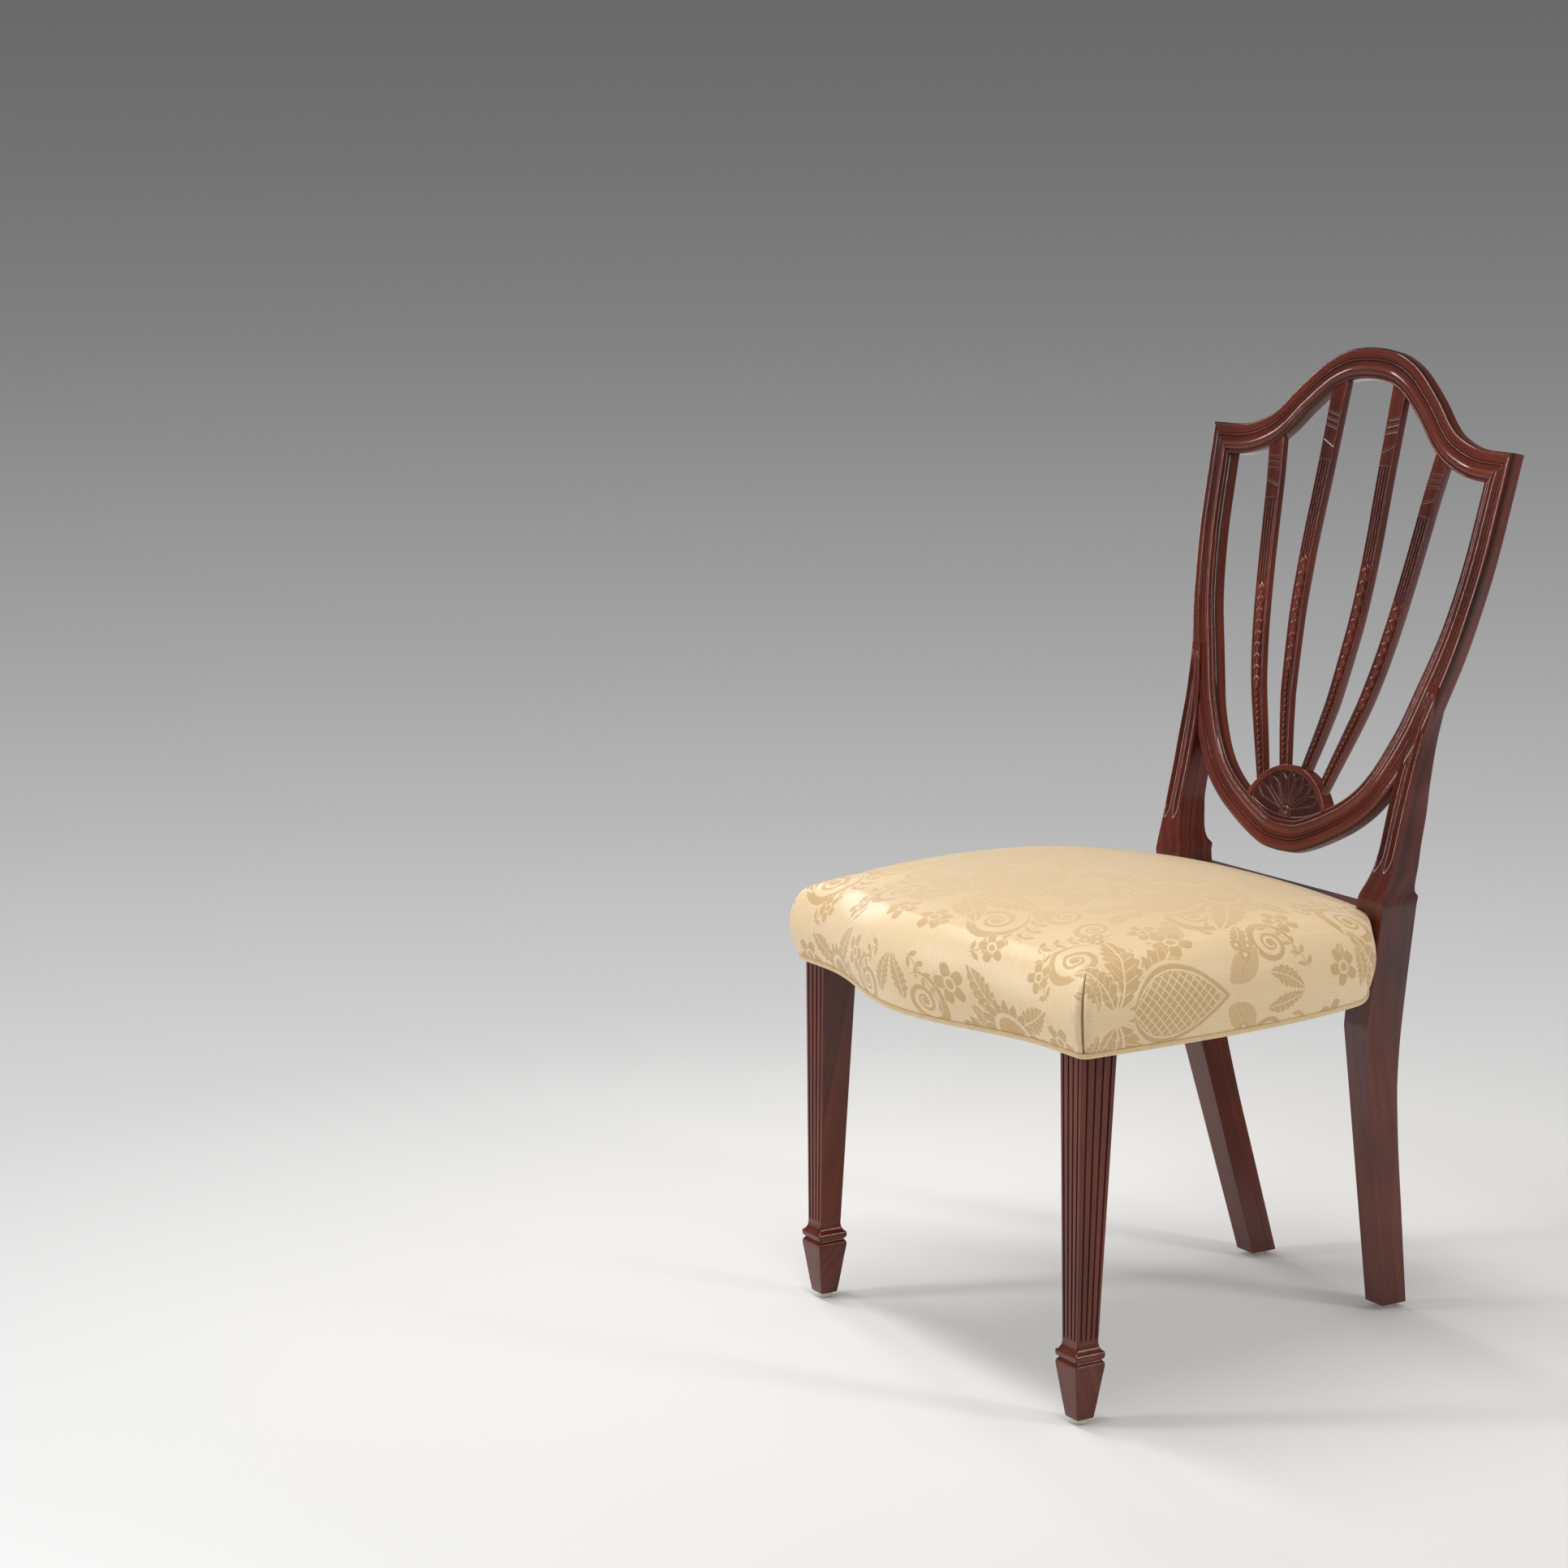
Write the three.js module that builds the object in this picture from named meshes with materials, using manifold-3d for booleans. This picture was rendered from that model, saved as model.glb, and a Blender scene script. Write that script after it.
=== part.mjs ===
// Shield back dining chair. Millimetres, +Z up, the chair faces -Y, and +X is the right of someone facing it.
// Left and right in the names are those of someone facing the chair.
// While it is drawn, Y is measured back from the line of the front feet. The last lines centre it on its box.
import * as THREE from 'three';
import { mergeVertices } from 'three/addons/utils/BufferGeometryUtils.js';
import Module from 'manifold-3d';

const wasm = await Module();
wasm.setup();

// Fits
const jointGap = 0.3;          // clearance between pieces that meet
const cutOverrun = 4;          // how far a cutting solid runs past what it cuts

// The back as a surface, which the shield, ribs and lunette are drawn flat on and then bent to
const overallHeight = 965;     // top of the crest
const seatJoinHeight = 436;    // where the posts leave the seat
const postFrontAtSeat = 386;   // front of the rear posts there
const backLean = 123.5;        // how far the top of the crest lies behind that
const backHollow = 2;          // bow of the lean, seen from the side
const backBow = 4;             // how far the middle lies behind the sides, seen from above

// Shield frame
const shieldHalfWidth = 231.5; // to the pointed top corners
const archRise = 88;           // crest over the top corners
const cornerHeight = overallHeight - archRise;
const shieldClearance = 27.5;  // lowest point of the shield over the seat joint
const shieldFoot = seatJoinHeight + shieldClearance;
const frameWidth = 31.5;       // face of the moulded frame
const frameSwell = 5;          // how much wider it is where the sides run into the base
const swellShare = 0.33;       // where that is, along the height of the shield
const swellHeight = shieldFoot + (cornerHeight - shieldFoot) * swellShare;
const swellReach = 135;
const frameThickness = 17.5;
const mouldingRelief = 2.4;    // deepest groove of the moulding
const frameEase = 5;           // rounding of the back edges of crest and base
const sideEase = 2.5;          // and of the sides
const sideJointShare = 0.47;   // where the base meets the posts, along half of the outline
const edgeShares = [
  // outer edge from the foot of the shield to its corner: share of the half width, share of the height
  [0.112, 0.005], [0.238, 0.029], [0.363, 0.0617], [0.458, 0.092], [0.549, 0.131],
  [0.622, 0.175], [0.678, 0.219], [0.734, 0.272], [0.786, 0.333], [0.842, 0.427],
  [0.894, 0.525], [0.931, 0.622], [0.965, 0.741], [0.986, 0.886],
];
const crestShares = [
  [0, 1], [0.1, 0.985], [0.2, 0.93], [0.32, 0.78], [0.465, 0.49],
  [0.56, 0.26], [0.635, 0.13], [0.75, 0.03], [0.87, 0],
];
const mouldingShares = [
  [0, 1], [0.02, 0.45], [0.09, 0.35], [0.125, 0.95], [0.17, 0.3], [0.25, 0], [0.34, 0.25], [0.41, 0.9],
  [0.47, 0.5], [0.6, 0.42], [0.68, 0.9], [0.74, 0.15], [0.82, 0.1], [0.89, 0.9], [0.94, 0.6], [1, 1],
];
const crestStationCount = 32;
const baseStationCount = 14;
const sideStationCount = 18;
const cornerTenonWidth = 12;
const cornerTenonThickness = 8;
const cornerTenonLength = 22;
const baseTenonWidth = 14;
const baseTenonThickness = 8;
const baseTenonLength = 20;

// Ribs
const ribRecess = 3;           // front of a rib behind the front of the frame
const ribThickness = 9;
const ribEdgeRelief = 1;       // sunk panel between the raised edges of a rib
const ribEase = 1.6;
const ribTenonShare = 0.6;     // tenon width to rib width
const ribEdgeShares = [0.044, 0.176, 0.229]; // across the raised edge of a rib and down to its panel
const ribOverrun = 8;          // how far a rib is drawn into its neighbours before it is cut to them
const ribStationCount = 18;
const ribTenonThickness = 5;
const ribTenonLength = 11;
const innerRibHeadX = 45.8;
const innerRibHeadRise = 45;   // over the top corners
const innerRibHeadHeight = cornerHeight + innerRibHeadRise;
const innerRibFootX = 16.5;
const innerRibSink = 1.6;      // foot of the rib inside the lunette's arc
const outerRibHeadX = 129;
const outerRibHeadDrop = 11;
const outerRibHeadHeight = cornerHeight - outerRibHeadDrop;
const outerRibFootX = 47;
const outerRibSink = 3;
const ribHeadWidth = 21.5;
const ribMiddleWidth = 18.3;
const ribFootWidth = 11;
const innerRibShares = [
  [0.147, 0.04], [0.348, 0.093], [0.526, 0.146], [0.683, 0.199], [0.877, 0.305], [1.03, 0.411],
  [1.089, 0.517], [1.092, 0.623], [1.034, 0.782],
];
const outerRibShares = [
  [0.16, 0.095], [0.26, 0.154], [0.451, 0.272], [0.59, 0.391], [0.69, 0.509], [0.77, 0.627], [0.838, 0.746],
  [0.915, 0.885],
];
const ribWidthShares = [[0, 0], [0.1, 0.35], [0.2, 0.62], [0.35, 0.86], [0.52, 1]];

// Lunette at the foot of the ribs
const lunetteHalfWidth = 61.5;
const lunetteRise = 53.5;      // over the inner edge of the frame
const lunetteTop = shieldFoot + frameWidth + lunetteRise;
const lunetteFlatness = 10.5;
const lunetteRadius = lunetteHalfWidth + lunetteFlatness;
const lunetteThickness = 15;
const lunetteRecess = 1;       // behind the front of the frame
const lunetteFieldDepth = 2.6; // sunk field behind the rim
const lunetteRim = 4.5;        // width of the rim
const lunetteFootRadius = 129; // of the field along the base
const lunetteTenonHalfWidth = 26;
const lunetteTenonThickness = 7;
const lunetteTenonLength = 9;
const petalCount = 7;
const petalFoot = 1;           // how far the carving is rooted in the field
const petalRise = 2.2;
const petalHalfWidth = 4.4;
const petalStart = 9;          // from the middle of the hub
const petalSweep = 1.9;        // radians from the first petal to the last
const petalSides = 10;
const petalNarrowing = 0.35;   // how much fuller a petal is towards its tip
const petalFullness = 0.75;
const petalRingShares = [[0, 1, 1], [1, 0.63, 0.8]]; // height, width and length of its foot and crest
const hubRadius = 6.5;
const hubSides = 12;
const hubRingShares = [[0, 1], [1, 0.72]];
const hubFlatShare = -0.35;    // where the foot of the hub is cut level
const hubRise = 6;             // middle of the hub, over the inner edge of the frame
const hubHeight = shieldFoot + frameWidth + hubRise;
const innerRibFootHeight = lunetteArc(innerRibFootX) - innerRibSink;
const outerRibFootHeight = lunetteArc(outerRibFootX) - outerRibSink;

// Rear posts: leg, block at the seat, and stile
const legFootHeight = 5.8;     // underside of every leg, over its glide
const rearFootInner = 92;
const rearFootOuter = 118.5;
const rearFootFront = 453;
const rearFootBack = 484.5;
const postInnerAtSeat = 143.5;
const postOuterAtSeat = 182.5;
const postBackAtSeat = 430;
const kneeHeight = 310;        // where the leg turns back to the floor
const stileTopShare = 0.451;   // where the stile has died into the shield, along the shield's height
const stileTopHeight = shieldFoot + (cornerHeight - shieldFoot) * stileTopShare;
const stileRecess = 1.2;       // front of the stile behind the front of the shield
const coveDepth = 2.4;         // two long coves on the front of the stile
const postEase = 2;
const stileTopDepth = 18;
const stileWaistInner = 158.5;
const stileWaistOuter = 184.5;
const stileWaistDepth = 29;
const stileTopInner = 181;
const stileTopOuter = 194;
const rearLegBackShares = [
  [0, 0], [0.22, 0.37], [0.45, 0.75], [0.59, 0.925], [0.71, 0.985], [0.86, 1], [1, 1],
];
const stileShares = [
  // height, inner face, outer face, depth of section, coves: each from the block (0) to the waist (1)
  [0.03, 0.04, 0, 0, 0], [0.06, 0.22, 0.1, 0.4, 0], [0.09, 0.45, 0.2, 0.55, 0.4], [0.13, 0.68, 0.35, 0.62, 1],
  [0.18, 0.86, 0.5, 0.7, 1], [0.27, 1, 0.8, 0.88, 1], [0.4, 1, 1, 1, 1],
];
const stileUpperShares = [
  // height, then inner face, outer face and depth from the waist (0) to the top (1), coves
  [0.55, 0.05, 0.15, 0.45, 1], [0.72, 0.3, 0.25, 0.75, 1], [0.86, 0.62, 0.55, 0.9, 0.6], [1, 1, 1, 1, 0],
];
const coveShares = [[0.05, 0], [0.26, 1], [0.46, 0.12], [0.54, 0.12], [0.74, 1], [0.95, 0]];

// Front legs
const frontLegFrontFace = -11.6;
const ankleOuter = 236.4;
const legTopOuter = 240;
const ankleWidth = 24.5;
const legTopWidth = 37;
const legTopDepth = 43.5;
const ankleHeight = 79;
const spadeHeight = 57;        // to the widest part of the spade foot
const spadeTopWidth = 33.5;
const spadeFootWidth = 19.5;
const spadeFootEase = 1;
const grooveWidth = 2.1;
const grooveDepth = 1.3;
const grooveShares = [0.16, 0.387, 0.613, 0.84];
const footShares = [
  // height from spade to ankle, width from ankle (0) to spade (1)
  [0.12, 0.97], [0.2, 0.72], [0.27, 0.5], [0.32, 0.78], [0.41, 1], [0.53, 1.05], [0.62, 0.92],
  [0.68, 0.55], [0.82, 0.16],
];

// Glides under the four legs
const glideRadius = 7.4;
const glideFlatRadius = 6;
const glideEase = 1.6;
const glideHeight = 5.5;
const glideStemRadius = 2.2;
const glideStemLength = 13;
const glideSides = 16;

// Seat plan, at the welt
const seatHalfWidth = 248;
const seatRearHalfWidth = 217; // where the rear corners begin to round
const rearCornerStart = 330;
const rearCornerPower = 1.6;   // how suddenly they round
const rearCornerDrop = 34;     // how far the rounded corners draw in before the posts
const seatFrontCorner = -17;   // front corners
const serpentineBow = 40;      // how far the middle of the front stands out before them
const serpentineHalfWidth = 200;
const seatRearEdge = 399.7;
const seatCornerRadius = 14;
const seatSidePower = 3.5;     // how late the sides draw in
const edgePadding = 9;         // stuffing outside the rails

// Seat rails
const railBottom = 358;
const railTop = 420;
const legTopDrop = 1;          // front legs end below the tops of the rails
const legTopHeight = railTop - legTopDrop;
const frontRailThickness = 30;
const sideRailInnerFront = 206; // inner face of a side rail, at the front
const sideRailInnerRear = 141;
const sideRailInnerPower = 3;
const rearRailFront = 390;
const rearRailRabbet = 400;    // front of the polished strip behind the seat
const rearRailBack = 424;
const rearStripRise = 7;       // polished strip over the tops of the rails
const rearRailTop = railTop + rearStripRise;
const tenonShoulder = 8;       // above and below a tenon
const frontTenonBack = 8;
const frontTenonThickness = 10;
const frontTenonLength = 23;
const sideTenonInner = 216;
const sideTenonThickness = 9;
const sideTenonLength = 21;
const sideRearTenonInner = 146.5;
const sideRearTenonThickness = 6.5;
const rearTenonFront = 408;
const rearTenonThickness = 9;
const rearTenonLength = 17;

// Corner blocks and their screws
const blockHeight = 44;
const blockBottom = 364;
const frontBlockReach = 48;    // along the front rail
const frontBlockDepth = 52;    // along the side rail
const rearBlockReach = 46;
const rearBlockDepth = 46;
const screwHeadRadius = 4.2;
const screwHeadHeight = 2.6;
const screwShankRadius = 2;
const screwLength = 32;
const screwSides = 12;
const screwInset = 22;         // from the block's square corner
const counterboreDepth = 8;    // seat of the head, from the rail

// Webbing, hessian, dust cover
const webWidth = 50;
const webThickness = 1.6;
const lengthwiseShares = [-0.63, -0.21, 0.21, 0.63]; // of the clear width at the back
const crosswiseShares = [0.26, 0.5, 0.74];
const webEndInset = 12;        // from the outside of the rails
const webFlat = 28.2;          // half of the level part where two straps cross
const hessianThickness = 1;
const dustCoverThickness = 0.8;
const dustCoverInset = 12;     // from the welt line
const hessianInset = 12;

// Stuffing, cover and welt
const coverClearance = 0.7;    // over the undersides of the rails
const coverBottom = railBottom + coverClearance;
const coverThickness = 1.7;
const seatEdgeRise = 20;       // shoulder of the cushion over the rails
const seatEdgeHeight = railTop + seatEdgeRise;
const seatCrownRise = 26;      // crown over the shoulder
const seatCrownHeight = seatEdgeHeight + seatCrownRise;
const seatCornerFall = 11;     // how much lower the shoulder is at the corners
const seatRearFall = 9;        // and towards the back
const sideBulge = 11;
const shoulderRound = 20;
const weltRadius = 2.6;
const weltSides = 6;
const padSideShares = [
  // height from bottom to shoulder, bulge
  [0, 0], [0.18, 0.55], [0.4, 0.95], [0.6, 1], [0.78, 0.66], [0.92, -0.05],
];
const crownShares = [[1, 0], [0.94, 0.22], [0.84, 0.47], [0.68, 0.74], [0.46, 0.92], [0.2, 1]];

// Finishes
const mahogany = { color: 0x5a2a22, roughness: 0.32, metalness: 0 };
const rawBeech = { color: 0xb9905f, roughness: 0.8, metalness: 0 };
const damask = { color: 0xe6cd9f, roughness: 0.62, metalness: 0 };
const stuffing = { color: 0xe9e2cc, roughness: 0.95, metalness: 0 };
const jute = { color: 0xa98d62, roughness: 0.95, metalness: 0 };
const cambric = { color: 0x1c1b1b, roughness: 0.95, metalness: 0 };
const nylon = { color: 0x2a2420, roughness: 0.55, metalness: 0 };
const zincSteel = { color: 0xb7b4a8, roughness: 0.4, metalness: 1 };

const { lerp } = THREE.MathUtils;
const chair = new THREE.Group();

function add(name, solid, finish) {
  const { vertProperties, triVerts } = solid.getMesh();
  const geometry = new THREE.BufferGeometry();
  geometry.setAttribute('position', new THREE.BufferAttribute(new Float32Array(vertProperties), 3));
  geometry.setIndex(new THREE.BufferAttribute(new Uint32Array(triVerts), 1));
  geometry.computeVertexNormals();
  const mesh = new THREE.Mesh(geometry, new THREE.MeshStandardMaterial(finish));
  mesh.name = name;
  chair.add(mesh);
}

// A closed solid from points and triangles, turned so that its faces point out.
function solidFrom(points, triangles) {
  const vertProperties = new Float32Array(points.flatMap((p) => [p.x, p.y, p.z]));
  let volume = 0;
  for (let i = 0; i < triangles.length; i += 3) {
    const [a, b, c] = [points[triangles[i]], points[triangles[i + 1]], points[triangles[i + 2]]];
    volume += a.dot(new THREE.Vector3().crossVectors(b, c));
  }
  const turned = volume < 0 ? triangles.slice().reverse() : triangles;
  return new wasm.Manifold(new wasm.Mesh({ numProp: 3, vertProperties, triVerts: new Uint32Array(turned) }));
}

// The same from a three.js geometry, whose shared vertices are merged.
function solidOf(geometry) {
  geometry.deleteAttribute('normal');
  geometry.deleteAttribute('uv');
  const merged = mergeVertices(geometry);
  const { position } = merged.attributes;
  const points = [];
  for (let i = 0; i < position.count; i++) points.push(new THREE.Vector3().fromBufferAttribute(position, i));
  return solidFrom(points, Array.from(merged.index.array));
}

function middleOf(ring) {
  return ring.reduce((sum, point) => sum.add(point), new THREE.Vector3()).divideScalar(ring.length);
}

// A closed solid through rings of points, each ring with the same count, with both ends closed by fans.
function loft(rings) {
  const count = rings[0].length;
  const points = rings.flat();
  const lastRing = points.length - count;
  const firstMiddle = points.length;
  const lastMiddle = firstMiddle + 1;
  points.push(middleOf(rings[0]), middleOf(rings.at(-1)));
  const triangles = [];
  for (let i = 0; i < count; i++) {
    const j = (i + 1) % count;
    for (let start = 0; start < lastRing; start += count) {
      const above = start + count;
      triangles.push(start + i, start + j, above + j, start + i, above + j, above + i);
    }
    triangles.push(firstMiddle, j, i, lastMiddle, lastRing + i, lastRing + j);
  }
  return solidFrom(points, triangles);
}

function box(x0, x1, y0, y1, z0, z1) {
  const geometry = new THREE.BoxGeometry(Math.abs(x1 - x0), Math.abs(y1 - y0), Math.abs(z1 - z0));
  geometry.translate((x0 + x1) / 2, (y0 + y1) / 2, (z0 + z1) / 2);
  return solidOf(geometry);
}

// A flat outline, as [x, y] points, raised from one height to another.
function slab(outline, bottom, top) {
  const shape = new THREE.Shape(outline.map(([x, y]) => new THREE.Vector2(x, y)));
  const geometry = new THREE.ExtrudeGeometry(shape, { depth: top - bottom, bevelEnabled: false });
  geometry.translate(0, 0, bottom);
  return solidOf(geometry);
}

// A turned solid on the Z axis, from [radius, height] points.
function turned(profile, sides) {
  const points = profile.map(([radius, height]) => new THREE.Vector2(radius, height));
  const geometry = new THREE.LatheGeometry(points, sides);
  geometry.rotateX(Math.PI / 2);
  return geometry;
}

// The back's front surface at a height, and its slope.
function backRise(height) {
  return (height - seatJoinHeight) / (overallHeight - seatJoinHeight);
}

function backFront(x, height) {
  const rise = backRise(height);
  const bow = backBow * (1 - (x / shieldHalfWidth) ** 2);
  return postFrontAtSeat + backLean * rise + backHollow * 4 * rise * (1 - rise) + bow;
}

function backAngle(height) {
  const slope = backLean + backHollow * 4 * (1 - 2 * backRise(height));
  return Math.atan2(slope, overallHeight - seatJoinHeight);
}

// From the flat drawing of the back to its bent place: depth is measured square to the surface.
function bend(x, height, depth) {
  const angle = backAngle(height);
  const y = backFront(x, height) + depth * Math.cos(angle);
  return new THREE.Vector3(x, y, height - depth * Math.sin(angle));
}

// A strip on the back: at every station its section runs from the outer edge to the inner edge.
function strip(stations, section) {
  return loft(stations.map(({ outer, inner }) => section.map(([across, depth]) => (
    bend(lerp(outer.x, inner.x, across), lerp(outer.y, inner.y, across), depth)
  ))));
}

// A block on the back with four edges, lengthwise from one point to another.
function bentBar(from, to, width, front, back) {
  const along = new THREE.Vector2().subVectors(to, from).normalize();
  const half = new THREE.Vector2(-along.y, along.x).multiplyScalar(width / 2);
  const stations = [from, to].map((point) => ({
    outer: point.clone().add(half),
    inner: point.clone().sub(half),
  }));
  return strip(stations, [[0, front], [1, front], [1, back], [0, back]]);
}

function framedSection(shares, relief, recess, thickness, ease) {
  const edge = ease / frameWidth;
  const front = shares.map(([across, share]) => [across, recess + relief * share]);
  const back = recess + thickness;
  return [...front, [1, back - ease], [1 - edge, back], [edge, back], [0, back - ease]];
}

const frameSection = framedSection(mouldingShares, mouldingRelief, 0, frameThickness, frameEase);
const sideSection = framedSection(mouldingShares, mouldingRelief, 0, frameThickness, sideEase);
const clearBack = frameThickness + cutOverrun;
const clearSection = [[0, -cutOverrun], [1, -cutOverrun], [1, clearBack], [0, clearBack]];

// Outer edge of the shield from the middle of its foot to its right corner.
function shieldEdge() {
  const half = [...edgeShares, [1, 1]];
  const points = half.map(([reach, rise]) => {
    return new THREE.Vector2(shieldHalfWidth * reach, lerp(shieldFoot, cornerHeight, rise));
  });
  return new THREE.SplineCurve([new THREE.Vector2(0, shieldFoot), ...points]);
}

function crestEdge() {
  const half = crestShares.map(([reach, rise]) => [shieldHalfWidth * reach, cornerHeight + archRise * rise]);
  half.push([shieldHalfWidth, cornerHeight]);
  const left = half.slice(1).reverse().map(([x, height]) => [-x, height]);
  return new THREE.SplineCurve([...left, ...half].map(([x, height]) => new THREE.Vector2(x, height)));
}

// Width of the frame's face at a height.
function faceWidth(height) {
  const away = Math.min(1, Math.abs(height - swellHeight) / swellReach);
  return frameWidth + frameSwell * (1 + Math.cos(Math.PI * away)) / 2;
}

// Stations along a curve, with the inner edge square to it, widened all round by grow.
function stationsAlong(curve, from, to, count, turn, grow = 0) {
  const stations = [];
  for (let i = 0; i <= count; i++) {
    const share = lerp(from, to, i / count);
    const point = curve.getPointAt(share);
    const tangent = curve.getTangentAt(share);
    const inward = new THREE.Vector2(-tangent.y, tangent.x).multiplyScalar(turn);
    stations.push({
      outer: point.clone().addScaledVector(inward, -grow),
      inner: point.clone().addScaledVector(inward, faceWidth(point.y) + grow),
    });
  }
  return stations;
}

function mirrored(stations) {
  return stations.map(({ outer, inner }) => ({
    outer: new THREE.Vector2(-outer.x, outer.y),
    inner: new THREE.Vector2(-inner.x, inner.y),
  }));
}

const shieldCurve = shieldEdge();
const crestCurve = crestEdge();
const mitreOuter = new THREE.Vector2(shieldHalfWidth, cornerHeight);
const mitreInner = new THREE.Vector2(shieldHalfWidth - frameWidth, cornerHeight - frameWidth);

function baseStations(grow) {
  const end = sideJointShare + grow / shieldCurve.getLength();
  const half = stationsAlong(shieldCurve, 0, end, baseStationCount, 1, grow);
  return [...mirrored(half).reverse().slice(0, -1), ...half];
}

function crestStations(grow) {
  const all = stationsAlong(crestCurve, 0, 1, crestStationCount, -1, grow);
  const inside = all.filter(({ outer }) => Math.abs(outer.x) < mitreInner.x);
  const outer = mitreOuter.clone().add(new THREE.Vector2(-jointGap * Math.SQRT2, grow));
  const inner = mitreInner.clone().add(new THREE.Vector2(-jointGap * Math.SQRT2, -grow));
  const end = { outer, inner };
  return [...mirrored([end]), ...inside, end];
}

function sideStations() {
  const start = sideJointShare + jointGap / shieldCurve.getLength();
  const all = stationsAlong(shieldCurve, start, 1, sideStationCount, 1);
  const below = all.filter(({ outer }) => outer.y < mitreInner.y);
  return [...below, { outer: mitreOuter, inner: mitreInner }];
}

// Tenons of the shield: a loose width either side for the mortise.
function cornerTenon(side, grow) {
  const x = side * (mitreOuter.x - frameWidth / 2);
  const height = (mitreOuter.y + mitreInner.y) / 2;
  const middle = frameThickness / 2;
  const half = cornerTenonThickness / 2 + grow;
  const foot = new THREE.Vector2(x, height - cornerTenonWidth);
  const head = new THREE.Vector2(x, height + cornerTenonLength / 2 + grow);
  return bentBar(foot, head, cornerTenonWidth + 2 * grow, middle - half, middle + half);
}

function baseTenon(side, grow) {
  const from = shieldCurve.getPointAt(sideJointShare);
  const along = shieldCurve.getTangentAt(sideJointShare);
  const middle = from.clone().add(new THREE.Vector2(-along.y, along.x).multiplyScalar(frameWidth / 2));
  const foot = middle.clone().addScaledVector(along, -cutOverrun);
  const head = middle.clone().addScaledVector(along, baseTenonLength + grow);
  const half = baseTenonThickness / 2 + grow;
  const ends = [foot, head].map((point) => new THREE.Vector2(side * point.x, point.y));
  return bentBar(...ends, baseTenonWidth + 2 * grow, frameThickness / 2 - half, frameThickness / 2 + half);
}

// Lunette: an arc over the base. Its foot is cut to the base afterwards, and its field follows the base.
function lunetteArc(x) {
  return lunetteTop - lunetteRadius + Math.sqrt(lunetteRadius ** 2 - x ** 2);
}

function lunetteOutline(inset, footHeight) {
  const topMiddle = lunetteTop - lunetteRadius;
  const radius = lunetteRadius - inset;
  const half = lunetteHalfWidth - inset;
  const outline = [];
  const steps = 12;
  for (let i = 0; i <= steps; i++) {
    const x = half * Math.cos(Math.PI * i / steps);
    outline.push([x, topMiddle + Math.sqrt(radius ** 2 - x ** 2)]);
  }
  for (let i = 1; i < steps; i++) {
    const x = -half * Math.cos(Math.PI * i / steps);
    outline.push([x, footHeight(x)]);
  }
  return outline;
}

function lunetteFoot(x) {
  return shieldFoot + frameWidth + lunetteFootRadius - Math.sqrt(lunetteFootRadius ** 2 - x ** 2);
}

function lunetteBlock(inset, footDrop, front, back) {
  const outline = lunetteOutline(inset, (x) => lunetteFoot(x) - footDrop);
  return loft([front, back].map((depth) => outline.map(([x, height]) => bend(x, height, depth))));
}

function petal(index) {
  const angle = petalSweep * (index / (petalCount - 1) - 0.5);
  const along = new THREE.Vector2(Math.sin(angle), Math.cos(angle));
  const across = new THREE.Vector2(along.y, -along.x);
  const hub = new THREE.Vector2(0, hubHeight);
  const reach = petalLength(along);
  const rings = petalRingShares.map(([rise, width, length]) => {
    const depth = lunetteRecess + lunetteFieldDepth + petalFoot - petalRise * rise;
    const ring = [];
    for (let i = 0; i < petalSides; i++) {
      const turn = 2 * Math.PI * i / petalSides;
      const run = lerp(petalStart, reach, (1 + length * Math.cos(turn)) / 2);
      const fullness = petalFullness + petalNarrowing * Math.cos(turn);
      const swell = petalHalfWidth * width * fullness * Math.sin(turn);
      const point = hub.clone().addScaledVector(along, run).addScaledVector(across, swell);
      ring.push(bend(point.x, point.y, depth));
    }
    return ring;
  });
  return loft(rings);
}

// How far a petal runs from the hub before it meets the rim.
function petalLength(along) {
  const rimRadius = lunetteRadius - lunetteRim;
  const fromHub = lunetteTop - lunetteRadius - hubHeight;
  const offset = along.y * fromHub;
  return offset + Math.sqrt(offset ** 2 + rimRadius ** 2 - fromHub ** 2) - petalHalfWidth;
}

function hub() {
  const rings = hubRingShares.map(([rise, share]) => {
    const depth = lunetteRecess + lunetteFieldDepth + petalFoot - petalRise * rise;
    const ring = [];
    for (let i = 0; i < hubSides; i++) {
      const turn = 2 * Math.PI * i / hubSides;
      const x = hubRadius * share * Math.cos(turn);
      ring.push(bend(x, hubHeight + hubRadius * share * Math.max(Math.sin(turn), hubFlatShare), depth));
    }
    return ring;
  });
  return loft(rings);
}

function lunetteTenon(grow) {
  const half = lunetteTenonThickness / 2 + grow;
  const middle = lunetteRecess + lunetteThickness / 2;
  const foot = new THREE.Vector2(0, shieldFoot + frameWidth - lunetteTenonLength - grow);
  const head = new THREE.Vector2(0, lunetteFoot(lunetteTenonHalfWidth) + cutOverrun);
  return bentBar(foot, head, 2 * (lunetteTenonHalfWidth + grow), middle - half, middle + half);
}

// Ribs
function ribCurve(inner) {
  const foot = inner ? [innerRibFootX, innerRibFootHeight] : [outerRibFootX, outerRibFootHeight];
  const head = inner ? [innerRibHeadX, innerRibHeadHeight] : [outerRibHeadX, outerRibHeadHeight];
  const shares = [[0, 0], ...(inner ? innerRibShares : outerRibShares), [1, 1]];
  const points = shares.map(([reach, rise]) => new THREE.Vector2(
    lerp(foot[0], head[0], reach),
    lerp(foot[1], head[1], rise),
  ));
  return new THREE.SplineCurve(points);
}

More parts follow.
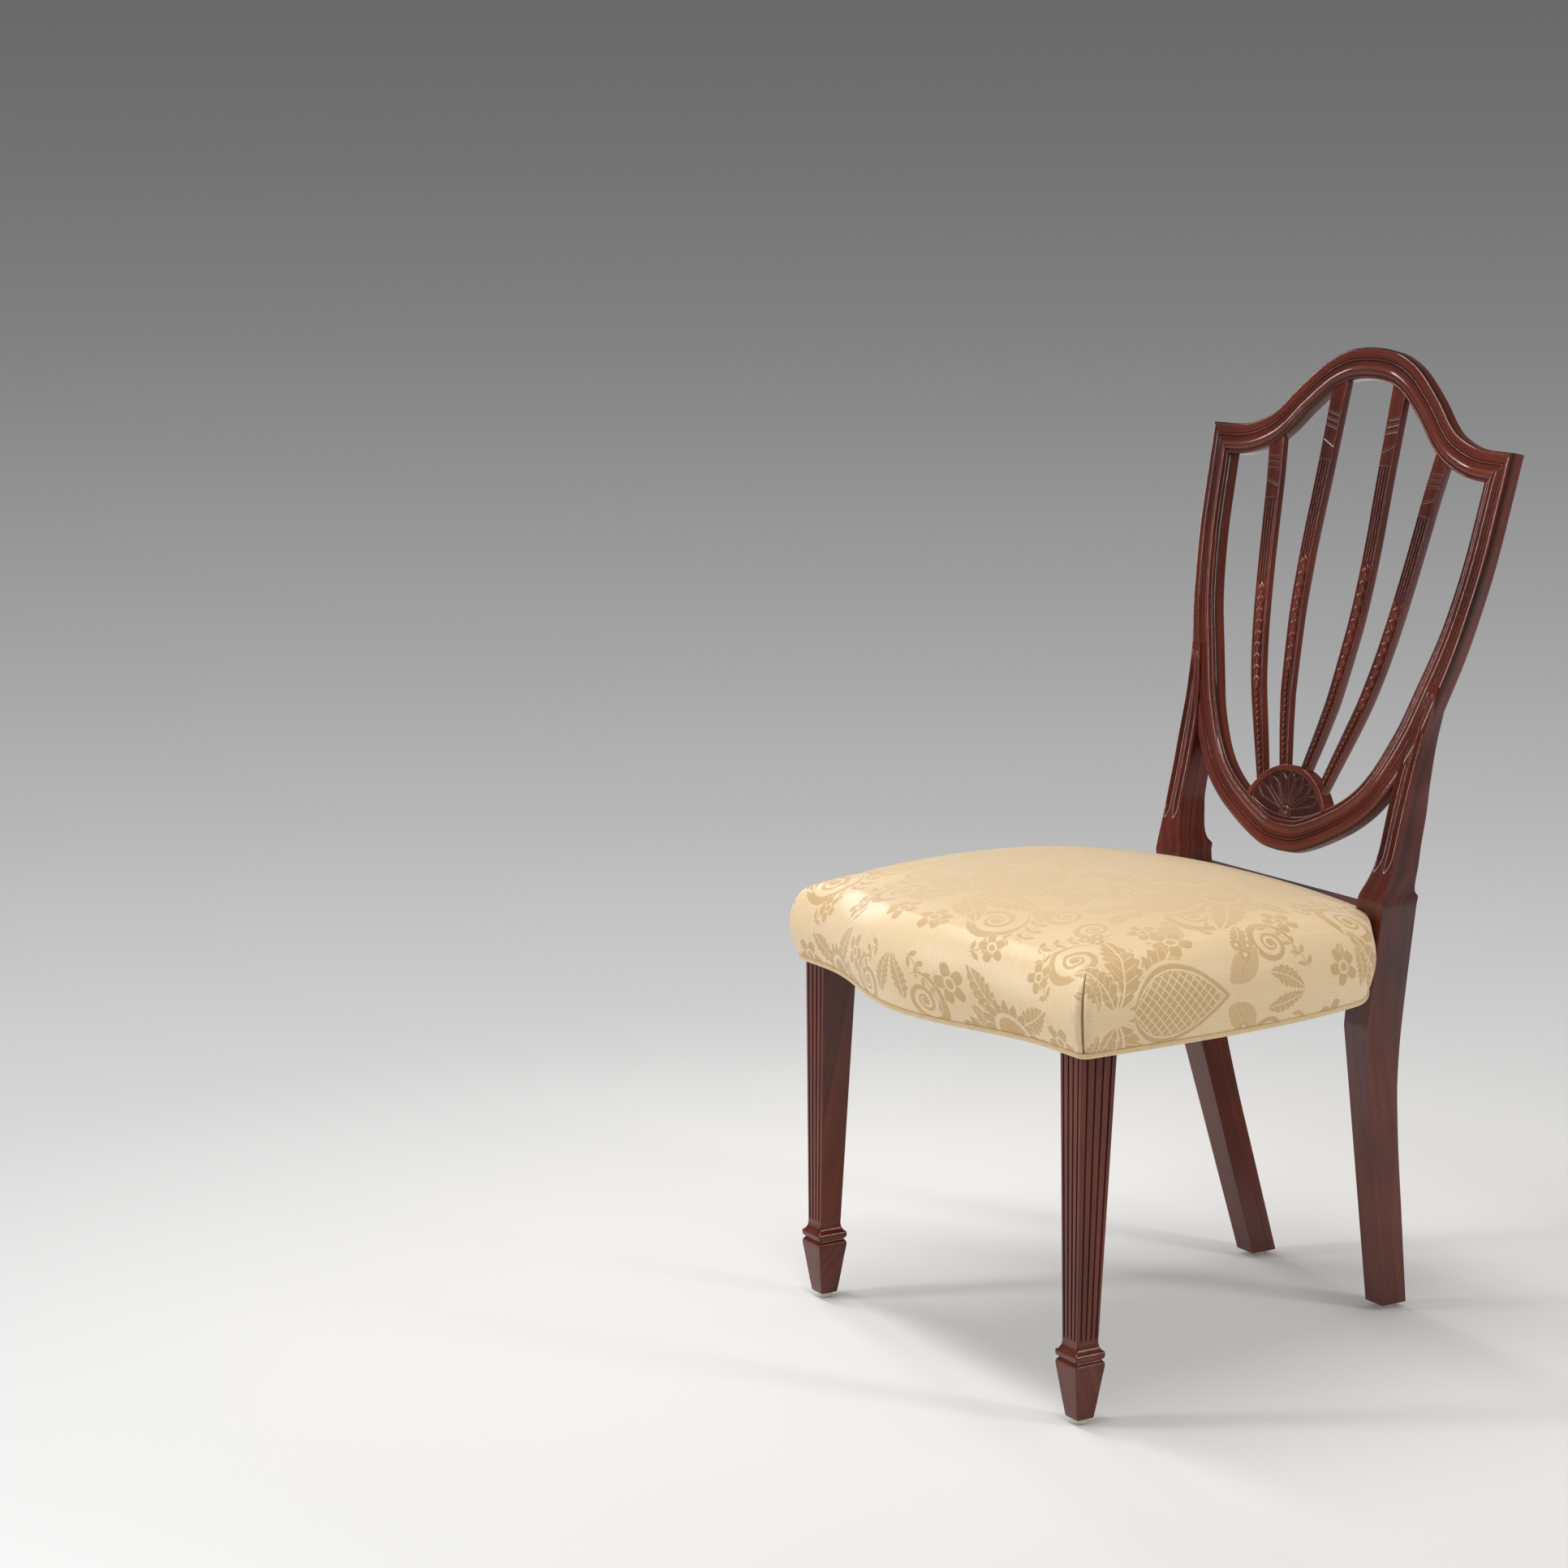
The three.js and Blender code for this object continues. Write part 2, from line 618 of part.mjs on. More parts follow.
function ribWidth(share) {
  if (share > ribWidthShares.at(-1)[0]) {
    const rise = (share - ribWidthShares.at(-1)[0]) / (1 - ribWidthShares.at(-1)[0]);
    return lerp(ribMiddleWidth, ribHeadWidth, rise ** 2);
  }
  const next = ribWidthShares.findIndex(([place]) => place >= share);
  const [from, to] = [ribWidthShares[Math.max(next - 1, 0)], ribWidthShares[next]];
  const part = to[0] === from[0] ? 0 : (share - from[0]) / (to[0] - from[0]);
  return lerp(ribFootWidth, ribMiddleWidth, lerp(from[1], to[1], part));
}

function ribStations(curve, side) {
  const stations = [];
  for (let i = 0; i <= ribStationCount; i++) {
    const share = i / ribStationCount;
    const half = ribWidth(share) / 2;
    const tangent = curve.getTangentAt(share);
    const across = new THREE.Vector2(tangent.y, -tangent.x);
    const ending = i === 0 ? -1 : (i === ribStationCount ? 1 : 0);
    const point = curve.getPointAt(share).addScaledVector(tangent, ending * ribOverrun);
    const outer = point.clone().addScaledVector(across, half);
    const inner = point.clone().addScaledVector(across, -half);
    stations.push({ outer, inner });
  }
  return side > 0 ? stations : mirrored(stations);
}

function ribTenon(curve, side, share, grow) {
  const point = curve.getPointAt(share);
  const out = curve.getTangentAt(share).multiplyScalar(share > 0 ? 1 : -1);
  const foot = point.clone().addScaledVector(out, -cutOverrun);
  const head = point.clone().addScaledVector(out, ribTenonLength + grow);
  const ends = [foot, head].map(({ x, y }) => new THREE.Vector2(side * x, y));
  const width = ribWidth(share) * ribTenonShare + 2 * grow;
  const middle = ribRecess + ribThickness / 2;
  const half = ribTenonThickness / 2 + grow;
  return bentBar(...ends, width, middle - half, middle + half);
}

function ribSection() {
  const [round, edge, panel] = ribEdgeShares;
  const front = ribRecess;
  const sunk = ribRecess + ribEdgeRelief;
  const back = ribRecess + ribThickness;
  const half = [[0, front + ribEase / 2], [round, front], [edge, front], [panel, sunk]];
  const other = half.slice().reverse().map(([across, depth]) => [1 - across, depth]);
  return [...half, ...other, [1, back - ribEase], [1 - round, back], [round, back], [0, back - ribEase]];
}

const ribs = [
  { name: 'rib_outer_left', curve: ribCurve(false), side: -1 },
  { name: 'rib_inner_left', curve: ribCurve(true), side: -1 },
  { name: 'rib_inner_right', curve: ribCurve(true), side: 1 },
  { name: 'rib_outer_right', curve: ribCurve(false), side: 1 },
];

function buildShield() {
  const crestClear = strip(crestStations(jointGap), clearSection);
  const baseClear = strip(baseStations(jointGap), clearSection);
  const fieldDepth = lunetteRecess + lunetteFieldDepth;
  const lunetteBack = lunetteRecess + lunetteThickness;
  const lunetteClear = lunetteBlock(-jointGap, frameWidth / 2, -cutOverrun, lunetteBack + cutOverrun);
  const field = lunetteBlock(lunetteRim, -lunetteRim / 2, -cutOverrun, fieldDepth);
  let crest = strip(crestStations(0), frameSection);
  let base = strip(baseStations(0), frameSection);
  let lunette = lunetteBlock(0, frameWidth / 2, lunetteRecess, lunetteBack);
  lunette = lunette.subtract(field).subtract(baseClear);
  for (let i = 0; i < petalCount; i++) lunette = lunette.add(petal(i));
  lunette = lunette.add(hub()).add(lunetteTenon(0));
  base = base.subtract(lunetteTenon(jointGap));
  for (const side of [-1, 1]) {
    crest = crest.subtract(cornerTenon(side, jointGap));
    base = base.add(baseTenon(side, 0));
  }
  for (const { name, curve, side } of ribs) {
    let rib = strip(ribStations(curve, side), ribSection());
    rib = rib.subtract(crestClear).subtract(lunetteClear).subtract(baseClear);
    for (const share of [0, 1]) rib = rib.add(ribTenon(curve, side, share, 0));
    crest = crest.subtract(ribTenon(curve, side, 1, jointGap));
    lunette = lunette.subtract(ribTenon(curve, side, 0, jointGap));
    add(name, rib, mahogany);
  }
  add('crest_rail', crest, mahogany);
  add('shield_base', base, mahogany);
  add('lunette', lunette, mahogany);
  return baseClear;
}

// Rear posts
function postRing(side, inner, outer, front, back, height, coves) {
  const ring = [];
  const depth = back - front;
  const sidePoint = (across, y) => new THREE.Vector3(side * lerp(inner, outer, across), y, height);
  const edge = postEase / (outer - inner);
  ring.push(sidePoint(0, front));
  for (const [across, share] of coveShares) ring.push(sidePoint(across, front + coveDepth * coves * share));
  ring.push(sidePoint(1, front), sidePoint(1, front + depth - postEase), sidePoint(1 - edge, back));
  ring.push(sidePoint(edge, back), sidePoint(0, front + depth - postEase));
  return ring;
}

function rearLegFront(height) {
  if (height > kneeHeight) return postFrontAtSeat;
  return lerp(rearFootFront, postFrontAtSeat, (height - legFootHeight) / (kneeHeight - legFootHeight));
}

function postAt(height) {
  const share = (height - legFootHeight) / (seatJoinHeight - legFootHeight);
  return {
    inner: lerp(rearFootInner, postInnerAtSeat, share),
    outer: lerp(rearFootOuter, postOuterAtSeat, share),
  };
}

function rearLegRings(side) {
  const kneeShare = (kneeHeight - legFootHeight) / (seatJoinHeight - legFootHeight);
  const shares = [...rearLegBackShares.map(([rise]) => rise), kneeShare].sort((a, b) => a - b);
  return shares.map((share) => {
    const height = lerp(legFootHeight, seatJoinHeight, share);
    const { inner, outer } = postAt(height);
    const next = Math.max(rearLegBackShares.findIndex(([rise]) => rise >= share), 1);
    const [from, to] = [rearLegBackShares[next - 1], rearLegBackShares[next]];
    const part = lerp(from[1], to[1], (share - from[0]) / (to[0] - from[0]));
    const back = lerp(rearFootBack, postBackAtSeat, part);
    return postRing(side, inner, outer, rearLegFront(height), back, height, 0);
  });
}

function stileRings(side) {
  const rise = stileTopHeight - seatJoinHeight;
  const blockDepth = postBackAtSeat - postFrontAtSeat;
  const ring = (heightShare, inner, outer, depth, coves, recess) => {
    const height = seatJoinHeight + rise * heightShare;
    const front = backFront(shieldHalfWidth, height) + recess;
    return postRing(side, inner, outer, front, front + depth, height, coves);
  };
  const lower = stileShares.map(([height, inner, outer, depth, coves]) => ring(
    height,
    lerp(postInnerAtSeat, stileWaistInner, inner),
    lerp(postOuterAtSeat, stileWaistOuter, outer),
    lerp(blockDepth, stileWaistDepth, depth),
    coves,
    stileRecess * inner,
  ));
  const upper = stileUpperShares.map(([height, inner, outer, depth, coves]) => ring(
    height,
    lerp(stileWaistInner, stileTopInner, inner),
    lerp(stileWaistOuter, stileTopOuter, outer),
    lerp(stileWaistDepth, stileTopDepth, depth),
    coves,
    stileRecess,
  ));
  return [...lower, ...upper];
}

function rearPost(side, baseClear) {
  let post = loft([...rearLegRings(side), ...stileRings(side)]);
  const stations = side > 0 ? sideStations() : mirrored(sideStations());
  post = post.add(strip(stations, sideSection)).subtract(baseClear);
  post = post.add(cornerTenon(side, 0)).subtract(baseTenon(side, jointGap));
  post = post.subtract(sideRearTenon(side, jointGap)).subtract(rearRailTenon(side, jointGap));
  return post.subtract(glideHole(side * rearGlideX(), rearGlideY()));
}

// Glides
function rearGlideX() {
  return (rearFootInner + rearFootOuter) / 2;
}

function rearGlideY() {
  return (rearFootFront + rearFootBack) / 2;
}

function frontGlideX() {
  return ankleOuter - ankleWidth / 2;
}

function frontGlideY() {
  return frontLegFrontFace + ankleWidth / 2;
}

function glide(x, y) {
  const shoulder = glideHeight - glideEase / 2;
  const profile = [
    [0, 0], [glideFlatRadius, 0], [glideRadius, glideEase], [glideRadius, shoulder],
    [glideRadius - glideEase / 2, glideHeight], [glideStemRadius, glideHeight],
    [glideStemRadius, glideHeight + glideStemLength - glideStemRadius], [0, glideHeight + glideStemLength],
  ];
  const geometry = turned(profile, glideSides);
  geometry.translate(x, y, 0);
  return solidOf(geometry);
}

function glideHole(x, y) {
  const radius = glideStemRadius + jointGap;
  const top = glideHeight + glideStemLength + jointGap;
  const geometry = turned([[0, 0], [radius, 0], [radius, top], [0, top]], glideSides);
  geometry.translate(x, y, 0);
  return solidOf(geometry);
}

// Front legs: a tapered square with grooved front and outer faces, a bead, and a spade foot.
function frontLegRing(side, inner, outer, front, back, height, groove) {
  const ring = [];
  const half = grooveWidth / 2;
  const width = outer - inner;
  const depth = back - front;
  const frontGrooves = grooveShares.flatMap((share) => {
    const middle = inner + width * share;
    return [[middle - half, front], [middle, front + grooveDepth * groove], [middle + half, front]];
  });
  const sideGrooves = grooveShares.flatMap((share) => {
    const middle = front + depth * share;
    return [[outer, middle - half], [outer - grooveDepth * groove, middle], [outer, middle + half]];
  });
  const [frontEdge, backEdge] = [[[inner, front], ...frontGrooves, [outer, front]], [[outer, back], [inner, back]]];
  const outline = [...frontEdge, ...sideGrooves, ...backEdge];
  for (const [x, y] of outline) ring.push(new THREE.Vector3(side * x, y, height));
  return ring;
}

function frontLegAt(height) {
  const share = (height - ankleHeight) / (legTopHeight - ankleHeight);
  const outer = lerp(ankleOuter, legTopOuter, share);
  return {
    outer,
    inner: outer - lerp(ankleWidth, legTopWidth, share),
    back: frontLegFrontFace + lerp(ankleWidth, legTopDepth, share),
  };
}

function squareRing(side, width, height, groove) {
  const [x, y] = [frontGlideX(), frontGlideY()];
  const half = width / 2;
  return frontLegRing(side, x - half, x + half, y - half, y + half, height, groove);
}

function frontLeg(side) {
  const spadeTop = (share) => lerp(spadeHeight, ankleHeight, share);
  const ease = spadeFootEase;
  const rings = [squareRing(side, spadeFootWidth - 2 * ease, legFootHeight, 0)];
  rings.push(squareRing(side, spadeFootWidth, legFootHeight + ease, 0));
  rings.push(squareRing(side, spadeTopWidth, spadeHeight, 0));
  for (const [rise, swell] of footShares) {
    rings.push(squareRing(side, lerp(ankleWidth, spadeTopWidth, swell), spadeTop(rise), 0));
  }
  rings.push(squareRing(side, ankleWidth, ankleHeight, 0));
  for (const height of [ankleHeight + grooveWidth, (ankleHeight + legTopHeight) / 2, legTopHeight]) {
    const { inner, outer, back } = frontLegAt(height);
    rings.push(frontLegRing(side, inner, outer, frontLegFrontFace, back, height, 1));
  }
  const leg = loft(rings).subtract(frontRailTenon(side, jointGap)).subtract(sideFrontTenon(side, jointGap));
  return leg.subtract(glideHole(side * frontGlideX(), frontGlideY()));
}

// Seat plan: where its edge lies, drawn in by an inset.
function seatFront(x) {
  const share = Math.min(1, Math.abs(x) / serpentineHalfWidth);
  return seatFrontCorner - serpentineBow * (1 + Math.cos(Math.PI * share)) / 2;
}

function seatSideLine(y) {
  const share = Math.max(0, (y - seatFrontCorner) / (rearCornerStart - seatFrontCorner));
  return lerp(seatHalfWidth, seatRearHalfWidth, share ** seatSidePower);
}

function seatSide(y) {
  const turn = Math.max(0, (y - rearCornerStart) / (postFrontAtSeat - rearCornerStart));
  return seatSideLine(y) - rearCornerDrop * turn ** rearCornerPower;
}

// Places along the side, closer together towards the rounded rear corner.
function sideStop(share) {
  return lerp(seatFrontCorner + seatCornerRadius, postFrontAtSeat, 1 - (1 - share) ** 2);
}

// Outline of the seat at the welt line, as points with outward directions, anticlockwise from the rear left.
function seatOutline() {
  const points = [];
  const sideSteps = 9;
  const frontSteps = 18;
  const cornerSteps = 3;
  const rearSteps = 4;
  const cornerY = seatFrontCorner + seatCornerRadius;
  const cornerX = seatHalfWidth - seatCornerRadius;
  const rearX = postAt(seatJoinHeight).inner + jointGap;
  for (let i = 0; i < sideSteps; i++) {
    const y = sideStop(1 - i / sideSteps);
    points.push([-seatSide(y), y]);
  }
  for (let i = 0; i < cornerSteps; i++) {
    const angle = Math.PI * (1 + i / cornerSteps / 2);
    const [across, back] = [Math.cos(angle), Math.sin(angle)];
    points.push([-cornerX + seatCornerRadius * across, cornerY + seatCornerRadius * back]);
  }
  for (let i = 0; i <= frontSteps; i++) {
    const x = lerp(-cornerX, cornerX, i / frontSteps);
    points.push([x, seatFront(x)]);
  }
  for (let i = 1; i <= cornerSteps; i++) {
    const angle = Math.PI * (1.5 + i / cornerSteps / 2);
    const [across, back] = [Math.cos(angle), Math.sin(angle)];
    points.push([cornerX + seatCornerRadius * across, cornerY + seatCornerRadius * back]);
  }
  for (let i = 1; i <= sideSteps; i++) {
    const y = sideStop(i / sideSteps);
    points.push([seatSide(y), y]);
  }
  for (let i = 0; i <= rearSteps; i++) {
    points.push([lerp(rearX, -rearX, i / rearSteps), seatRearEdge]);
  }
  return points.map(([x, y]) => new THREE.Vector2(x, y));
}

// The outline moved outward by a distance, except along the straight rear edge.
function seatOffset(distance, rearInset) {
  const outline = seatOutline();
  const count = outline.length;
  return outline.map((point, i) => {
    const before = outline[(i + count - 1) % count];
    const after = outline[(i + 1) % count];
    const along = new THREE.Vector2().subVectors(after, before).normalize();
    const moved = point.clone().addScaledVector(new THREE.Vector2(along.y, -along.x), distance);
    return point.y > seatRearEdge - jointGap ? new THREE.Vector2(point.x, seatRearEdge - rearInset) : moved;
  });
}

// Rails: the outer faces follow the seat plan inside the stuffing.
function railOuterSide(y) {
  return seatSide(y) - edgePadding;
}

function railInnerSide(y) {
  const share = Math.max(0, (y - seatFrontCorner) / (postFrontAtSeat - seatFrontCorner));
  return lerp(sideRailInnerFront, sideRailInnerRear, share ** sideRailInnerPower);
}

function railOuterFront(x) {
  return seatFront(x) + edgePadding;
}

function frontRailBody(grow) {
  const end = frontLegAt(railTop).inner - jointGap + grow;
  const [bottom, top] = [railBottom - grow, railTop + grow];
  const rings = [];
  const steps = 20;
  for (let i = 0; i <= steps; i++) {
    const x = lerp(-end, end, i / steps);
    const front = railOuterFront(x) - grow;
    const back = railOuterFront(x) + frontRailThickness + grow;
    const outline = [[front, bottom], [back, bottom], [back, top], [front, top]];
    rings.push(outline.map(([y, z]) => new THREE.Vector3(x, y, z)));
  }
  return loft(rings);
}

function frontRail() {
  let rail = frontRailBody(0);
  for (const side of [-1, 1]) {
    rail = rail.add(frontRailTenon(side, 0)).subtract(screwHole(frontScrew(side)));
  }
  return rail;
}

function tenonHeights(grow) {
  return [railBottom + tenonShoulder - grow, railTop - tenonShoulder + grow];
}

function frontRailTenon(side, grow) {
  const start = frontLegAt(railTop).inner - cutOverrun;
  const end = frontLegAt(railTop).inner + frontTenonLength + grow;
  const front = frontTenonBack - frontTenonThickness - grow;
  return box(side * start, side * end, front, frontTenonBack + grow, ...tenonHeights(grow));
}

function sideFrontTenon(side, grow) {
  const start = frontLegAt(railTop).back;
  const inner = sideTenonInner - grow;
  const outer = sideTenonInner + sideTenonThickness + grow;
  const front = start - sideTenonLength - grow;
  return box(side * inner, side * outer, front, start + cutOverrun, ...tenonHeights(grow));
}

function sideRearTenon(side, grow) {
  const inner = sideRearTenonInner - grow;
  const outer = sideRearTenonInner + sideRearTenonThickness + grow;
  const back = postFrontAtSeat + sideTenonLength + grow;
  return box(side * inner, side * outer, postFrontAtSeat - cutOverrun, back, ...tenonHeights(grow));
}

function sideRailBody(side, grow) {
  const front = frontLegAt(railTop).back + jointGap - grow;
  const back = postFrontAtSeat - jointGap + grow;
  const [bottom, top] = [railBottom - grow, railTop + grow];
  const rings = [];
  const steps = 10;
  for (let i = 0; i <= steps; i++) {
    const y = lerp(front, back, i / steps);
    const [inner, outer] = [railInnerSide(y) - grow, railOuterSide(y) + grow];
    const outline = [[inner, bottom], [outer, bottom], [outer, top], [inner, top]];
    rings.push(outline.map(([x, z]) => new THREE.Vector3(side * x, y, z)));
  }
  return loft(rings);
}

function sideRail(side) {
  const rail = sideRailBody(side, 0).add(sideFrontTenon(side, 0)).add(sideRearTenon(side, 0));
  return rail.subtract(screwHole(sideScrew(side, true))).subtract(screwHole(sideScrew(side, false)));
}

function rearRailTenon(side, grow) {
  const start = postAt(railBottom).inner - cutOverrun;
  const end = postAt(seatJoinHeight).inner + rearTenonLength + grow;
  const front = rearTenonFront - grow;
  const back = rearTenonFront + rearTenonThickness + grow;
  return box(side * start, side * end, front, back, ...tenonHeights(grow));
}

function rearRail() {
  const ring = (side) => [
    [rearRailFront, railBottom], [rearRailBack, railBottom], [rearRailBack, rearRailTop],
    [rearRailRabbet, rearRailTop], [rearRailRabbet, railTop], [rearRailFront, railTop],
  ].map(([y, z]) => new THREE.Vector3(side * (postAt(z).inner - jointGap), y, z));
  let rail = loft([ring(-1), ring(1)]);
  for (const side of [-1, 1]) rail = rail.add(rearRailTenon(side, 0)).subtract(screwHole(rearScrew(side)));
  return rail;
}

// Screws: a point on the rail's face, a direction into it, and which side of the chair.
const screwMiddle = blockBottom + blockHeight / 2;

function frontScrew(side) {
  const x = side * (frontLegAt(railTop).inner - screwInset);
  return { x, y: railOuterFront(x) + frontRailThickness, turn: -Math.PI / 2 };
}

function sideScrew(side, atFront) {
  const y = atFront ? frontLegAt(railTop).back + screwInset : postFrontAtSeat - screwInset;
  return { x: side * railInnerSide(y), y, turn: side > 0 ? 0 : Math.PI };
}

function rearScrew(side) {
  return { x: side * (postAt(railBottom).inner - screwInset), y: rearRailFront, turn: Math.PI / 2 };
}

// Turned about Z from a screw that points along +X with its head seat a counterbore's depth from the rail.
function screwPlaced(geometry, { x, y, turn }) {
  geometry.rotateY(Math.PI / 2);
  geometry.rotateZ(turn);
  geometry.translate(x, y, screwMiddle);
  return solidOf(geometry);
}

function screw(place) {
  const head = -counterboreDepth;
  const tip = head + screwLength;
  const profile = [
    [0, head - screwHeadHeight], [screwHeadRadius, head - screwHeadHeight], [screwHeadRadius, head],
    [screwShankRadius, head], [screwShankRadius, tip - 2 * screwShankRadius], [0, tip],
  ];
  return screwPlaced(turned(profile, screwSides), place);
}

function screwHole(place) {
  const seat = -counterboreDepth - jointGap / 2;
  const shank = screwShankRadius + jointGap;
  const bore = screwHeadRadius + jointGap;
  const tip = screwLength - counterboreDepth + jointGap;
  const outside = -frontBlockDepth;
  const ledge = seat + jointGap / 2;
  const profile = [[0, outside], [bore, outside], [bore, ledge], [shank, ledge], [shank, tip], [0, tip]];
  return screwPlaced(turned(profile, screwSides), place);
}

function frontBlock(side) {
  const { inner, back } = frontLegAt(railTop);
  const legSide = inner - jointGap;
  const legBack = back + jointGap;
  const railBack = (x) => railOuterFront(x) + frontRailThickness + jointGap;
  const railInner = (y) => railInnerSide(y) - jointGap;
  const start = legSide - frontBlockReach;
  const middle = (start + legSide) / 2;
  const end = legBack + frontBlockDepth;
  const outline = [
    [start, railBack(start)], [middle, railBack(middle)], [legSide, railBack(legSide)],
    [legSide, legBack], [railInner(legBack), legBack], [railInner(end), end],
  ];
  const block = slab(outline.map(([x, y]) => [side * x, y]), blockBottom, blockBottom + blockHeight);
  return block.subtract(screwHole(frontScrew(side))).subtract(screwHole(sideScrew(side, true)));
}

function rearBlock(side) {
  const post = postAt(railBottom).inner - jointGap;
  const railFront = rearRailFront - jointGap;
  const postFront = postFrontAtSeat - jointGap;
  const railInner = (y) => railInnerSide(y) - jointGap;
  const end = postFront - rearBlockDepth;
  const outline = [
    [post - rearBlockReach, railFront], [post, railFront], [post, postFront],
    [railInner(postFront), postFront], [railInner(end), end],
  ];
  const block = slab(outline.map(([x, y]) => [side * x, y]), blockBottom, blockBottom + blockHeight);
  return block.subtract(screwHole(rearScrew(side))).subtract(screwHole(sideScrew(side, false)));
}

// Webbing: straps woven over and under each other, tacked to the tops of the rails.
const webLevel = railTop + jointGap + webThickness / 2;
const weave = (webThickness + jointGap) / 2;
const hessianBottom = webLevel + weave + webThickness / 2 + jointGap;
const webFront = (x) => railOuterFront(x) + webEndInset;
const webRear = seatRearEdge - coverThickness - 2 * jointGap;

function lengthwiseX(i) {
  return lengthwiseShares[i] * sideRailInnerRear;
}

function crosswiseY(i) {
  return lerp(webFront(0), webRear, crosswiseShares[i]);
}

// A strap over the rails at both ends, which rises and dips where others cross it.
function strap(ends, rests, crossings, placed) {
  const path = [[ends[0], 0], [rests[0], 0]];
  for (const [place, lift] of crossings) path.push([place - webFlat, lift], [place + webFlat, lift]);
  path.push([rests[1], 0], [ends[1], 0]);
  const half = webThickness / 2;
  const section = [[-1, -half], [1, -half], [1, half], [-1, half]];
  return loft(path.map(([place, lift]) => section.map(([edge, thick]) => (
    placed(place, edge * webWidth / 2, webLevel + lift * weave + thick)
  ))));
}

function lengthwiseStrap(i) {
  const x = lengthwiseX(i);
  const crossings = crosswiseShares.map((share, j) => [crosswiseY(j), (i + j) % 2 ? 1 : -1]);
  const start = Math.max(webFront(x - webWidth / 2), webFront(x + webWidth / 2));
  const rests = [start + frontRailThickness - webEndInset, rearRailFront];
  const placed = (place, across, z) => new THREE.Vector3(x + across, place, z);
  return strap([start, webRear], rests, crossings, placed);
}

function crosswiseStrap(j) {
  const y = crosswiseY(j);
  const crossings = lengthwiseShares.map((share, i) => [lengthwiseX(i), (i + j) % 2 ? -1 : 1]);
  const end = railOuterSide(y + webWidth / 2) - webEndInset;
  const rest = railInnerSide(y + webWidth / 2) - webThickness;
  const placed = (place, across, z) => new THREE.Vector3(place, y + across, z);
  return strap([-end, end], [-rest, rest], crossings, placed);
}

// Seat stuffing and cover: rings up the bulging side, over the shoulder and across the crown.
function seatPad(shrink, overrun) {
  const rings = [];
  const middleY = (seatFrontCorner + seatRearEdge) / 2;
  const halfSpan = (seatRearEdge - seatFrontCorner) / 2;
  const edge = (x, y) => {
    const along = (y - middleY) / halfSpan;
    const corner = Math.min(1, (x * along / seatHalfWidth) ** 2);
    return seatEdgeHeight - shrink - seatCornerFall * corner - seatRearFall * Math.max(0, along) ** 2;
  };
  const ringAt = (distance, share, height) => seatOffset(distance - shrink, shrink).map((point) => {
    const x = point.x * share;
    const y = lerp(middleY, point.y, share);
    return new THREE.Vector3(x, y, height(x, y));
  });
  if (overrun > 0) rings.push(ringAt(0, 1, () => coverBottom - overrun));
  for (const [rise, bulge] of padSideShares) {
    rings.push(ringAt(sideBulge * bulge, 1, (x, y) => lerp(coverBottom, edge(x, y), rise)));
  }
  for (const [reach, rise] of crownShares) {
    rings.push(ringAt(-shoulderRound / 2, reach, (x, y) => edge(x, y) + seatCrownRise * rise));
  }
  return loft(rings);
}

function frameEnvelope(top) {
  const outline = seatOffset(-(edgePadding - jointGap), -cutOverrun).map(({ x, y }) => [x, y]);
  return slab(outline, coverBottom - cutOverrun, top);
}

function postNotches() {
  const front = postFrontAtSeat - jointGap;
  const ledgeEnd = postAt(seatJoinHeight).inner;
  const ledgeFront = rearRailFront - jointGap;
  const heights = [railBottom - cutOverrun, seatCrownHeight + cutOverrun];
  const notches = [-1, 1].map((side) => loft(heights.map((z) => {
    const [x0, x1] = [side * (postAt(z).inner - jointGap), side * (seatHalfWidth + cutOverrun)];
    const outline = [[x0, front], [x1, front], [x1, rearRailBack], [x0, rearRailBack]];
    return outline.map(([x, y]) => new THREE.Vector3(x, y, z));
  })));
  const ledge = box(-ledgeEnd, ledgeEnd, ledgeFront, rearRailBack, heights[0], railTop + jointGap);
  return notches[0].add(notches[1]).add(ledge);
}

function legPockets() {
  const { inner, outer, back } = frontLegAt(legTopHeight);
  const pockets = [-1, 1].map((side) => box(
    side * (inner - jointGap), side * (outer + jointGap), frontLegFrontFace - jointGap, back + jointGap,
    coverBottom - cutOverrun, legTopHeight + jointGap,
  ));
  return pockets[0].add(pockets[1]);
}

function buildSeat() {
  const notches = postNotches();
  const hessianTop = hessianBottom + hessianThickness;
  const outside = seatPad(0, 0);
  const lining = seatPad(coverThickness, cutOverrun);
  const core = frameEnvelope(hessianTop + jointGap).add(frontRailBody(jointGap));
  const rails = sideRailBody(-1, jointGap).add(sideRailBody(1, jointGap));
  const hollow = core.add(rails).add(notches).add(legPockets());
  const sheet = seatOffset(-hessianInset, cutOverrun).map(({ x, y }) => [x, y]);
  const lower = seatOffset(-dustCoverInset, dustCoverInset).map(({ x, y }) => [x, y]);
  const dustTop = railBottom - jointGap;
  const dust = slab(lower, dustTop - dustCoverThickness, dustTop);
  add('seat_cover', outside.subtract(lining).subtract(notches), damask);
  add('seat_stuffing', seatPad(coverThickness + jointGap, 0).subtract(hollow), stuffing);
  add('hessian', slab(sheet, hessianBottom, hessianTop).subtract(notches), jute);
  add('dust_cover', dust.subtract(notches).subtract(legPockets()), cambric);
  lengthwiseShares.forEach((share, i) => add(`web_lengthwise_${i + 1}`, lengthwiseStrap(i), jute));
  crosswiseShares.forEach((share, j) => add(`web_crosswise_${j + 1}`, crosswiseStrap(j), jute));
}

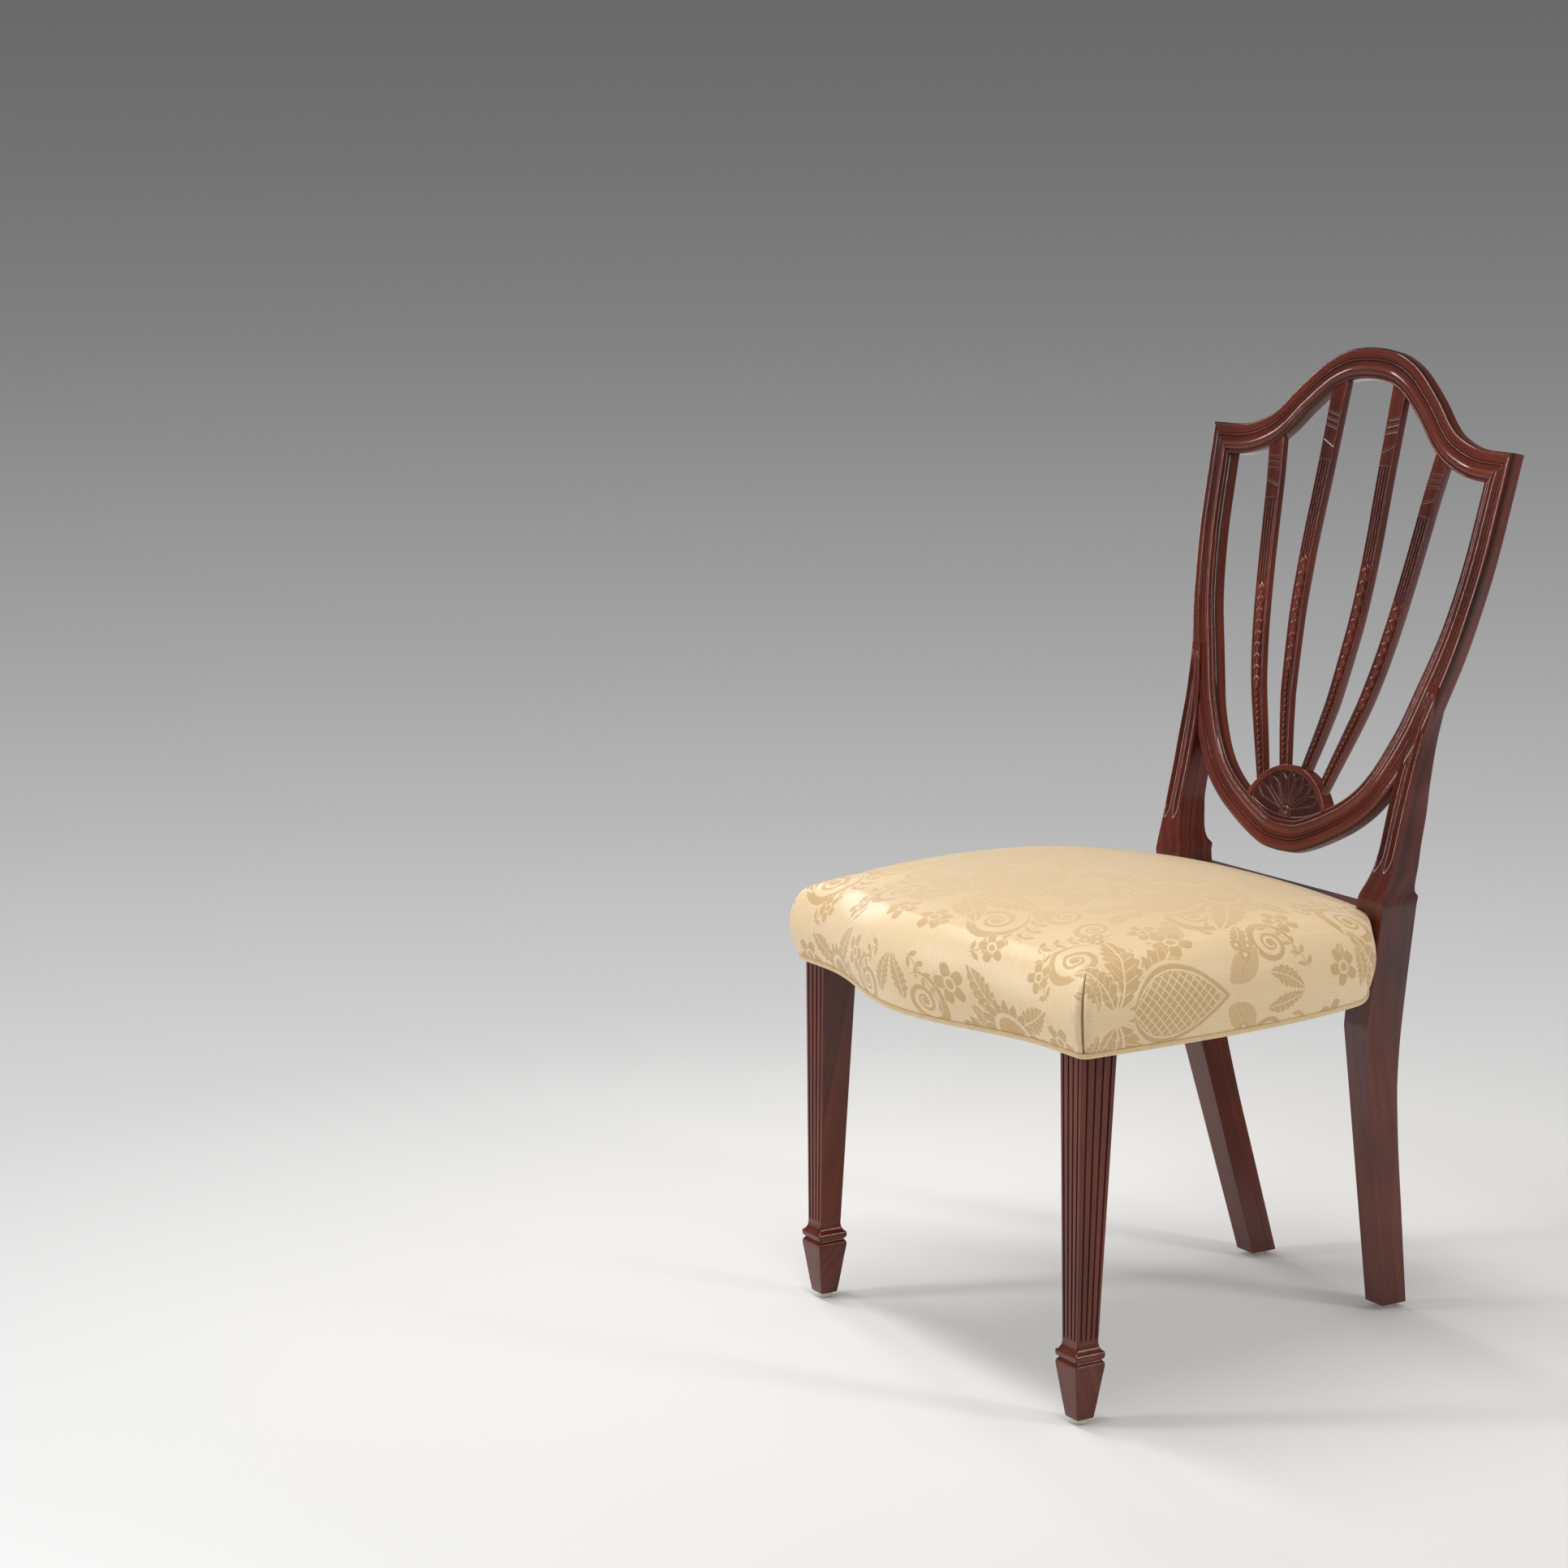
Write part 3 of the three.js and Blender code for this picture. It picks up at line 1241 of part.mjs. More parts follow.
// Welt: a piped cord round the lower edge of the cover, from post to post.
function welt() {
  const points = seatOffset(-weltRadius / 2, 0).filter(({ y }) => y < postFrontAtSeat - 2 * weltRadius);
  const height = coverBottom - jointGap - weltRadius;
  const path = points.map(({ x, y }) => new THREE.Vector3(x, y, height));
  const curve = new THREE.CatmullRomCurve3(path, false, 'centripetal');
  curve.getUtoTmapping = (share) => share;
  const section = new THREE.Shape();
  for (let i = 0; i <= weltSides; i++) {
    const angle = 2 * Math.PI * i / weltSides;
    const [x, y] = [weltRadius * Math.cos(angle), weltRadius * Math.sin(angle)];
    if (i === 0) section.moveTo(x, y);
    else if (i < weltSides) section.lineTo(x, y);
  }
  const settings = { steps: path.length - 1, extrudePath: curve, bevelEnabled: false };
  return solidOf(new THREE.ExtrudeGeometry(section, settings));
}

// The chair
const sideNames = [['left', -1], ['right', 1]];
const baseClear = buildShield();
for (const [name, side] of sideNames) {
  add(`rear_post_${name}`, rearPost(side, baseClear), mahogany);
  add(`front_leg_${name}`, frontLeg(side), mahogany);
  add(`glide_front_${name}`, glide(side * frontGlideX(), frontGlideY()), nylon);
  add(`glide_rear_${name}`, glide(side * rearGlideX(), rearGlideY()), nylon);
  add(`side_rail_${name}`, sideRail(side), rawBeech);
  add(`corner_block_front_${name}`, frontBlock(side), rawBeech);
  add(`corner_block_rear_${name}`, rearBlock(side), rawBeech);
  add(`screw_front_rail_${name}`, screw(frontScrew(side)), zincSteel);
  add(`screw_side_rail_front_${name}`, screw(sideScrew(side, true)), zincSteel);
  add(`screw_side_rail_rear_${name}`, screw(sideScrew(side, false)), zincSteel);
  add(`screw_rear_rail_${name}`, screw(rearScrew(side)), zincSteel);
}
add('front_seat_rail', frontRail(), rawBeech);
add('rear_seat_rail', rearRail(), mahogany);
buildSeat();
add('welt', welt(), damask);

const bounds = new THREE.Box3().setFromObject(chair);
chair.position.y = -(bounds.min.y + bounds.max.y) / 2;

export default chair;
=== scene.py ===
import math
import bpy
import numpy as np
from mathutils import Matrix, Vector
from mathutils.kdtree import KDTree


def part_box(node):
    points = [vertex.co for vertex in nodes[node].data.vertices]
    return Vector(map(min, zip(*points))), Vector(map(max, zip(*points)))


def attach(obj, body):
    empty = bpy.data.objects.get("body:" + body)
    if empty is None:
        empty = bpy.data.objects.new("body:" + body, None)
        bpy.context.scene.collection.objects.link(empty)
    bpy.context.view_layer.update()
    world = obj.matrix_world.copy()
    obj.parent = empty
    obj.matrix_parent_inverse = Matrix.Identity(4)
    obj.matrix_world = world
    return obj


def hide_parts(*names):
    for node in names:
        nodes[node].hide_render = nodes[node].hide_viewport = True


# Shield back dining chair. Metres, Z up, the chair faces -Y.
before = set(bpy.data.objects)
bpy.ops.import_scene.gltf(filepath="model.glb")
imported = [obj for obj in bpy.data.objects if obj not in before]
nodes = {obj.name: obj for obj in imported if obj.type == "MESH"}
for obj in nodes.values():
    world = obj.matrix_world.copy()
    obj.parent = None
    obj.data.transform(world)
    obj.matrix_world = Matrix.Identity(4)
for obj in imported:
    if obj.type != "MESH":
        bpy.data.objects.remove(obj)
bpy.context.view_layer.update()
glideLow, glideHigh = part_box("glide_front_right")
footOffset = 0.00065  # the drawing's zero depth lies this far before the middle of the front feet
backShift = (glideLow.y + glideHigh.y) / 2 - footOffset
print("frame loaded:", len(nodes), "solids")


# Helpers
def srgb(hexText):
    parts = [int(hexText[i:i + 2], 16) / 255 for i in (1, 3, 5)]
    return (*[c / 12.92 if c <= 0.04045 else ((c + 0.055) / 1.055) ** 2.4 for c in parts], 1.0)


def lerp(a, b, t):
    return a + (b - a) * t


def smoothStep(low, high, value):
    t = np.clip((value - low) / (high - low), 0, 1)
    return t * t * (3 - 2 * t)


def mound(away, width):  # 1 at the middle, falling off smoothly to both sides
    return np.exp(-((away / width) ** 2))


def throughTable(table, at, column=1):  # a smooth line through a table, without overshoot
    places, values = np.asarray(table, float).T[[0, column]]
    step = np.diff(places)
    slope = np.diff(values) / step
    tangent = np.zeros_like(values)
    product = slope[:-1] * slope[1:]
    total = np.where(product > 0, slope[:-1] + slope[1:], 1)
    tangent[1:-1] = np.where(product > 0, 2 * product / total, 0)
    tangent[0], tangent[-1] = slope[0], slope[-1]
    i = np.clip(np.searchsorted(places, at, side="right") - 1, 0, len(step) - 1)
    t = np.clip((at - places[i]) / step[i], 0, 1)
    return ((2 * t**3 - 3 * t**2 + 1) * values[i] + (t**3 - 2 * t**2 + t) * step[i] * tangent[i]
            + (3 * t**2 - 2 * t**3) * values[i + 1] + (t**3 - t**2) * step[i] * tangent[i + 1])


def cubicBetween(before, a, b, after, w):
    v0, v1 = (b - before) / 2, (after - a) / 2
    return (2 * a - 2 * b + v0 + v1) * w**3 + (3 * b - 3 * a - 2 * v0 - v1) * w**2 + v0 * w + a


def runOf(points):  # distance along a line of points
    return np.concatenate([[0], np.cumsum(np.linalg.norm(np.diff(points, axis=0), axis=1))])


def pointsAt(at, run, points):
    return np.stack([np.interp(at, run, column) for column in points.T], axis=1)


def splineThrough(points, count):  # evenly spaced points on a smooth curve, and its directions
    p = np.asarray(points, float)
    t = np.linspace(0, len(p) - 1, 6000)
    i = np.minimum(t.astype(int), len(p) - 2)
    before, after = p[np.maximum(i - 1, 0)], p[np.minimum(i + 2, len(p) - 1)]
    dense = cubicBetween(before, p[i], p[i + 1], after, (t - i)[:, None])
    run = runOf(dense)
    at = np.linspace(0, run[-1], count)
    even = pointsAt(at, run, dense)
    along = np.gradient(even, at, axis=0)
    return even, along / np.linalg.norm(along, axis=1)[:, None], at


def placed(name, data):
    made = bpy.data.objects.new(name, data)
    bpy.context.scene.collection.objects.link(made)
    return made


def facedOut(vertices, faces):  # turns the faces of a closed shell outwards
    v = np.asarray(vertices, float).reshape(-1, 3)
    v = v - v.mean(axis=0)
    volume = 0.0
    for size in {len(face) for face in faces}:
        group = np.array([face for face in faces if len(face) == size])
        for k in range(1, size - 1):
            volume += np.einsum("ij,ij->", v[group[:, 0]], np.cross(v[group[:, k]], v[group[:, k + 1]]))
    return faces if volume > 0 else [face[::-1] for face in faces]


def shellFaces(rings):  # quads between rings of points that close on themselves, and a cap at each end
    rows, columns = np.shape(rings)[:2]
    faces = []
    for start in range(0, (rows - 1) * columns, columns):
        for j in range(columns):
            a, b = start + j, start + (j + 1) % columns
            faces.append((a, b, b + columns, a + columns))
    faces += [tuple(range(columns))[::-1], tuple(range((rows - 1) * columns, rows * columns))]
    return facedOut(rings, faces)


def meshPiece(name, points, material, uv=None, crease=35, faces=None, **marks):  # points: rings, if no faces are given
    mesh = bpy.data.meshes.new(name)
    mesh.from_pydata([tuple(v) for v in np.asarray(points).reshape(-1, 3)], [], faces or shellFaces(points))
    mesh.polygons.foreach_set("use_smooth", [True] * len(mesh.polygons))
    if uv is not None:
        corners = np.zeros(len(mesh.loops), int)
        mesh.loops.foreach_get("vertex_index", corners)
        layer = mesh.uv_layers.new(name="grain")
        layer.data.foreach_set("uv", np.asarray(uv, float).reshape(-1, 2)[corners].ravel())
    for mark, values in marks.items():
        attribute = mesh.attributes.new(mark, "FLOAT", "POINT")
        attribute.data.foreach_set("value", np.asarray(values, np.float32).ravel())
    mesh.set_sharp_from_angle(angle=math.radians(crease))
    mesh.materials.append(material)
    mesh.validate()
    return placed(name, mesh)


def loftPiece(name, rings, material, crease=35, **marks):  # the grain runs from ring to ring
    rings = np.asarray(rings, float)
    across = np.zeros(rings.shape[:2])
    across[:, 1:] = np.cumsum(np.linalg.norm(np.diff(rings, axis=1), axis=2), axis=1)
    along = np.broadcast_to(runOf(rings.mean(axis=1))[:, None], across.shape)
    return meshPiece(name, rings, material, np.stack([along, across], axis=2), crease, **marks)


def joined(pieces, name):
    bpy.ops.object.select_all(action="DESELECT")
    for piece in pieces:
        piece.select_set(True)
    bpy.context.view_layer.objects.active = pieces[0]
    bpy.ops.object.join()
    pieces[0].select_set(False)
    pieces[0].name = name
    return pieces[0]


def declare(piece, slot, *stoodFor):
    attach(piece, "root")
    if stoodFor:
        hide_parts(*stoodFor)


def setInputs(node, inputs):  # a value is a number, a hex colour, a socket, a node, or a sum: (operation, values)
    for socket, value in inputs.items():
        if isinstance(value, tuple) and isinstance(value[0], str):
            value = addNode(node.id_data, "ShaderNodeMath", dict(enumerate(value[1:])), operation=value[0])
        if isinstance(value, bpy.types.Node):
            value = next(output for output in value.outputs if output.enabled)
        if isinstance(value, bpy.types.NodeSocket):
            node.id_data.links.new(value, node.inputs[socket])
        else:
            isColour = isinstance(value, str) and value.startswith("#")
            node.inputs[socket].default_value = srgb(value) if isColour else value


def addNode(tree, kind, inputs=None, stops=(), **settings):  # stops: places and colours of a ramp
    made = tree.nodes.new(kind)
    for setting, value in settings.items():
        setattr(made, setting, value)
    if stops:
        marks = made.color_ramp.elements
        while len(marks) < len(stops):
            marks.new(0.5)
        for mark, (place, colour) in zip(marks, stops):
            mark.position = place
            mark.color = srgb(colour)
    setInputs(made, inputs or {})
    return made


def newMaterial(name):
    material = bpy.data.materials.new(name)
    material.use_nodes = True
    tree = material.node_tree
    tree.nodes.clear()
    shader = addNode(tree, "ShaderNodeBsdfPrincipled")
    addNode(tree, "ShaderNodeOutputMaterial", {"Surface": shader})
    return material, tree, shader


# Mahogany, stained dark and French polished: fine dark pores along the grain, a faint ribbon figure under a
# thin film of shellac, darker in the hollows from polish and dust settled there and from painted shade
polish = {
    "dark": "#3a130c", "middle": "#582014", "light": "#72301d", "pores": "#bcaeaa", "settledAndShade": "#1a0806",
    "poreLength": 0.009, "poreWidth": 0.0004, "ribbonLength": 0.25, "ribbonWidth": 0.011,
    "roughness": 0.38, "gloss": 0.1, "film": 0.72, "thinFilm": 0.15, "filmRoughness": 0.09,
}


def polishedMahogany(name, way):  # way: the axis of the grain, or "uv" for a piece whose grain follows it
    material, tree, shader = newMaterial(name)
    solid = addNode(tree, "ShaderNodeTexCoord").outputs["Object"]
    place = addNode(tree, "ShaderNodeUVMap", uv_map="grain") if way == "uv" else solid

    def scaleOf(pattern):
        long, wide = 1 / polish[pattern + "Length"], 1 / polish[pattern + "Width"]
        return [long, wide, 1] if way == "uv" else [long if axis == way else wide for axis in "xyz"]

    pores = addNode(tree, "ShaderNodeMapping", {"Vector": place, "Scale": scaleOf("pore")})
    poreNoise = addNode(tree, "ShaderNodeTexNoise", {"Vector": pores, "Scale": 1, "Detail": 2, "Roughness": 0.6})
    ribbon = addNode(tree, "ShaderNodeMapping", {"Vector": place, "Scale": scaleOf("ribbon")})
    ribbonNoise = addNode(tree, "ShaderNodeTexNoise", {
        "Vector": ribbon, "Scale": 1, "Detail": 4, "Roughness": 0.55, "Distortion": 0.6})
    cloud = addNode(tree, "ShaderNodeTexNoise", {"Vector": solid, "Scale": 7, "Detail": 2})
    wood = addNode(tree, "ShaderNodeValToRGB", {"Fac": ("MULTIPLY", ("ADD", ribbonNoise, cloud), 0.5)},
                   [(0.36, polish["dark"]), (0.5, polish["middle"]), (0.66, polish["light"])])
    poreShade = addNode(tree, "ShaderNodeValToRGB", {"Fac": poreNoise}, [(0.36, polish["pores"]), (0.5, "#ffffff")])
    coloured = addNode(tree, "ShaderNodeMix", {"Factor": 0.8, 6: wood, 7: poreShade}, data_type="RGBA",
                       blend_type="MULTIPLY")
    hollow = addNode(tree, "ShaderNodeAttribute", attribute_name="hollow").outputs["Fac"]
    # darker where the hollow mark is high: settled polish and dust, and painted shade in the hollows
    darkened = addNode(tree, "ShaderNodeMix", {"Factor": ("MULTIPLY", hollow, 0.75), 6: coloured,
                                               7: polish["settledAndShade"]}, data_type="RGBA")
    smear = addNode(tree, "ShaderNodeTexNoise", {"Vector": solid, "Scale": 38, "Detail": 3})
    rough = addNode(tree, "ShaderNodeMapRange", {
        "Value": smear, "From Min": 0.3, "From Max": 0.7,
        "To Min": polish["roughness"] - 0.05, "To Max": polish["roughness"] + 0.08})
    film = addNode(tree, "ShaderNodeMapRange", {
        "Value": hollow, "From Min": -1, "From Max": 0, "To Min": polish["thinFilm"], "To Max": polish["film"]})
    grainBump = addNode(tree, "ShaderNodeBump", {"Height": poreNoise, "Strength": 0.12, "Distance": 0.0002})
    wavy = addNode(tree, "ShaderNodeTexNoise", {"Vector": solid, "Scale": 55, "Detail": 1})
    handBump = addNode(tree, "ShaderNodeBump", {
        "Height": wavy, "Strength": 0.08, "Distance": 0.0015, "Normal": grainBump})
    setInputs(shader, {"Base Color": darkened, "Roughness": rough, "Specular IOR Level": polish["gloss"],
                       "Coat Weight": film, "Coat Roughness": polish["filmRoughness"],
                       "Normal": handBump, "Coat Normal": handBump})
    return material


carvedMahogany = polishedMahogany("polished mahogany, grain along the piece", "uv")
railMahogany = polishedMahogany("polished mahogany, grain across the chair", "x")
print("mahogany mixed")


# The back as a surface: the frame, ribs and lunette are drawn flat on it, as (across, height), and bent to it
back = {"top": 0.965, "seatJoin": 0.436, "frontAtSeat": 0.386, "lean": 0.1235, "hollow": 0.002, "bow": 0.004}


def backRise(height):
    return (height - back["seatJoin"]) / (back["top"] - back["seatJoin"])


def backFront(x, height):
    rise = backRise(height)
    bow = back["bow"] * (1 - (x / shield["halfWidth"]) ** 2)
    return back["frontAtSeat"] + back["lean"] * rise + back["hollow"] * 4 * rise * (1 - rise) + bow


def bent(x, height, depth):
    slope = back["lean"] + back["hollow"] * 4 * (1 - 2 * backRise(height))
    angle = np.arctan2(slope, back["top"] - back["seatJoin"])
    y = backFront(x, height) + depth * np.cos(angle) + backShift
    return np.stack(np.broadcast_arrays(x, y, height - depth * np.sin(angle)), axis=-1)


# Shield frame: crest, base and the sides of the posts, with one moulding that mitres at the top corners
shield = {
    "halfWidth": 0.2315, "cornerHeight": 0.877, "foot": 0.4635, "faceWidth": 0.0315, "swell": 0.005,
    "swellHeight": 0.6, "swellReach": 0.135, "thickness": 0.0175, "wall": 0.008, "roundedBack": 0.005,
    "sideBack": 0.0025, "sideJoint": 0.47, "gap": 0.0003, "blend": 0.04,
    "faceDepth": 0.0045, "dirtAndShadeFrom": 0.0016, "dirtAndShadeTo": 0.0026,
    "edge": [(0, 0), (0.112, 0.005), (0.238, 0.029), (0.363, 0.0617), (0.458, 0.092), (0.549, 0.131), (0.622, 0.175),
             (0.678, 0.219), (0.734, 0.272), (0.786, 0.333), (0.842, 0.427), (0.894, 0.525), (0.931, 0.622),
             (0.965, 0.741), (0.986, 0.886), (1, 1)],
    "crest": [(0, 1), (0.1, 0.985), (0.2, 0.93), (0.32, 0.78), (0.465, 0.49), (0.56, 0.26), (0.635, 0.13),
              (0.75, 0.03), (0.87, 0), (1, 0)],
}
# The moulding, from the outer edge in: share of the face, depth in millimetres. A broad rounded band, a fine bead
# between two quirks, a shallow hollow, a bold reed, a cove and a small bead.
moulding = [
    (0, 4.4), (0.008, 3.2), (0.03, 2.1), (0.07, 1.35), (0.13, 0.8), (0.2, 0.55), (0.27, 0.7), (0.325, 1.15),
    (0.335, 2.2), (0.35, 2.3), (0.358, 1.5), (0.372, 1.0), (0.39, 0.85), (0.408, 1.0), (0.42, 1.5), (0.428, 2.35),
    (0.442, 2.3), (0.452, 1.6), (0.49, 1.85), (0.54, 1.95), (0.59, 1.75), (0.64, 1.25), (0.67, 0.65), (0.7, 0.22),
    (0.735, 0.02), (0.77, 0.05), (0.805, 0.4), (0.832, 1.0), (0.845, 1.9), (0.86, 2.35), (0.885, 2.55), (0.908, 2.3),
    (0.918, 1.7), (0.935, 1.3), (0.953, 1.25), (0.968, 1.5), (0.98, 2.1), (0.992, 2.9), (1, 4.0),
]


def frameSection(ease):
    rounding = []
    for turn in math.pi / 2 * np.arange(7) / 6:
        rounding.append((ease / shield["faceWidth"] * (1 - math.cos(turn)),
                         shield["thickness"] - ease * (1 - math.sin(turn))))
    inner = [(1 - share, depth) for share, depth in rounding]
    front = [(share, depth / 1000) for share, depth in moulding]
    return front + [(1, shield["wall"])] + inner + rounding[::-1] + [(0, shield["wall"])]


def sectionStrip(outer, inner, easing):  # easing: how round the back edges are, at each station
    sections = np.array([frameSection(ease) for ease in easing])
    across, depth = sections[:, :, 0], sections[:, :, 1]
    x, height = (lerp(outer[:, None, k], inner[:, None, k], across) for k in (0, 1))
    # the hollow mark, deeper into the moulding's quirks and coves: settled polish and dust, and painted shade
    dirtAndShade = (depth - shield["dirtAndShadeFrom"]) / (shield["dirtAndShadeTo"] - shield["dirtAndShadeFrom"])
    return bent(x, height, depth), np.where(depth < shield["faceDepth"], np.clip(dirtAndShade, 0, 1), 0)


def easedToJoints(outer):  # round in the middle, and as the sides are at both ends
    run = runOf(outer)
    away = np.minimum(run, run[-1] - run)
    return lerp(shield["sideBack"], shield["roundedBack"], smoothStep(0, shield["blend"], away))


def alongEdge(points, start, end, count, turn):
    even, direction, run = splineThrough(points, 2401)
    at = np.linspace(start, end, count) * run[-1]
    outer, way = pointsAt(at, run, even), pointsAt(at, run, direction)
    way /= np.linalg.norm(way, axis=1)[:, None]
    away = np.minimum(1, np.abs(outer[:, 1] - shield["swellHeight"]) / shield["swellReach"])
    width = shield["faceWidth"] + shield["swell"] * (1 + np.cos(np.pi * away)) / 2
    inward = np.stack([-way[:, 1], way[:, 0]], axis=1) * turn
    return outer, outer + inward * width[:, None]


edgePoints = [(shield["halfWidth"] * x, lerp(shield["foot"], shield["cornerHeight"], z)) for x, z in shield["edge"]]
archRise = back["top"] - shield["cornerHeight"]
crestHalf = [(shield["halfWidth"] * x, shield["cornerHeight"] + archRise * z) for x, z in shield["crest"]]
crestPoints = [(-x, z) for x, z in crestHalf[:0:-1]] + crestHalf
mitreOuter = np.array([shield["halfWidth"], shield["cornerHeight"]])
mitreInner = mitreOuter - shield["faceWidth"]
flip = np.array([-1.0, 1.0])


def buildCrest():
    outer, inner = alongEdge(crestPoints, 0, 1, 541, -1)
    keep = np.abs(outer[:, 0]) < mitreInner[0]
    gap = np.array([-shield["gap"] * 1.4, 0])  # across a mitre at 45 degrees
    outer, inner = (np.vstack([(end + gap) * flip, line[keep], end + gap])
                    for line, end in ((outer, mitreOuter), (inner, mitreInner)))
    rings, hollow = sectionStrip(outer, inner, easedToJoints(outer))
    declare(loftPiece("moulded_crest_rail", rings, carvedMahogany, hollow=hollow), "mahogany", "crest_rail")


def buildBase():
    outer, inner = (np.vstack([line[:0:-1] * flip, line])
                    for line in alongEdge(edgePoints, 0, shield["sideJoint"], 240, 1))
    easing = easedToJoints(outer)
    rings, hollow = sectionStrip(outer, inner, easing)
    # below 0: the lower edge, which was rubbed less and shines less
    wall = np.array([depth > 0.004 and share < 0.3 for share, depth in frameSection(shield["roundedBack"])])
    middle = (easing - shield["sideBack"]) / (shield["roundedBack"] - shield["sideBack"])
    hollow = np.where(wall[None], -middle[:, None], hollow)
    declare(loftPiece("moulded_shield_base", rings, carvedMahogany, hollow=hollow), "mahogany", "shield_base")


# Rear posts, each one piece of wood: the leg, the block at the seat, the coved stile and the moulded side
post = {
    "footHeight": 0.0058, "footInner": 0.092, "footOuter": 0.1185, "footFront": 0.453, "footBack": 0.4845,
    "seatInner": 0.1435, "seatOuter": 0.1825, "seatBack": 0.43, "knee": 0.31, "stileTop": 0.65, "recess": 0.0012,
    "recessFrom": 0.445, "recessTo": 0.48, "coveDepth": 0.0032, "coveFoot": (0.462, 0.482), "coveHead": (0.62, 0.648),
    "ease": 0.002,
    "back": [(0, 0), (0.22, 0.37), (0.45, 0.75), (0.59, 0.925), (0.71, 0.985), (0.86, 1), (1, 1)],
    # height, inner face, outer face and depth of the stile, in metres
    "stile": [(0.436, 0.1435, 0.1825, 0.044), (0.4424, 0.1441, 0.1825, 0.044), (0.4488, 0.1468, 0.1827, 0.038),
              (0.4553, 0.1503, 0.1829, 0.0358), (0.4638, 0.1537, 0.1832, 0.0347), (0.4745, 0.1564, 0.1835, 0.0335),
              (0.4938, 0.1585, 0.1841, 0.0308), (0.5216, 0.1585, 0.1845, 0.029), (0.5537, 0.1596, 0.1859, 0.0241),
              (0.5901, 0.1653, 0.1869, 0.0208), (0.62, 0.1725, 0.1897, 0.0191), (0.65, 0.181, 0.194, 0.018)],
}
# Front of the stile: share across it, share of the cove's depth
coveSection = [(0.0, 0), (0.05, 0), (0.075, 0.15), (0.11, 0.62), (0.17, 0.92), (0.25, 1.0), (0.33, 0.9), (0.39, 0.6),
               (0.43, 0.2), (0.46, 0.06), (0.5, 0.0), (0.54, 0.06), (0.57, 0.2), (0.61, 0.6), (0.67, 0.9),
               (0.75, 1.0), (0.83, 0.92), (0.89, 0.62), (0.925, 0.15), (0.95, 0), (1.0, 0)]


def postRing(side, inner, outer, front, rear, height, coves):
    ease = post["ease"]
    points = [(inner + (outer - inner) * share, front + post["coveDepth"] * deep * coves)
              for share, deep in coveSection]
    for insideX, start in ((outer - ease, 0), (inner + ease, 90)):
        for k in range(5):
            turn = math.radians(start + 90 * k / 4)
            points.append((insideX + ease * math.cos(turn), rear - ease + ease * math.sin(turn)))
    return [(side * x, y + backShift, height) for x, y in points]


def buildPost(side, place):
    foot, knee, join = post["footHeight"], post["knee"], back["seatJoin"]
    heights = np.concatenate([np.linspace(foot, knee, 50)[:-1], np.linspace(knee, join, 24)[:-1],
                              np.linspace(join, post["stileTop"], 110)])
    rise = (heights - foot) / (join - foot)
    toKnee = np.clip((heights - foot) / (knee - foot), 0, 1)
    legFront = lerp(post["footFront"], back["frontAtSeat"], toKnee)
    legRear = lerp(post["footBack"], post["seatBack"], throughTable(post["back"], np.clip(rise, 0, 1)))
    above = heights >= join
    stileInner, stileOuter, depth = (throughTable(post["stile"], heights, column) for column in (1, 2, 3))
    inner = np.where(above, stileInner, lerp(post["footInner"], post["seatInner"], rise))
    outer = np.where(above, stileOuter, lerp(post["footOuter"], post["seatOuter"], rise))
    recess = post["recess"] * smoothStep(post["recessFrom"], post["recessTo"], heights)
    front = np.where(above, backFront(shield["halfWidth"], heights) + recess, legFront)
    rear = np.where(above, front + depth, legRear)
    coves = smoothStep(*post["coveFoot"], heights) * (1 - smoothStep(*post["coveHead"], heights))
    rings = [postRing(side, *row) for row in zip(inner, outer, front, rear, heights, coves)]
    column = loftPiece("column", rings, carvedMahogany)
    outerLine, innerLine = alongEdge(edgePoints, shield["sideJoint"], 1, 300, 1)
    keep = outerLine[:, 1] < mitreInner[1]
    outerLine, innerLine = (np.vstack([line[keep], end]) * np.array([side, 1])
                            for line, end in ((outerLine, mitreOuter), (innerLine, mitreInner)))
    sideRings, hollow = sectionStrip(outerLine, innerLine, [shield["sideBack"]] * len(outerLine))
    moulded = loftPiece("moulded side", sideRings, carvedMahogany, hollow=hollow)
    declare(joined([column, moulded], "coved_rear_post_" + place), "mahogany", "rear_post_" + place)


sides = {-1: "left", 1: "right"}
buildCrest()
buildBase()
for side, place in sides.items():
    buildPost(side, place)
print("shield frame and rear posts made")


# Ribs: a plain head, a band of fine lines, a slanting cut, flutes that end in tongues, then husks and a long bead
rib = {
    "recess": 0.003, "thickness": 0.009, "headWidth": 0.0215, "middleWidth": 0.0183, "footWidth": 0.011,
    "stations": 760, "fluteDepth": 0.0013, "overrun": 0.008, "flutes": 4, "fluteSpan": 0.86, "fillet": 0.05,
    "line": 0.0011, "bandDepth": 0.0009, "bandSlant": 0.002, "cutDepth": 0.0011, "cutSlant": 0.004,
    "panelDepth": 0.0011, "panelEdge": 0.8, "tongue": 0.01, "hollowDepth": 0.0012, "hollow": 0.45,
    "widths": [(0, 0), (0.1, 0.35), (0.2, 0.62), (0.35, 0.86), (0.52, 1)],
    "innerHead": (0.0458, 0.922), "innerFoot": (0.0165, 0.545),
    "outerHead": (0.129, 0.866), "outerFoot": (0.047, 0.528),
    "inner": [(0, 0), (0.147, 0.04), (0.348, 0.093), (0.526, 0.146), (0.683, 0.199), (0.877, 0.305), (1.03, 0.411),
              (1.089, 0.517), (1.092, 0.623), (1.034, 0.782), (1, 1)],
    "outer": [(0, 0), (0.16, 0.095), (0.26, 0.154), (0.451, 0.272), (0.59, 0.391), (0.69, 0.509), (0.77, 0.627),
              (0.838, 0.746), (0.915, 0.885), (1, 1)],
}
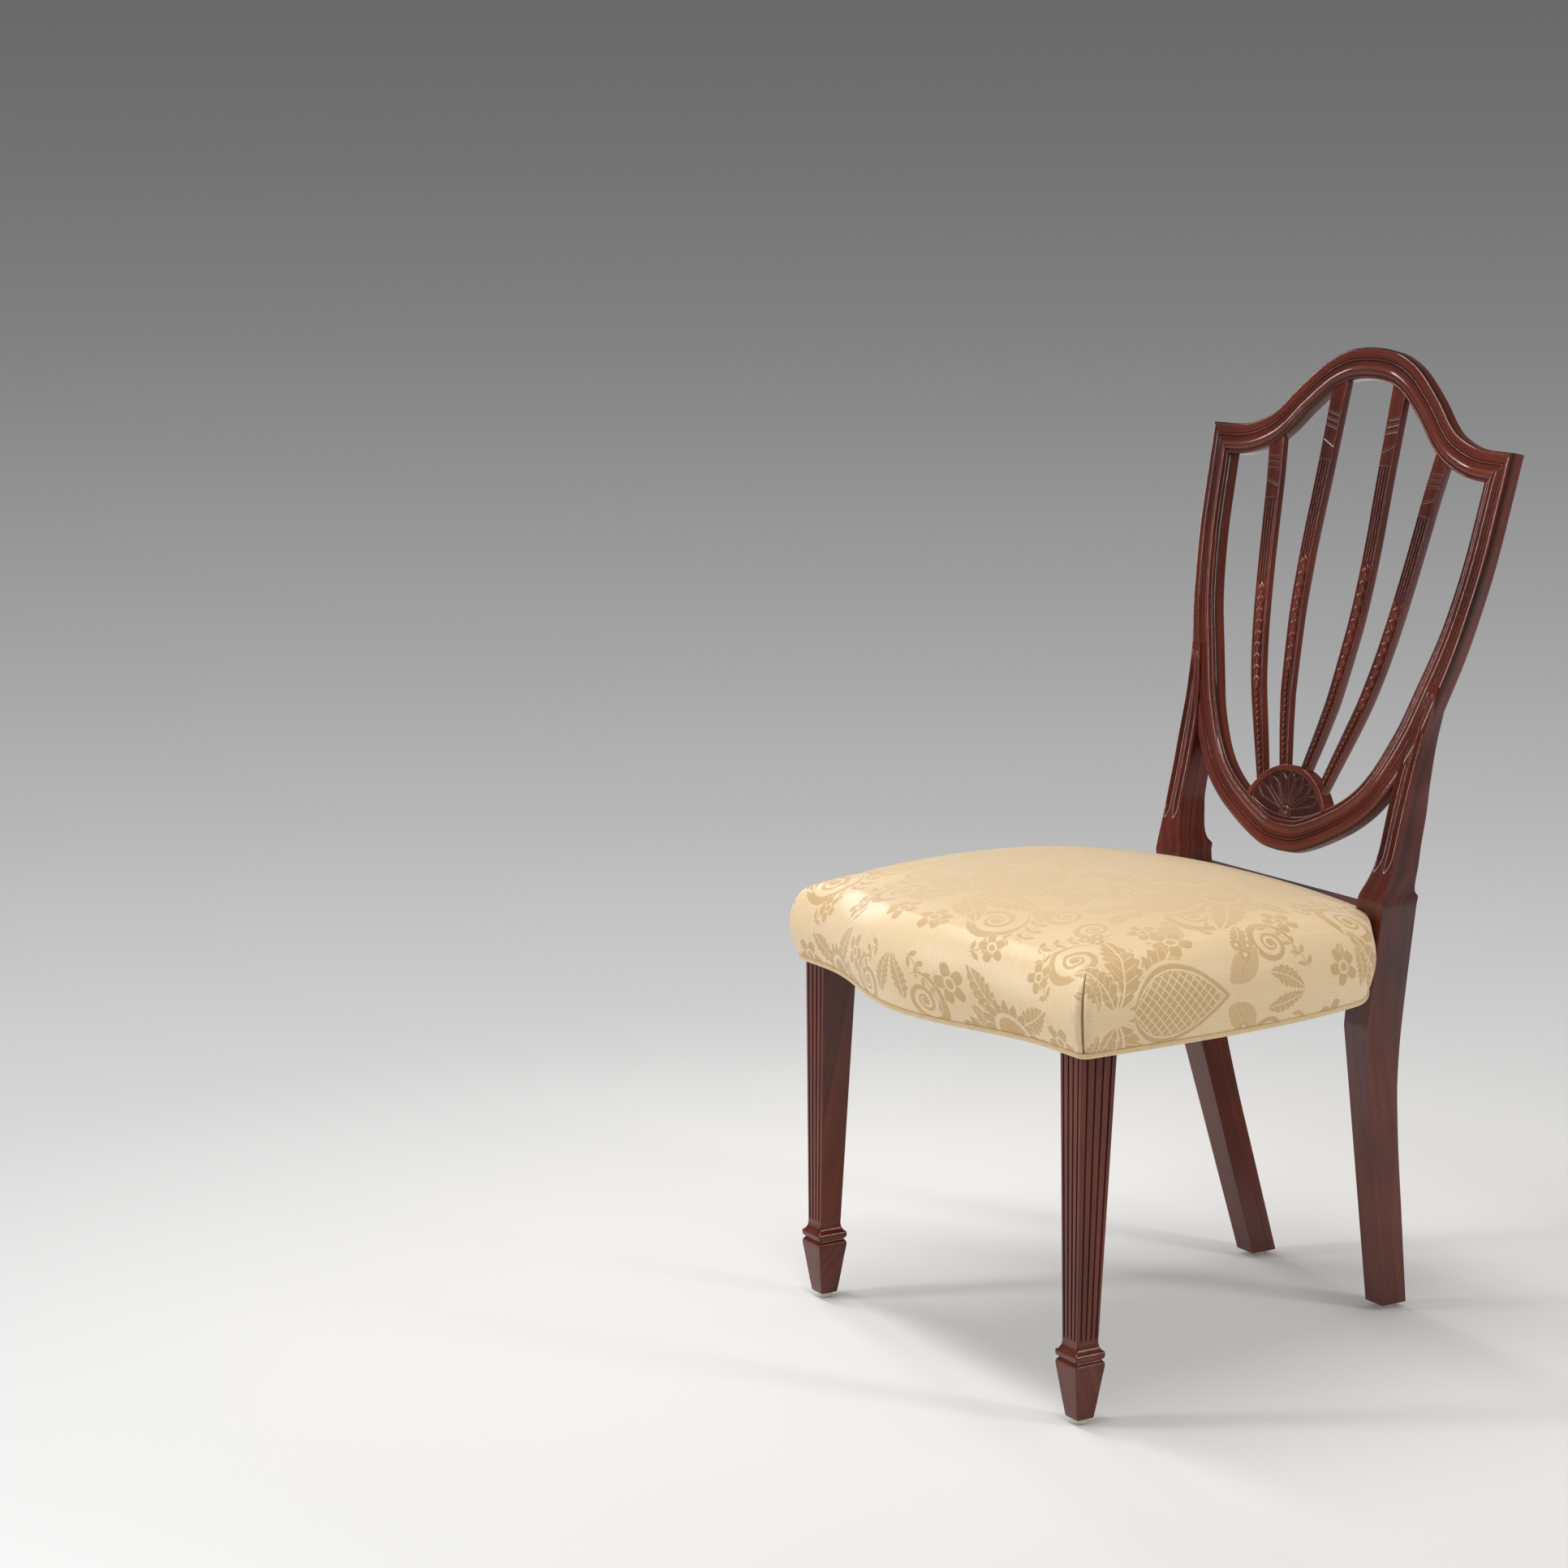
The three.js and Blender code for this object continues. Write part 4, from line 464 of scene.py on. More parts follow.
ribMarks = {  # heights: band of lines, slanting cut, flutes from and to, last husk, foot of the bead
    "inner": {"band": (0.884, 0.897), "cut": 0.868, "flutes": (0.745, 0.852), "husks": 0.645, "foot": 0.553},
    "outer": {"band": (0.836, 0.848), "cut": 0.822, "flutes": (0.712, 0.808), "husks": 0.62, "foot": 0.537},
}
ribs = [("outer", -1), ("inner", -1), ("inner", 1), ("outer", 1)]


def ribLine(kind, count):
    foot, head = rib[kind + "Foot"], rib[kind + "Head"]
    points = [(lerp(foot[0], head[0], x), lerp(foot[1], head[1], z)) for x, z in rib[kind]]
    line, way, run = splineThrough(points, count)
    share = run / run[-1]
    places, widths = np.array(rib["widths"]).T
    width = lerp(rib["footWidth"], rib["middleWidth"], np.interp(share, places, widths))
    high = np.clip((share - places[-1]) / (1 - places[-1]), 0, 1)
    width = width + (rib["headWidth"] - rib["middleWidth"]) * high**2
    line[0] -= way[0] * rib["overrun"]
    line[-1] += way[-1] * rib["overrun"]
    return line, way, width


def fluteColumns():  # places across a rib, close together in each flute, and the share of the flute's depth there
    margin = [0.91, 0.955, 0.985, 1]
    places, shares = [-place for place in margin[::-1]], [0] * 4
    pitch = 2 * rib["fluteSpan"] / rib["flutes"]
    for k in range(rib["flutes"]):
        start = -rib["fluteSpan"] + pitch * k + rib["fillet"] / 2
        for t in (1 - np.cos(np.linspace(0, math.pi, 9))) / 2:
            places.append(start + (pitch - rib["fillet"]) * t)
            shares.append(math.sin(math.pi * t) ** 0.8 if 0 < t < 1 else 0)
    return np.array(places + margin), np.array(shares + [0] * 4)


def ribRelief(height, across, flute, marks):  # how deep the carving is, in metres
    low, high = marks["flutes"]
    tongue = low + rib["tongue"] * np.abs(across)  # the flutes end in a point
    inFlutes = smoothStep(tongue, tongue + 0.005, height) * (1 - smoothStep(high - 0.003, high, height))
    deep = rib["fluteDepth"] * inFlutes * flute
    inside = 1 - smoothStep(0.86, 0.93, np.abs(across))
    bandLow, bandHigh = marks["band"]
    lines = [(level, rib["bandSlant"], rib["bandDepth"]) for level in (bandLow, (bandLow + bandHigh) / 2, bandHigh)]
    for level, slant, depth in lines + [(marks["cut"], rib["cutSlant"], rib["cutDepth"])]:
        deep = np.maximum(deep, depth * mound(height - level - slant * across, rib["line"]) * inside)
    below = 1 - smoothStep(low - 0.009, low - 0.004, height)
    panel = 1 - smoothStep(rib["panelEdge"] - 0.09, rib["panelEdge"] + 0.03, np.abs(across))
    return np.maximum(deep, rib["panelDepth"] * below * panel)


def buildRib(kind, side):
    line, way, width = ribLine(kind, rib["stations"])
    normal = np.stack([way[:, 1], -way[:, 0]], axis=1)
    across, flute = fluteColumns()
    easedEdge = [0.0009, 0.0003, 0.0001]
    edge = np.concatenate([easedEdge, np.zeros(len(across) - 6), easedEdge[::-1]])
    deep = ribRelief(line[:, None, 1], across[None], flute[None], ribMarks[kind])
    rearAcross = [1, 0.91, 0.82, -0.82, -0.91, -1]
    rearDepth = rib["recess"] + rib["thickness"] - np.array([0.0016, 0.0005, 0, 0, 0.0005, 0.0016])
    allAcross = np.concatenate([across, rearAcross])
    depth = np.concatenate([rib["recess"] + edge[None] + deep, np.broadcast_to(rearDepth, (len(line), 6))], axis=1)
    x, z = (line[:, None, k] + normal[:, None, k] * allAcross[None] * width[:, None] / 2 for k in (0, 1))
    # darker the deeper the carving: settled polish and dust, and painted shade in the flutes and cuts
    hollow = np.clip(deep / rib["hollowDepth"], 0, 1) * rib["hollow"]
    hollow = np.concatenate([hollow, np.zeros((len(line), 6))], axis=1)
    name = "_%s_rib_%s" % (kind, sides[side])
    piece = loftPiece("carved" + name, bent(side * x, z, depth), carvedMahogany, 50, hollow=hollow)
    declare(piece, "mahogany", "rib_%s_%s" % (kind, sides[side]))


# Husks and beads are one small shape each, strung along the rib
chain = {
    "huskPitch": 0.0112, "huskLength": 0.0145, "huskTaper": 0.85, "beadPitch": 0.0062, "beadLength": 0.0056,
    "beadTaper": 0.95, "lift": 0.0006, "facing": (0.0, -0.974, 0.227),
}


def huskMesh():  # a leaf with a raised middle and swept back sides, one unit long, its tip along +X
    rows, columns = 7, 9
    top = []
    for along in (i / (rows - 1) for i in range(rows)):
        width = 0.4 * math.sin(math.pi * (0.12 + 0.85 * (1 - along))) ** 0.8
        height = math.sin(math.pi * (0.15 + 0.8 * along)) ** 0.6
        for u in (2 * j / (columns - 1) - 1 for j in range(columns)):
            ridge = 0.16 * (1 - abs(u) ** 1.6) + 0.07 * math.exp(-((abs(u) - 0.55) / 0.22) ** 2)
            top.append((along - 0.5 - 0.3 * abs(u) * (1 - along), u * width, ridge * height))
    bottom = [(x, y, -0.12) for x, y, z in top]
    count = rows * columns
    faces = []
    for i in range(rows - 1):
        for a in range(i * columns, i * columns + columns - 1):
            quad = (a, a + columns, a + columns + 1, a + 1)
            faces += [quad, tuple(corner + count for corner in quad[::-1])]
    rim = list(range(columns)) + [i * columns + columns - 1 for i in range(1, rows)]
    rim += list(range(count - 2, count - columns - 1, -1)) + [i * columns for i in range(rows - 2, 0, -1)]
    for a, b in zip(rim, rim[1:] + rim[:1]):
        faces.append((a, b, b + count, a + count))
    return meshPiece("husk", top + bottom, carvedMahogany, faces=facedOut(top + bottom, faces))


def beadMesh():  # an oblong bead, one unit long
    rows, columns = 7, 8
    rings = []
    for i in range(rows):
        turn = math.pi * (i + 0.12) / (rows - 0.76)
        radius = 0.36 * math.sin(turn)
        rings.append([(-0.5 * math.cos(turn), radius * math.cos(2 * math.pi * j / columns),
                       radius * math.sin(2 * math.pi * j / columns)) for j in range(columns)])
    return meshPiece("bead", rings, carvedMahogany)


def newGeometryTree(name, sockets):
    tree = bpy.data.node_groups.new(name, "GeometryNodeTree")
    for socket, kind in sockets.items():
        tree.interface.new_socket(socket, in_out="INPUT", socket_type="NodeSocket" + kind)
    tree.interface.new_socket("Made", in_out="OUTPUT", socket_type="NodeSocketGeometry")
    return tree, addNode(tree, "NodeGroupInput").outputs


def endGeometryTree(tree, geometry, finish):
    made = addNode(tree, "GeometryNodeRealizeInstances", {0: geometry})
    finished = addNode(tree, "GeometryNodeSetMaterial", {"Geometry": made, "Material": finish})
    addNode(tree, "NodeGroupOutput", {0: finished})
    return tree


def strungAlongLine():  # copies of a shape, evenly along a line, facing out
    tree, given = newGeometryTree("strung along a line", {
        "Line": "Geometry", "Shape": "Object", "Count": "Int", "First size": "Float", "Last size": "Float",
        "Facing": "Vector", "Finish": "Material"})
    line = addNode(tree, "GeometryNodeMeshToCurve", {0: given["Line"]})
    points = addNode(tree, "GeometryNodeCurveToPoints", {"Curve": line, "Count": given["Count"]}, mode="COUNT")
    along = addNode(tree, "FunctionNodeAlignRotationToVector", {"Vector": points.outputs["Tangent"]}, axis="X")
    facing = addNode(tree, "FunctionNodeAlignRotationToVector", {"Rotation": along, "Vector": given["Facing"]},
                     axis="Z", pivot_axis="X")
    shape = addNode(tree, "GeometryNodeObjectInfo", {"Object": given["Shape"]})
    share = ("DIVIDE", addNode(tree, "GeometryNodeInputIndex"), given["Count"])
    size = addNode(tree, "ShaderNodeMapRange", {
        "Value": share, "To Min": given["First size"], "To Max": given["Last size"]})
    strung = addNode(tree, "GeometryNodeInstanceOnPoints", {
        "Points": points, "Instance": shape.outputs["Geometry"], "Rotation": facing, "Scale": size})
    return endGeometryTree(tree, strung, given["Finish"])


def strung(tree, name, points, values, crease=50):
    mesh = bpy.data.meshes.new(name + "_line")
    mesh.from_pydata([tuple(p) for p in points], [(i, i + 1) for i in range(len(points) - 1)], [])
    holder = placed(name + "_line", mesh)
    modifier = holder.modifiers.new("strung", "NODES")
    modifier.node_group = tree
    for item in tree.interface.items_tree:
        if item.item_type == "SOCKET" and item.name in values:
            modifier[item.identifier] = values[item.name]
    bpy.context.view_layer.update()
    made = bpy.data.meshes.new_from_object(holder.evaluated_get(bpy.context.evaluated_depsgraph_get()))
    bpy.data.objects.remove(holder)
    made.name = name
    made.polygons.foreach_set("use_smooth", [True] * len(made.polygons))
    made.set_sharp_from_angle(angle=math.radians(crease))
    return placed(name, made)


def buildChain(tree, husk, bead, kind, side):
    line = ribLine(kind, 400)[0]
    marks = ribMarks[kind]
    depth = rib["recess"] + rib["panelDepth"] - chain["lift"]
    place = kind + "_" + sides[side]
    made = []
    for shape, high, low in ((husk, marks["flutes"][0] - 0.001, marks["husks"]),
                             (bead, marks["husks"] - 0.004, marks["foot"])):
        part = line[(line[:, 1] <= high) & (line[:, 1] >= low)][::-1]
        length, count = chain[shape.name + "Length"], int(runOf(part)[-1] / chain[shape.name + "Pitch"]) + 1
        values = {"Shape": shape, "Count": count, "Facing": chain["facing"], "Finish": carvedMahogany,
                  "First size": length, "Last size": length * chain[shape.name + "Taper"]}
        made.append(strung(tree, shape.name + "_" + place, bent(side * part[:, 0], part[:, 1], depth), values))
    declare(joined(made, "husks_and_beads_" + place), "mahogany")


for kind, side in ribs:
    buildRib(kind, side)
stringTree, husk, bead = strungAlongLine(), huskMesh(), beadMesh()
for kind, side in ribs:
    buildChain(stringTree, husk, bead, kind, side)
for shape in (husk, bead):
    bpy.data.objects.remove(shape)
print("ribs carved")


# Lunette: a plain rim round a sunk field, with seven outlined petals that spread from a small hub
lunette = {
    "halfWidth": 0.0615, "top": 0.5485, "radius": 0.072, "thickness": 0.015, "recess": 0.001, "sink": 0.0028,
    "rim": 0.0058, "footRadius": 0.129, "footLine": 0.6, "hub": 0.501, "hubRadius": 0.0072, "petals": 7, "sweep": 2.3,
    "petalStart": 0.0078, "petalWidth": 0.005, "widest": 0.7, "line": 0.00075, "lineRise": 0.0014, "vein": 0.4,
    "veinWidth": 0.0006, "dish": 0.5, "spokes": 760, "steps": 102,
}
lunetteCentre = lunette["top"] - lunette["radius"]


def lunetteCarving(x, z, edgeGap):
    deep = lunette["sink"] * smoothStep(lunette["rim"] - 0.0004, lunette["rim"] + 0.0011, edgeGap)
    toX, toZ = x, z - lunette["hub"]
    rise = np.zeros_like(x)
    start, widest = lunette["petalStart"], lunette["widest"]
    rim = lunette["radius"] - lunette["rim"]
    for index in range(lunette["petals"]):
        angle = lunette["sweep"] * (index / (lunette["petals"] - 1) - 0.5)
        run = toX * math.sin(angle) + toZ * math.cos(angle)
        off = toX * math.cos(angle) - toZ * math.sin(angle)
        lift = math.cos(angle) * (lunetteCentre - lunette["hub"])
        reach = lift + math.sqrt(lift**2 + rim**2 - (lunetteCentre - lunette["hub"]) ** 2) - 0.001
        t = np.clip((run - start) / (reach - start), 0, 1)
        opening = np.clip(t / widest, 0, 1) ** 1.25
        closing = np.cos(math.pi / 2 * np.clip((t - widest) / (1 - widest), 0, 1)) ** 0.85
        gap = np.abs(off) - lunette["petalWidth"] * np.where(t < widest, opening, closing)
        ridge = mound(gap, lunette["line"]) * ((run > start - 0.001) & (run < reach + 0.001))
        vein = lunette["vein"] * mound(off, lunette["veinWidth"]) * (gap < -0.0012)
        vein = vein * smoothStep(0.3, 0.5, t) * (1 - smoothStep(0.75, 0.95, t))
        dish = -lunette["dish"] * np.clip(-gap / 0.003, 0, 1) * (gap < 0)
        petal = ridge + vein + dish
        rise = np.where(np.abs(petal) > np.abs(rise), petal, rise)
    away = np.hypot(toX, toZ)
    hubRing = mound(away - lunette["hubRadius"] + 0.001, 0.0011)
    button = 0.8 * mound(away, 0.0024)
    above = smoothStep(-0.004, -0.003, toZ)
    rise = np.where(away < lunette["hubRadius"] + 0.0022, (hubRing + button) * above, rise)
    footGap = np.hypot(x, z - (shield["foot"] + shield["faceWidth"] + lunette["footRadius"]))
    footLine = lunette["footLine"] * mound(lunette["footRadius"] - footGap - 0.002, 0.0008)
    return deep, np.maximum(rise, footLine * (edgeGap > lunette["rim"])) * lunette["lineRise"]


def buildLunette():  # a grid of spokes from the hub, so that its lines run along the petals
    edgeInner = alongEdge(edgePoints, 0, 0.25, 200, 1)[1]
    x = lunette["halfWidth"] * np.sin(np.linspace(-math.pi / 2, math.pi / 2, 241))
    top = lunetteCentre + np.sqrt(lunette["radius"] ** 2 - x**2)
    foot = np.minimum(np.interp(np.abs(x), edgeInner[:, 0], edgeInner[:, 1]) - 0.003, top - 0.0002)
    outline = np.concatenate([np.stack([x, foot], axis=1), np.stack([x, top], axis=1)[-2:0:-1], [[x[0], foot[0]]]])
    run = runOf(outline)
    edge = pointsAt(np.linspace(0, run[-1], lunette["spokes"], endpoint=False), run, outline)
    hub = np.array([0, lunette["hub"]])
    share = np.concatenate([np.linspace(0.004, 0.975, lunette["steps"]), [0.985, 0.992, 0.997, 1]])
    plan = hub + (edge - hub)[None] * share[:, None, None]
    across, height = plan[..., 0], plan[..., 1]
    edgeGap = lunette["radius"] - np.hypot(across, height - lunetteCentre)
    deep, rise = lunetteCarving(across, height, edgeGap)
    front = bent(across, height, lunette["recess"] + deep - rise + 0.0008 * np.exp(-edgeGap / 0.0005))
    rear = bent(edge[:, 0], edge[:, 1], np.full(len(edge), lunette["recess"] + lunette["thickness"]))
    # the sunk field darker and the raised lines not: settled polish and dust, and painted shade
    hollow = np.concatenate([np.clip(deep / lunette["sink"] - rise / 0.0008, 0, 1), np.zeros((1, len(edge)))])
    piece = meshPiece("fan_carved_lunette", np.concatenate([front, rear[None]]), carvedMahogany,
                      np.concatenate([plan, edge[None]]), 86, hollow=hollow)
    declare(piece, "mahogany", "lunette")


buildLunette()
print("lunette carved")


# Front legs: tapered, with grooved front and outer faces that end above a bead and a spade foot
frontLeg = {
    "frontFace": -0.0116, "ankleOuter": 0.2364, "topOuter": 0.24, "ankleWidth": 0.0245, "topWidth": 0.037,
    "topDepth": 0.0435, "top": 0.419, "ankle": 0.079, "spadeTop": 0.0335, "ease": 0.0009,
    "grooveShares": (0.16, 0.387, 0.613, 0.84), "grooveWidth": 0.0024, "grooveDepth": 0.0019, "grooveFoot": 0.003,
    "grooveRounding": 0.006,
    # height and width of the spade foot, in metres
    "spade": [(0.0058, 0.0179), (0.0063, 0.0190), (0.0072, 0.0197), (0.02, 0.0235), (0.04, 0.0288), (0.054, 0.0328),
              (0.0562, 0.0334), (0.057, 0.0335)],
    "turnings": [(0, 1), (0.12, 0.97), (0.2, 0.72), (0.27, 0.5), (0.32, 0.78), (0.41, 1), (0.53, 1.05), (0.62, 0.92),
                 (0.68, 0.55), (0.82, 0.16), (1, 0)],
}


def legRing(side, inner, outer, front, rear, height, groove=0.0):
    points = []
    ease = frontLeg["ease"]
    turns = [math.pi * step / 8 for step in range(9)]
    for start, end, into, grooved in (((inner, front), (outer, front), (0, 1), groove),
                                      ((outer, front), (outer, rear), (-1, 0), groove),
                                      ((outer, rear), (inner, rear), (0, -1), 0),
                                      ((inner, rear), (inner, front), (1, 0), 0)):
        start, end, into = (np.array(v) for v in (start, end, into))
        length = np.linalg.norm(end - start)
        way = (end - start) / length
        half = frontLeg["grooveWidth"] / length / 2
        places = [(middle - half * math.cos(turn), math.sin(turn) * (frontLeg["grooveDepth"] * grooved))
                  for middle in frontLeg["grooveShares"] for turn in turns]
        for share, depth in [(ease / length, 0.0)] + places + [(1 - ease / length, 0.0)]:
            points.append(start + way * length * share + into * depth)
    return [(side * x, y + backShift, height) for x, y in points]


def buildFrontLeg(side, place):
    ankle, ankleWidth = frontLeg["ankle"], frontLeg["ankleWidth"]
    middleX, middleY = frontLeg["ankleOuter"] - ankleWidth / 2, frontLeg["frontFace"] + ankleWidth / 2
    shares = np.linspace(0, 1, 60)[1:]
    turned = [(lerp(frontLeg["spade"][-1][0], ankle, share), lerp(ankleWidth, frontLeg["spadeTop"], swell))
              for share, swell in zip(shares, throughTable(frontLeg["turnings"], shares))]
    rings = []
    for height, width in frontLeg["spade"] + turned:
        half = width / 2
        rings.append(legRing(side, middleX - half, middleX + half, middleY - half, middleY + half, height))
    for height in np.concatenate([np.linspace(ankle + 0.001, ankle + 0.014, 14),
                                  np.linspace(ankle + 0.02, frontLeg["top"], 30)]):
        share = (height - ankle) / (frontLeg["top"] - ankle)
        outer = lerp(frontLeg["ankleOuter"], frontLeg["topOuter"], share)
        inner = outer - lerp(ankleWidth, frontLeg["topWidth"], share)
        rear = frontLeg["frontFace"] + lerp(ankleWidth, frontLeg["topDepth"], share)
        start = (height - ankle - frontLeg["grooveFoot"]) / frontLeg["grooveRounding"]
        groove = math.sqrt(1 - (1 - min(max(start, 0), 1)) ** 2)
        rings.append(legRing(side, inner, outer, frontLeg["frontFace"], rear, height, groove))
    piece = loftPiece("grooved_front_leg_" + place, rings, carvedMahogany, 30)
    declare(piece, "mahogany", "front_leg_" + place)


for side, place in sides.items():
    buildFrontLeg(side, place)
print("front legs made")


# Seat: the damask cover over its stuffing, crowned, with a serpentine front and a pleat at each front corner
seat = {
    "halfWidth": 0.248, "rearHalfWidth": 0.217, "cornerStart": 0.33, "cornerDrop": 0.034, "cornerPower": 1.6,
    "frontCorner": -0.017, "bow": 0.04, "bowHalfWidth": 0.2, "rearEdge": 0.3997, "cornerRadius": 0.009,
    "sidePower": 3.5, "bottom": 0.3587, "edge": 0.439, "crown": 0.462, "cornerFall": 0.011, "rearFall": 0.009,
    "bulge": 0.011, "round": 0.02, "gap": 0.0003, "ledge": 0.4206, "padding": 0.0086, "ceiling": 0.4248,
    "rearPadding": 0.001, "middle": 0.19, "frontPoints": 84, "sidePoints": 84, "cornerPoints": 31,
    "side": [(0, 0), (0.2, 0.6), (0.42, 0.97), (0.62, 0.98), (0.8, 0.62), (0.95, -0.1)],
    "reaches": [0.985, 0.95, 0.9, 0.82, 0.7, 0.55, 0.38, 0.2, 0.03], "crownPower": 0.62,
    "pleatDepth": 0.0022, "pleatWidth": 0.0011, "pleatTop": 0.94, "lip": 0.45, "lipAway": 0.0042, "lipWidth": 0.0028,
    "creaseWidth": 0.0007,
}


def seatSide(y):
    share = np.maximum(0, (y - seat["frontCorner"]) / (seat["cornerStart"] - seat["frontCorner"]))
    line = lerp(seat["halfWidth"], seat["rearHalfWidth"], share ** seat["sidePower"])
    turn = np.maximum(0, (y - seat["cornerStart"]) / (back["frontAtSeat"] - seat["cornerStart"]))
    return line - seat["cornerDrop"] * turn ** seat["cornerPower"]


def seatFront(x):
    share = np.minimum(1, np.abs(x) / seat["bowHalfWidth"])
    return seat["frontCorner"] - seat["bow"] * (1 + np.cos(np.pi * share)) / 2


def seatPlan():
    radius = seat["cornerRadius"]
    cornerX, cornerY = seat["halfWidth"] - radius, seat["frontCorner"] + radius
    frontX = np.linspace(0, cornerX, seat["frontPoints"])
    turn = np.linspace(-math.pi / 2, 0, seat["cornerPoints"])[1:-1]
    notchY, notchX = back["frontAtSeat"] - seat["gap"], post["seatInner"] - seat["gap"]
    sideY = lerp(cornerY, notchY, 1 - (1 - np.linspace(0, 1, seat["sidePoints"])) ** 1.4)
    front = np.stack([frontX, seatFront(frontX)], axis=1)
    corner = np.stack([cornerX + radius * np.cos(turn), cornerY + radius * np.sin(turn)], axis=1)
    side = np.stack([seatSide(sideY), sideY], axis=1)
    postFace = np.stack([np.linspace(side[-1, 0], notchX, 12)[1:], np.full(11, notchY)], axis=1)
    postSide = np.stack([np.full(4, notchX), np.linspace(notchY, seat["rearEdge"], 5)[1:]], axis=1)
    rear = np.stack([np.linspace(notchX, 0, 36)[1:-1], np.full(34, seat["rearEdge"])], axis=1)
    half = np.vstack([front, corner, side, postFace, postSide, rear])
    rounded, ledge = len(front) + len(corner), len(postSide) + len(rear)
    atBack = len(postFace) + ledge
    free = np.concatenate([np.ones(rounded), 1 - smoothStep(seat["cornerStart"], notchY, sideY), np.zeros(atBack)])
    lifted = np.concatenate([np.zeros(len(half) - ledge), np.ones(ledge)])
    kind = np.concatenate([np.zeros(len(front)), np.linspace(0, 1, seat["cornerPoints"])[1:-1], np.ones(len(side)),
                           np.full(atBack, 2)])
    plan = np.vstack([half, [[0, seat["rearEdge"]]], half[:0:-1] * [-1, 1]])
    return plan, *(np.concatenate([values, [rearmost], values[:0:-1]])
                   for values, rearmost in ((free, 0), (lifted, 1), (kind, 2)))


# The outline, round from the middle of the front: its points, how far they may swell, which are lifted over the rear
# rail, and which part they are on: 0 for the front, up to 1 round the corner, 1 for the side and 2 at the back
plan, free, lifted, kind = seatPlan()


def outwardOf(points):
    way = np.roll(points, -1, axis=0) - np.roll(points, 1, axis=0)
    way /= np.linalg.norm(way, axis=1)[:, None]
    return np.stack([way[:, 1], -way[:, 0]], axis=1)


def edgeHeight(x, y):
    middleY = (seat["frontCorner"] + seat["rearEdge"]) / 2
    along = (y - middleY) / ((seat["rearEdge"] - seat["frontCorner"]) / 2)
    corner = np.minimum(1, (x * along / seat["halfWidth"]) ** 2)
    return seat["edge"] - seat["cornerFall"] * corner - seat["rearFall"] * np.maximum(0, along) ** 2


def crownOf(x, y):  # 0 at the shoulder, 1 at the top of the crown
    across = np.clip(x / seatSide(np.clip(y, seat["frontCorner"], back["frontAtSeat"])), -1, 1)
    front = seatFront(x)
    along = np.clip(2 * (y - front) / (seat["rearEdge"] - front) - 1, -1, 1)
    return ((1 - across**2) * (1 - along**2)) ** seat["crownPower"]


def throughRings(controls, counts):  # rings on a smooth surface through a few of them
    made = []
    for i, count in enumerate(counts):
        before, after = controls[max(i - 1, 0)], controls[min(i + 2, len(controls) - 1)]
        made += [cubicBetween(before, controls[i], controls[i + 1], after, w) for w in np.arange(count) / count]
    return np.array(made + [controls[-1]])


def cushionRings():
    outward = outwardOf(plan)
    centre = np.array([0, (seat["frontCorner"] + seat["rearEdge"]) / 2])
    lowest = np.where(lifted > 0, seat["ledge"], seat["bottom"])
    top = edgeHeight(plan[:, 0], plan[:, 1])
    fullness = np.where(free > 0, seat["bulge"] * (0.25 + 0.75 * free), 0)
    controls = [np.column_stack([plan + outward * (fullness * bulge)[:, None], lerp(lowest, top, rise)])
                for rise, bulge in seat["side"]]
    inset = plan - outward * (seat["round"] / 2 * np.where(free > 0, 1, 0.4))[:, None]
    for reach in seat["reaches"]:
        at = centre + (inset - centre) * reach
        height = edgeHeight(at[:, 0], at[:, 1]) + (seat["crown"] - seat["edge"]) * crownOf(at[:, 0], at[:, 1])
        controls.append(np.column_stack([at, height]))
    sideSteps = [5] * (len(seat["side"]) - 1) + [7]
    topSteps = [max(2, round((a - b) / 0.014)) for a, b in zip(seat["reaches"], seat["reaches"][1:])]
    rings = throughRings(controls, sideSteps + topSteps)
    rings[:, :, 1] += backShift
    return rings, sum(sideSteps)


def sewPleats(rings, sideCount):  # a sewn fold down each front corner: a groove, and a soft lip before it
    rising = np.arange(len(rings)) / sideCount
    depth = seat["pleatDepth"] * (1 - smoothStep(seat["pleatTop"] - 0.1, seat["pleatTop"] + 0.12, rising))
    run = runOf(rings[2, :, :2])
    crease = np.zeros(rings.shape[:2])
    for side in (1, -1):
        columns = np.where((kind > 0.02) & (kind < 0.98) & (rings[2, :, 0] * side > 0))[0]
        away = (run - run[columns].mean()) * side
        groove = mound(away, seat["pleatWidth"])
        lip = seat["lip"] * mound(away + seat["lipAway"], seat["lipWidth"])
        inward = np.array([-side, 1.0, 0]) / math.sqrt(2)
        rings += inward * (depth[:, None] * (groove - lip)[None])[:, :, None]
        # the crease mask: painted shade down each pleat's groove
        crease += (depth / seat["pleatDepth"])[:, None] * mound(away, seat["creaseWidth"])[None]
    return np.clip(crease, 0, 1)


# The cover is drawn over its stuffing by a short cloth simulation of an evenly meshed copy, held along its foot,
# underneath and at the rear. The sewn mesh takes a share of how that copy settles, so its seams and weave stay
drawing = {
    "voxel": 0.006, "pressure": 4.0, "frames": 20, "heldFoot": 0.012, "heldRear": 0.03, "heldUnder": 0.006,
    "share": 0.25, "furthest": 0.005, "smoothing": 12, "nearest": 6,
}


def coordinatesOf(mesh):
    flat = np.zeros(len(mesh.vertices) * 3)
    mesh.vertices.foreach_get("co", flat)
    return flat.reshape(-1, 3)


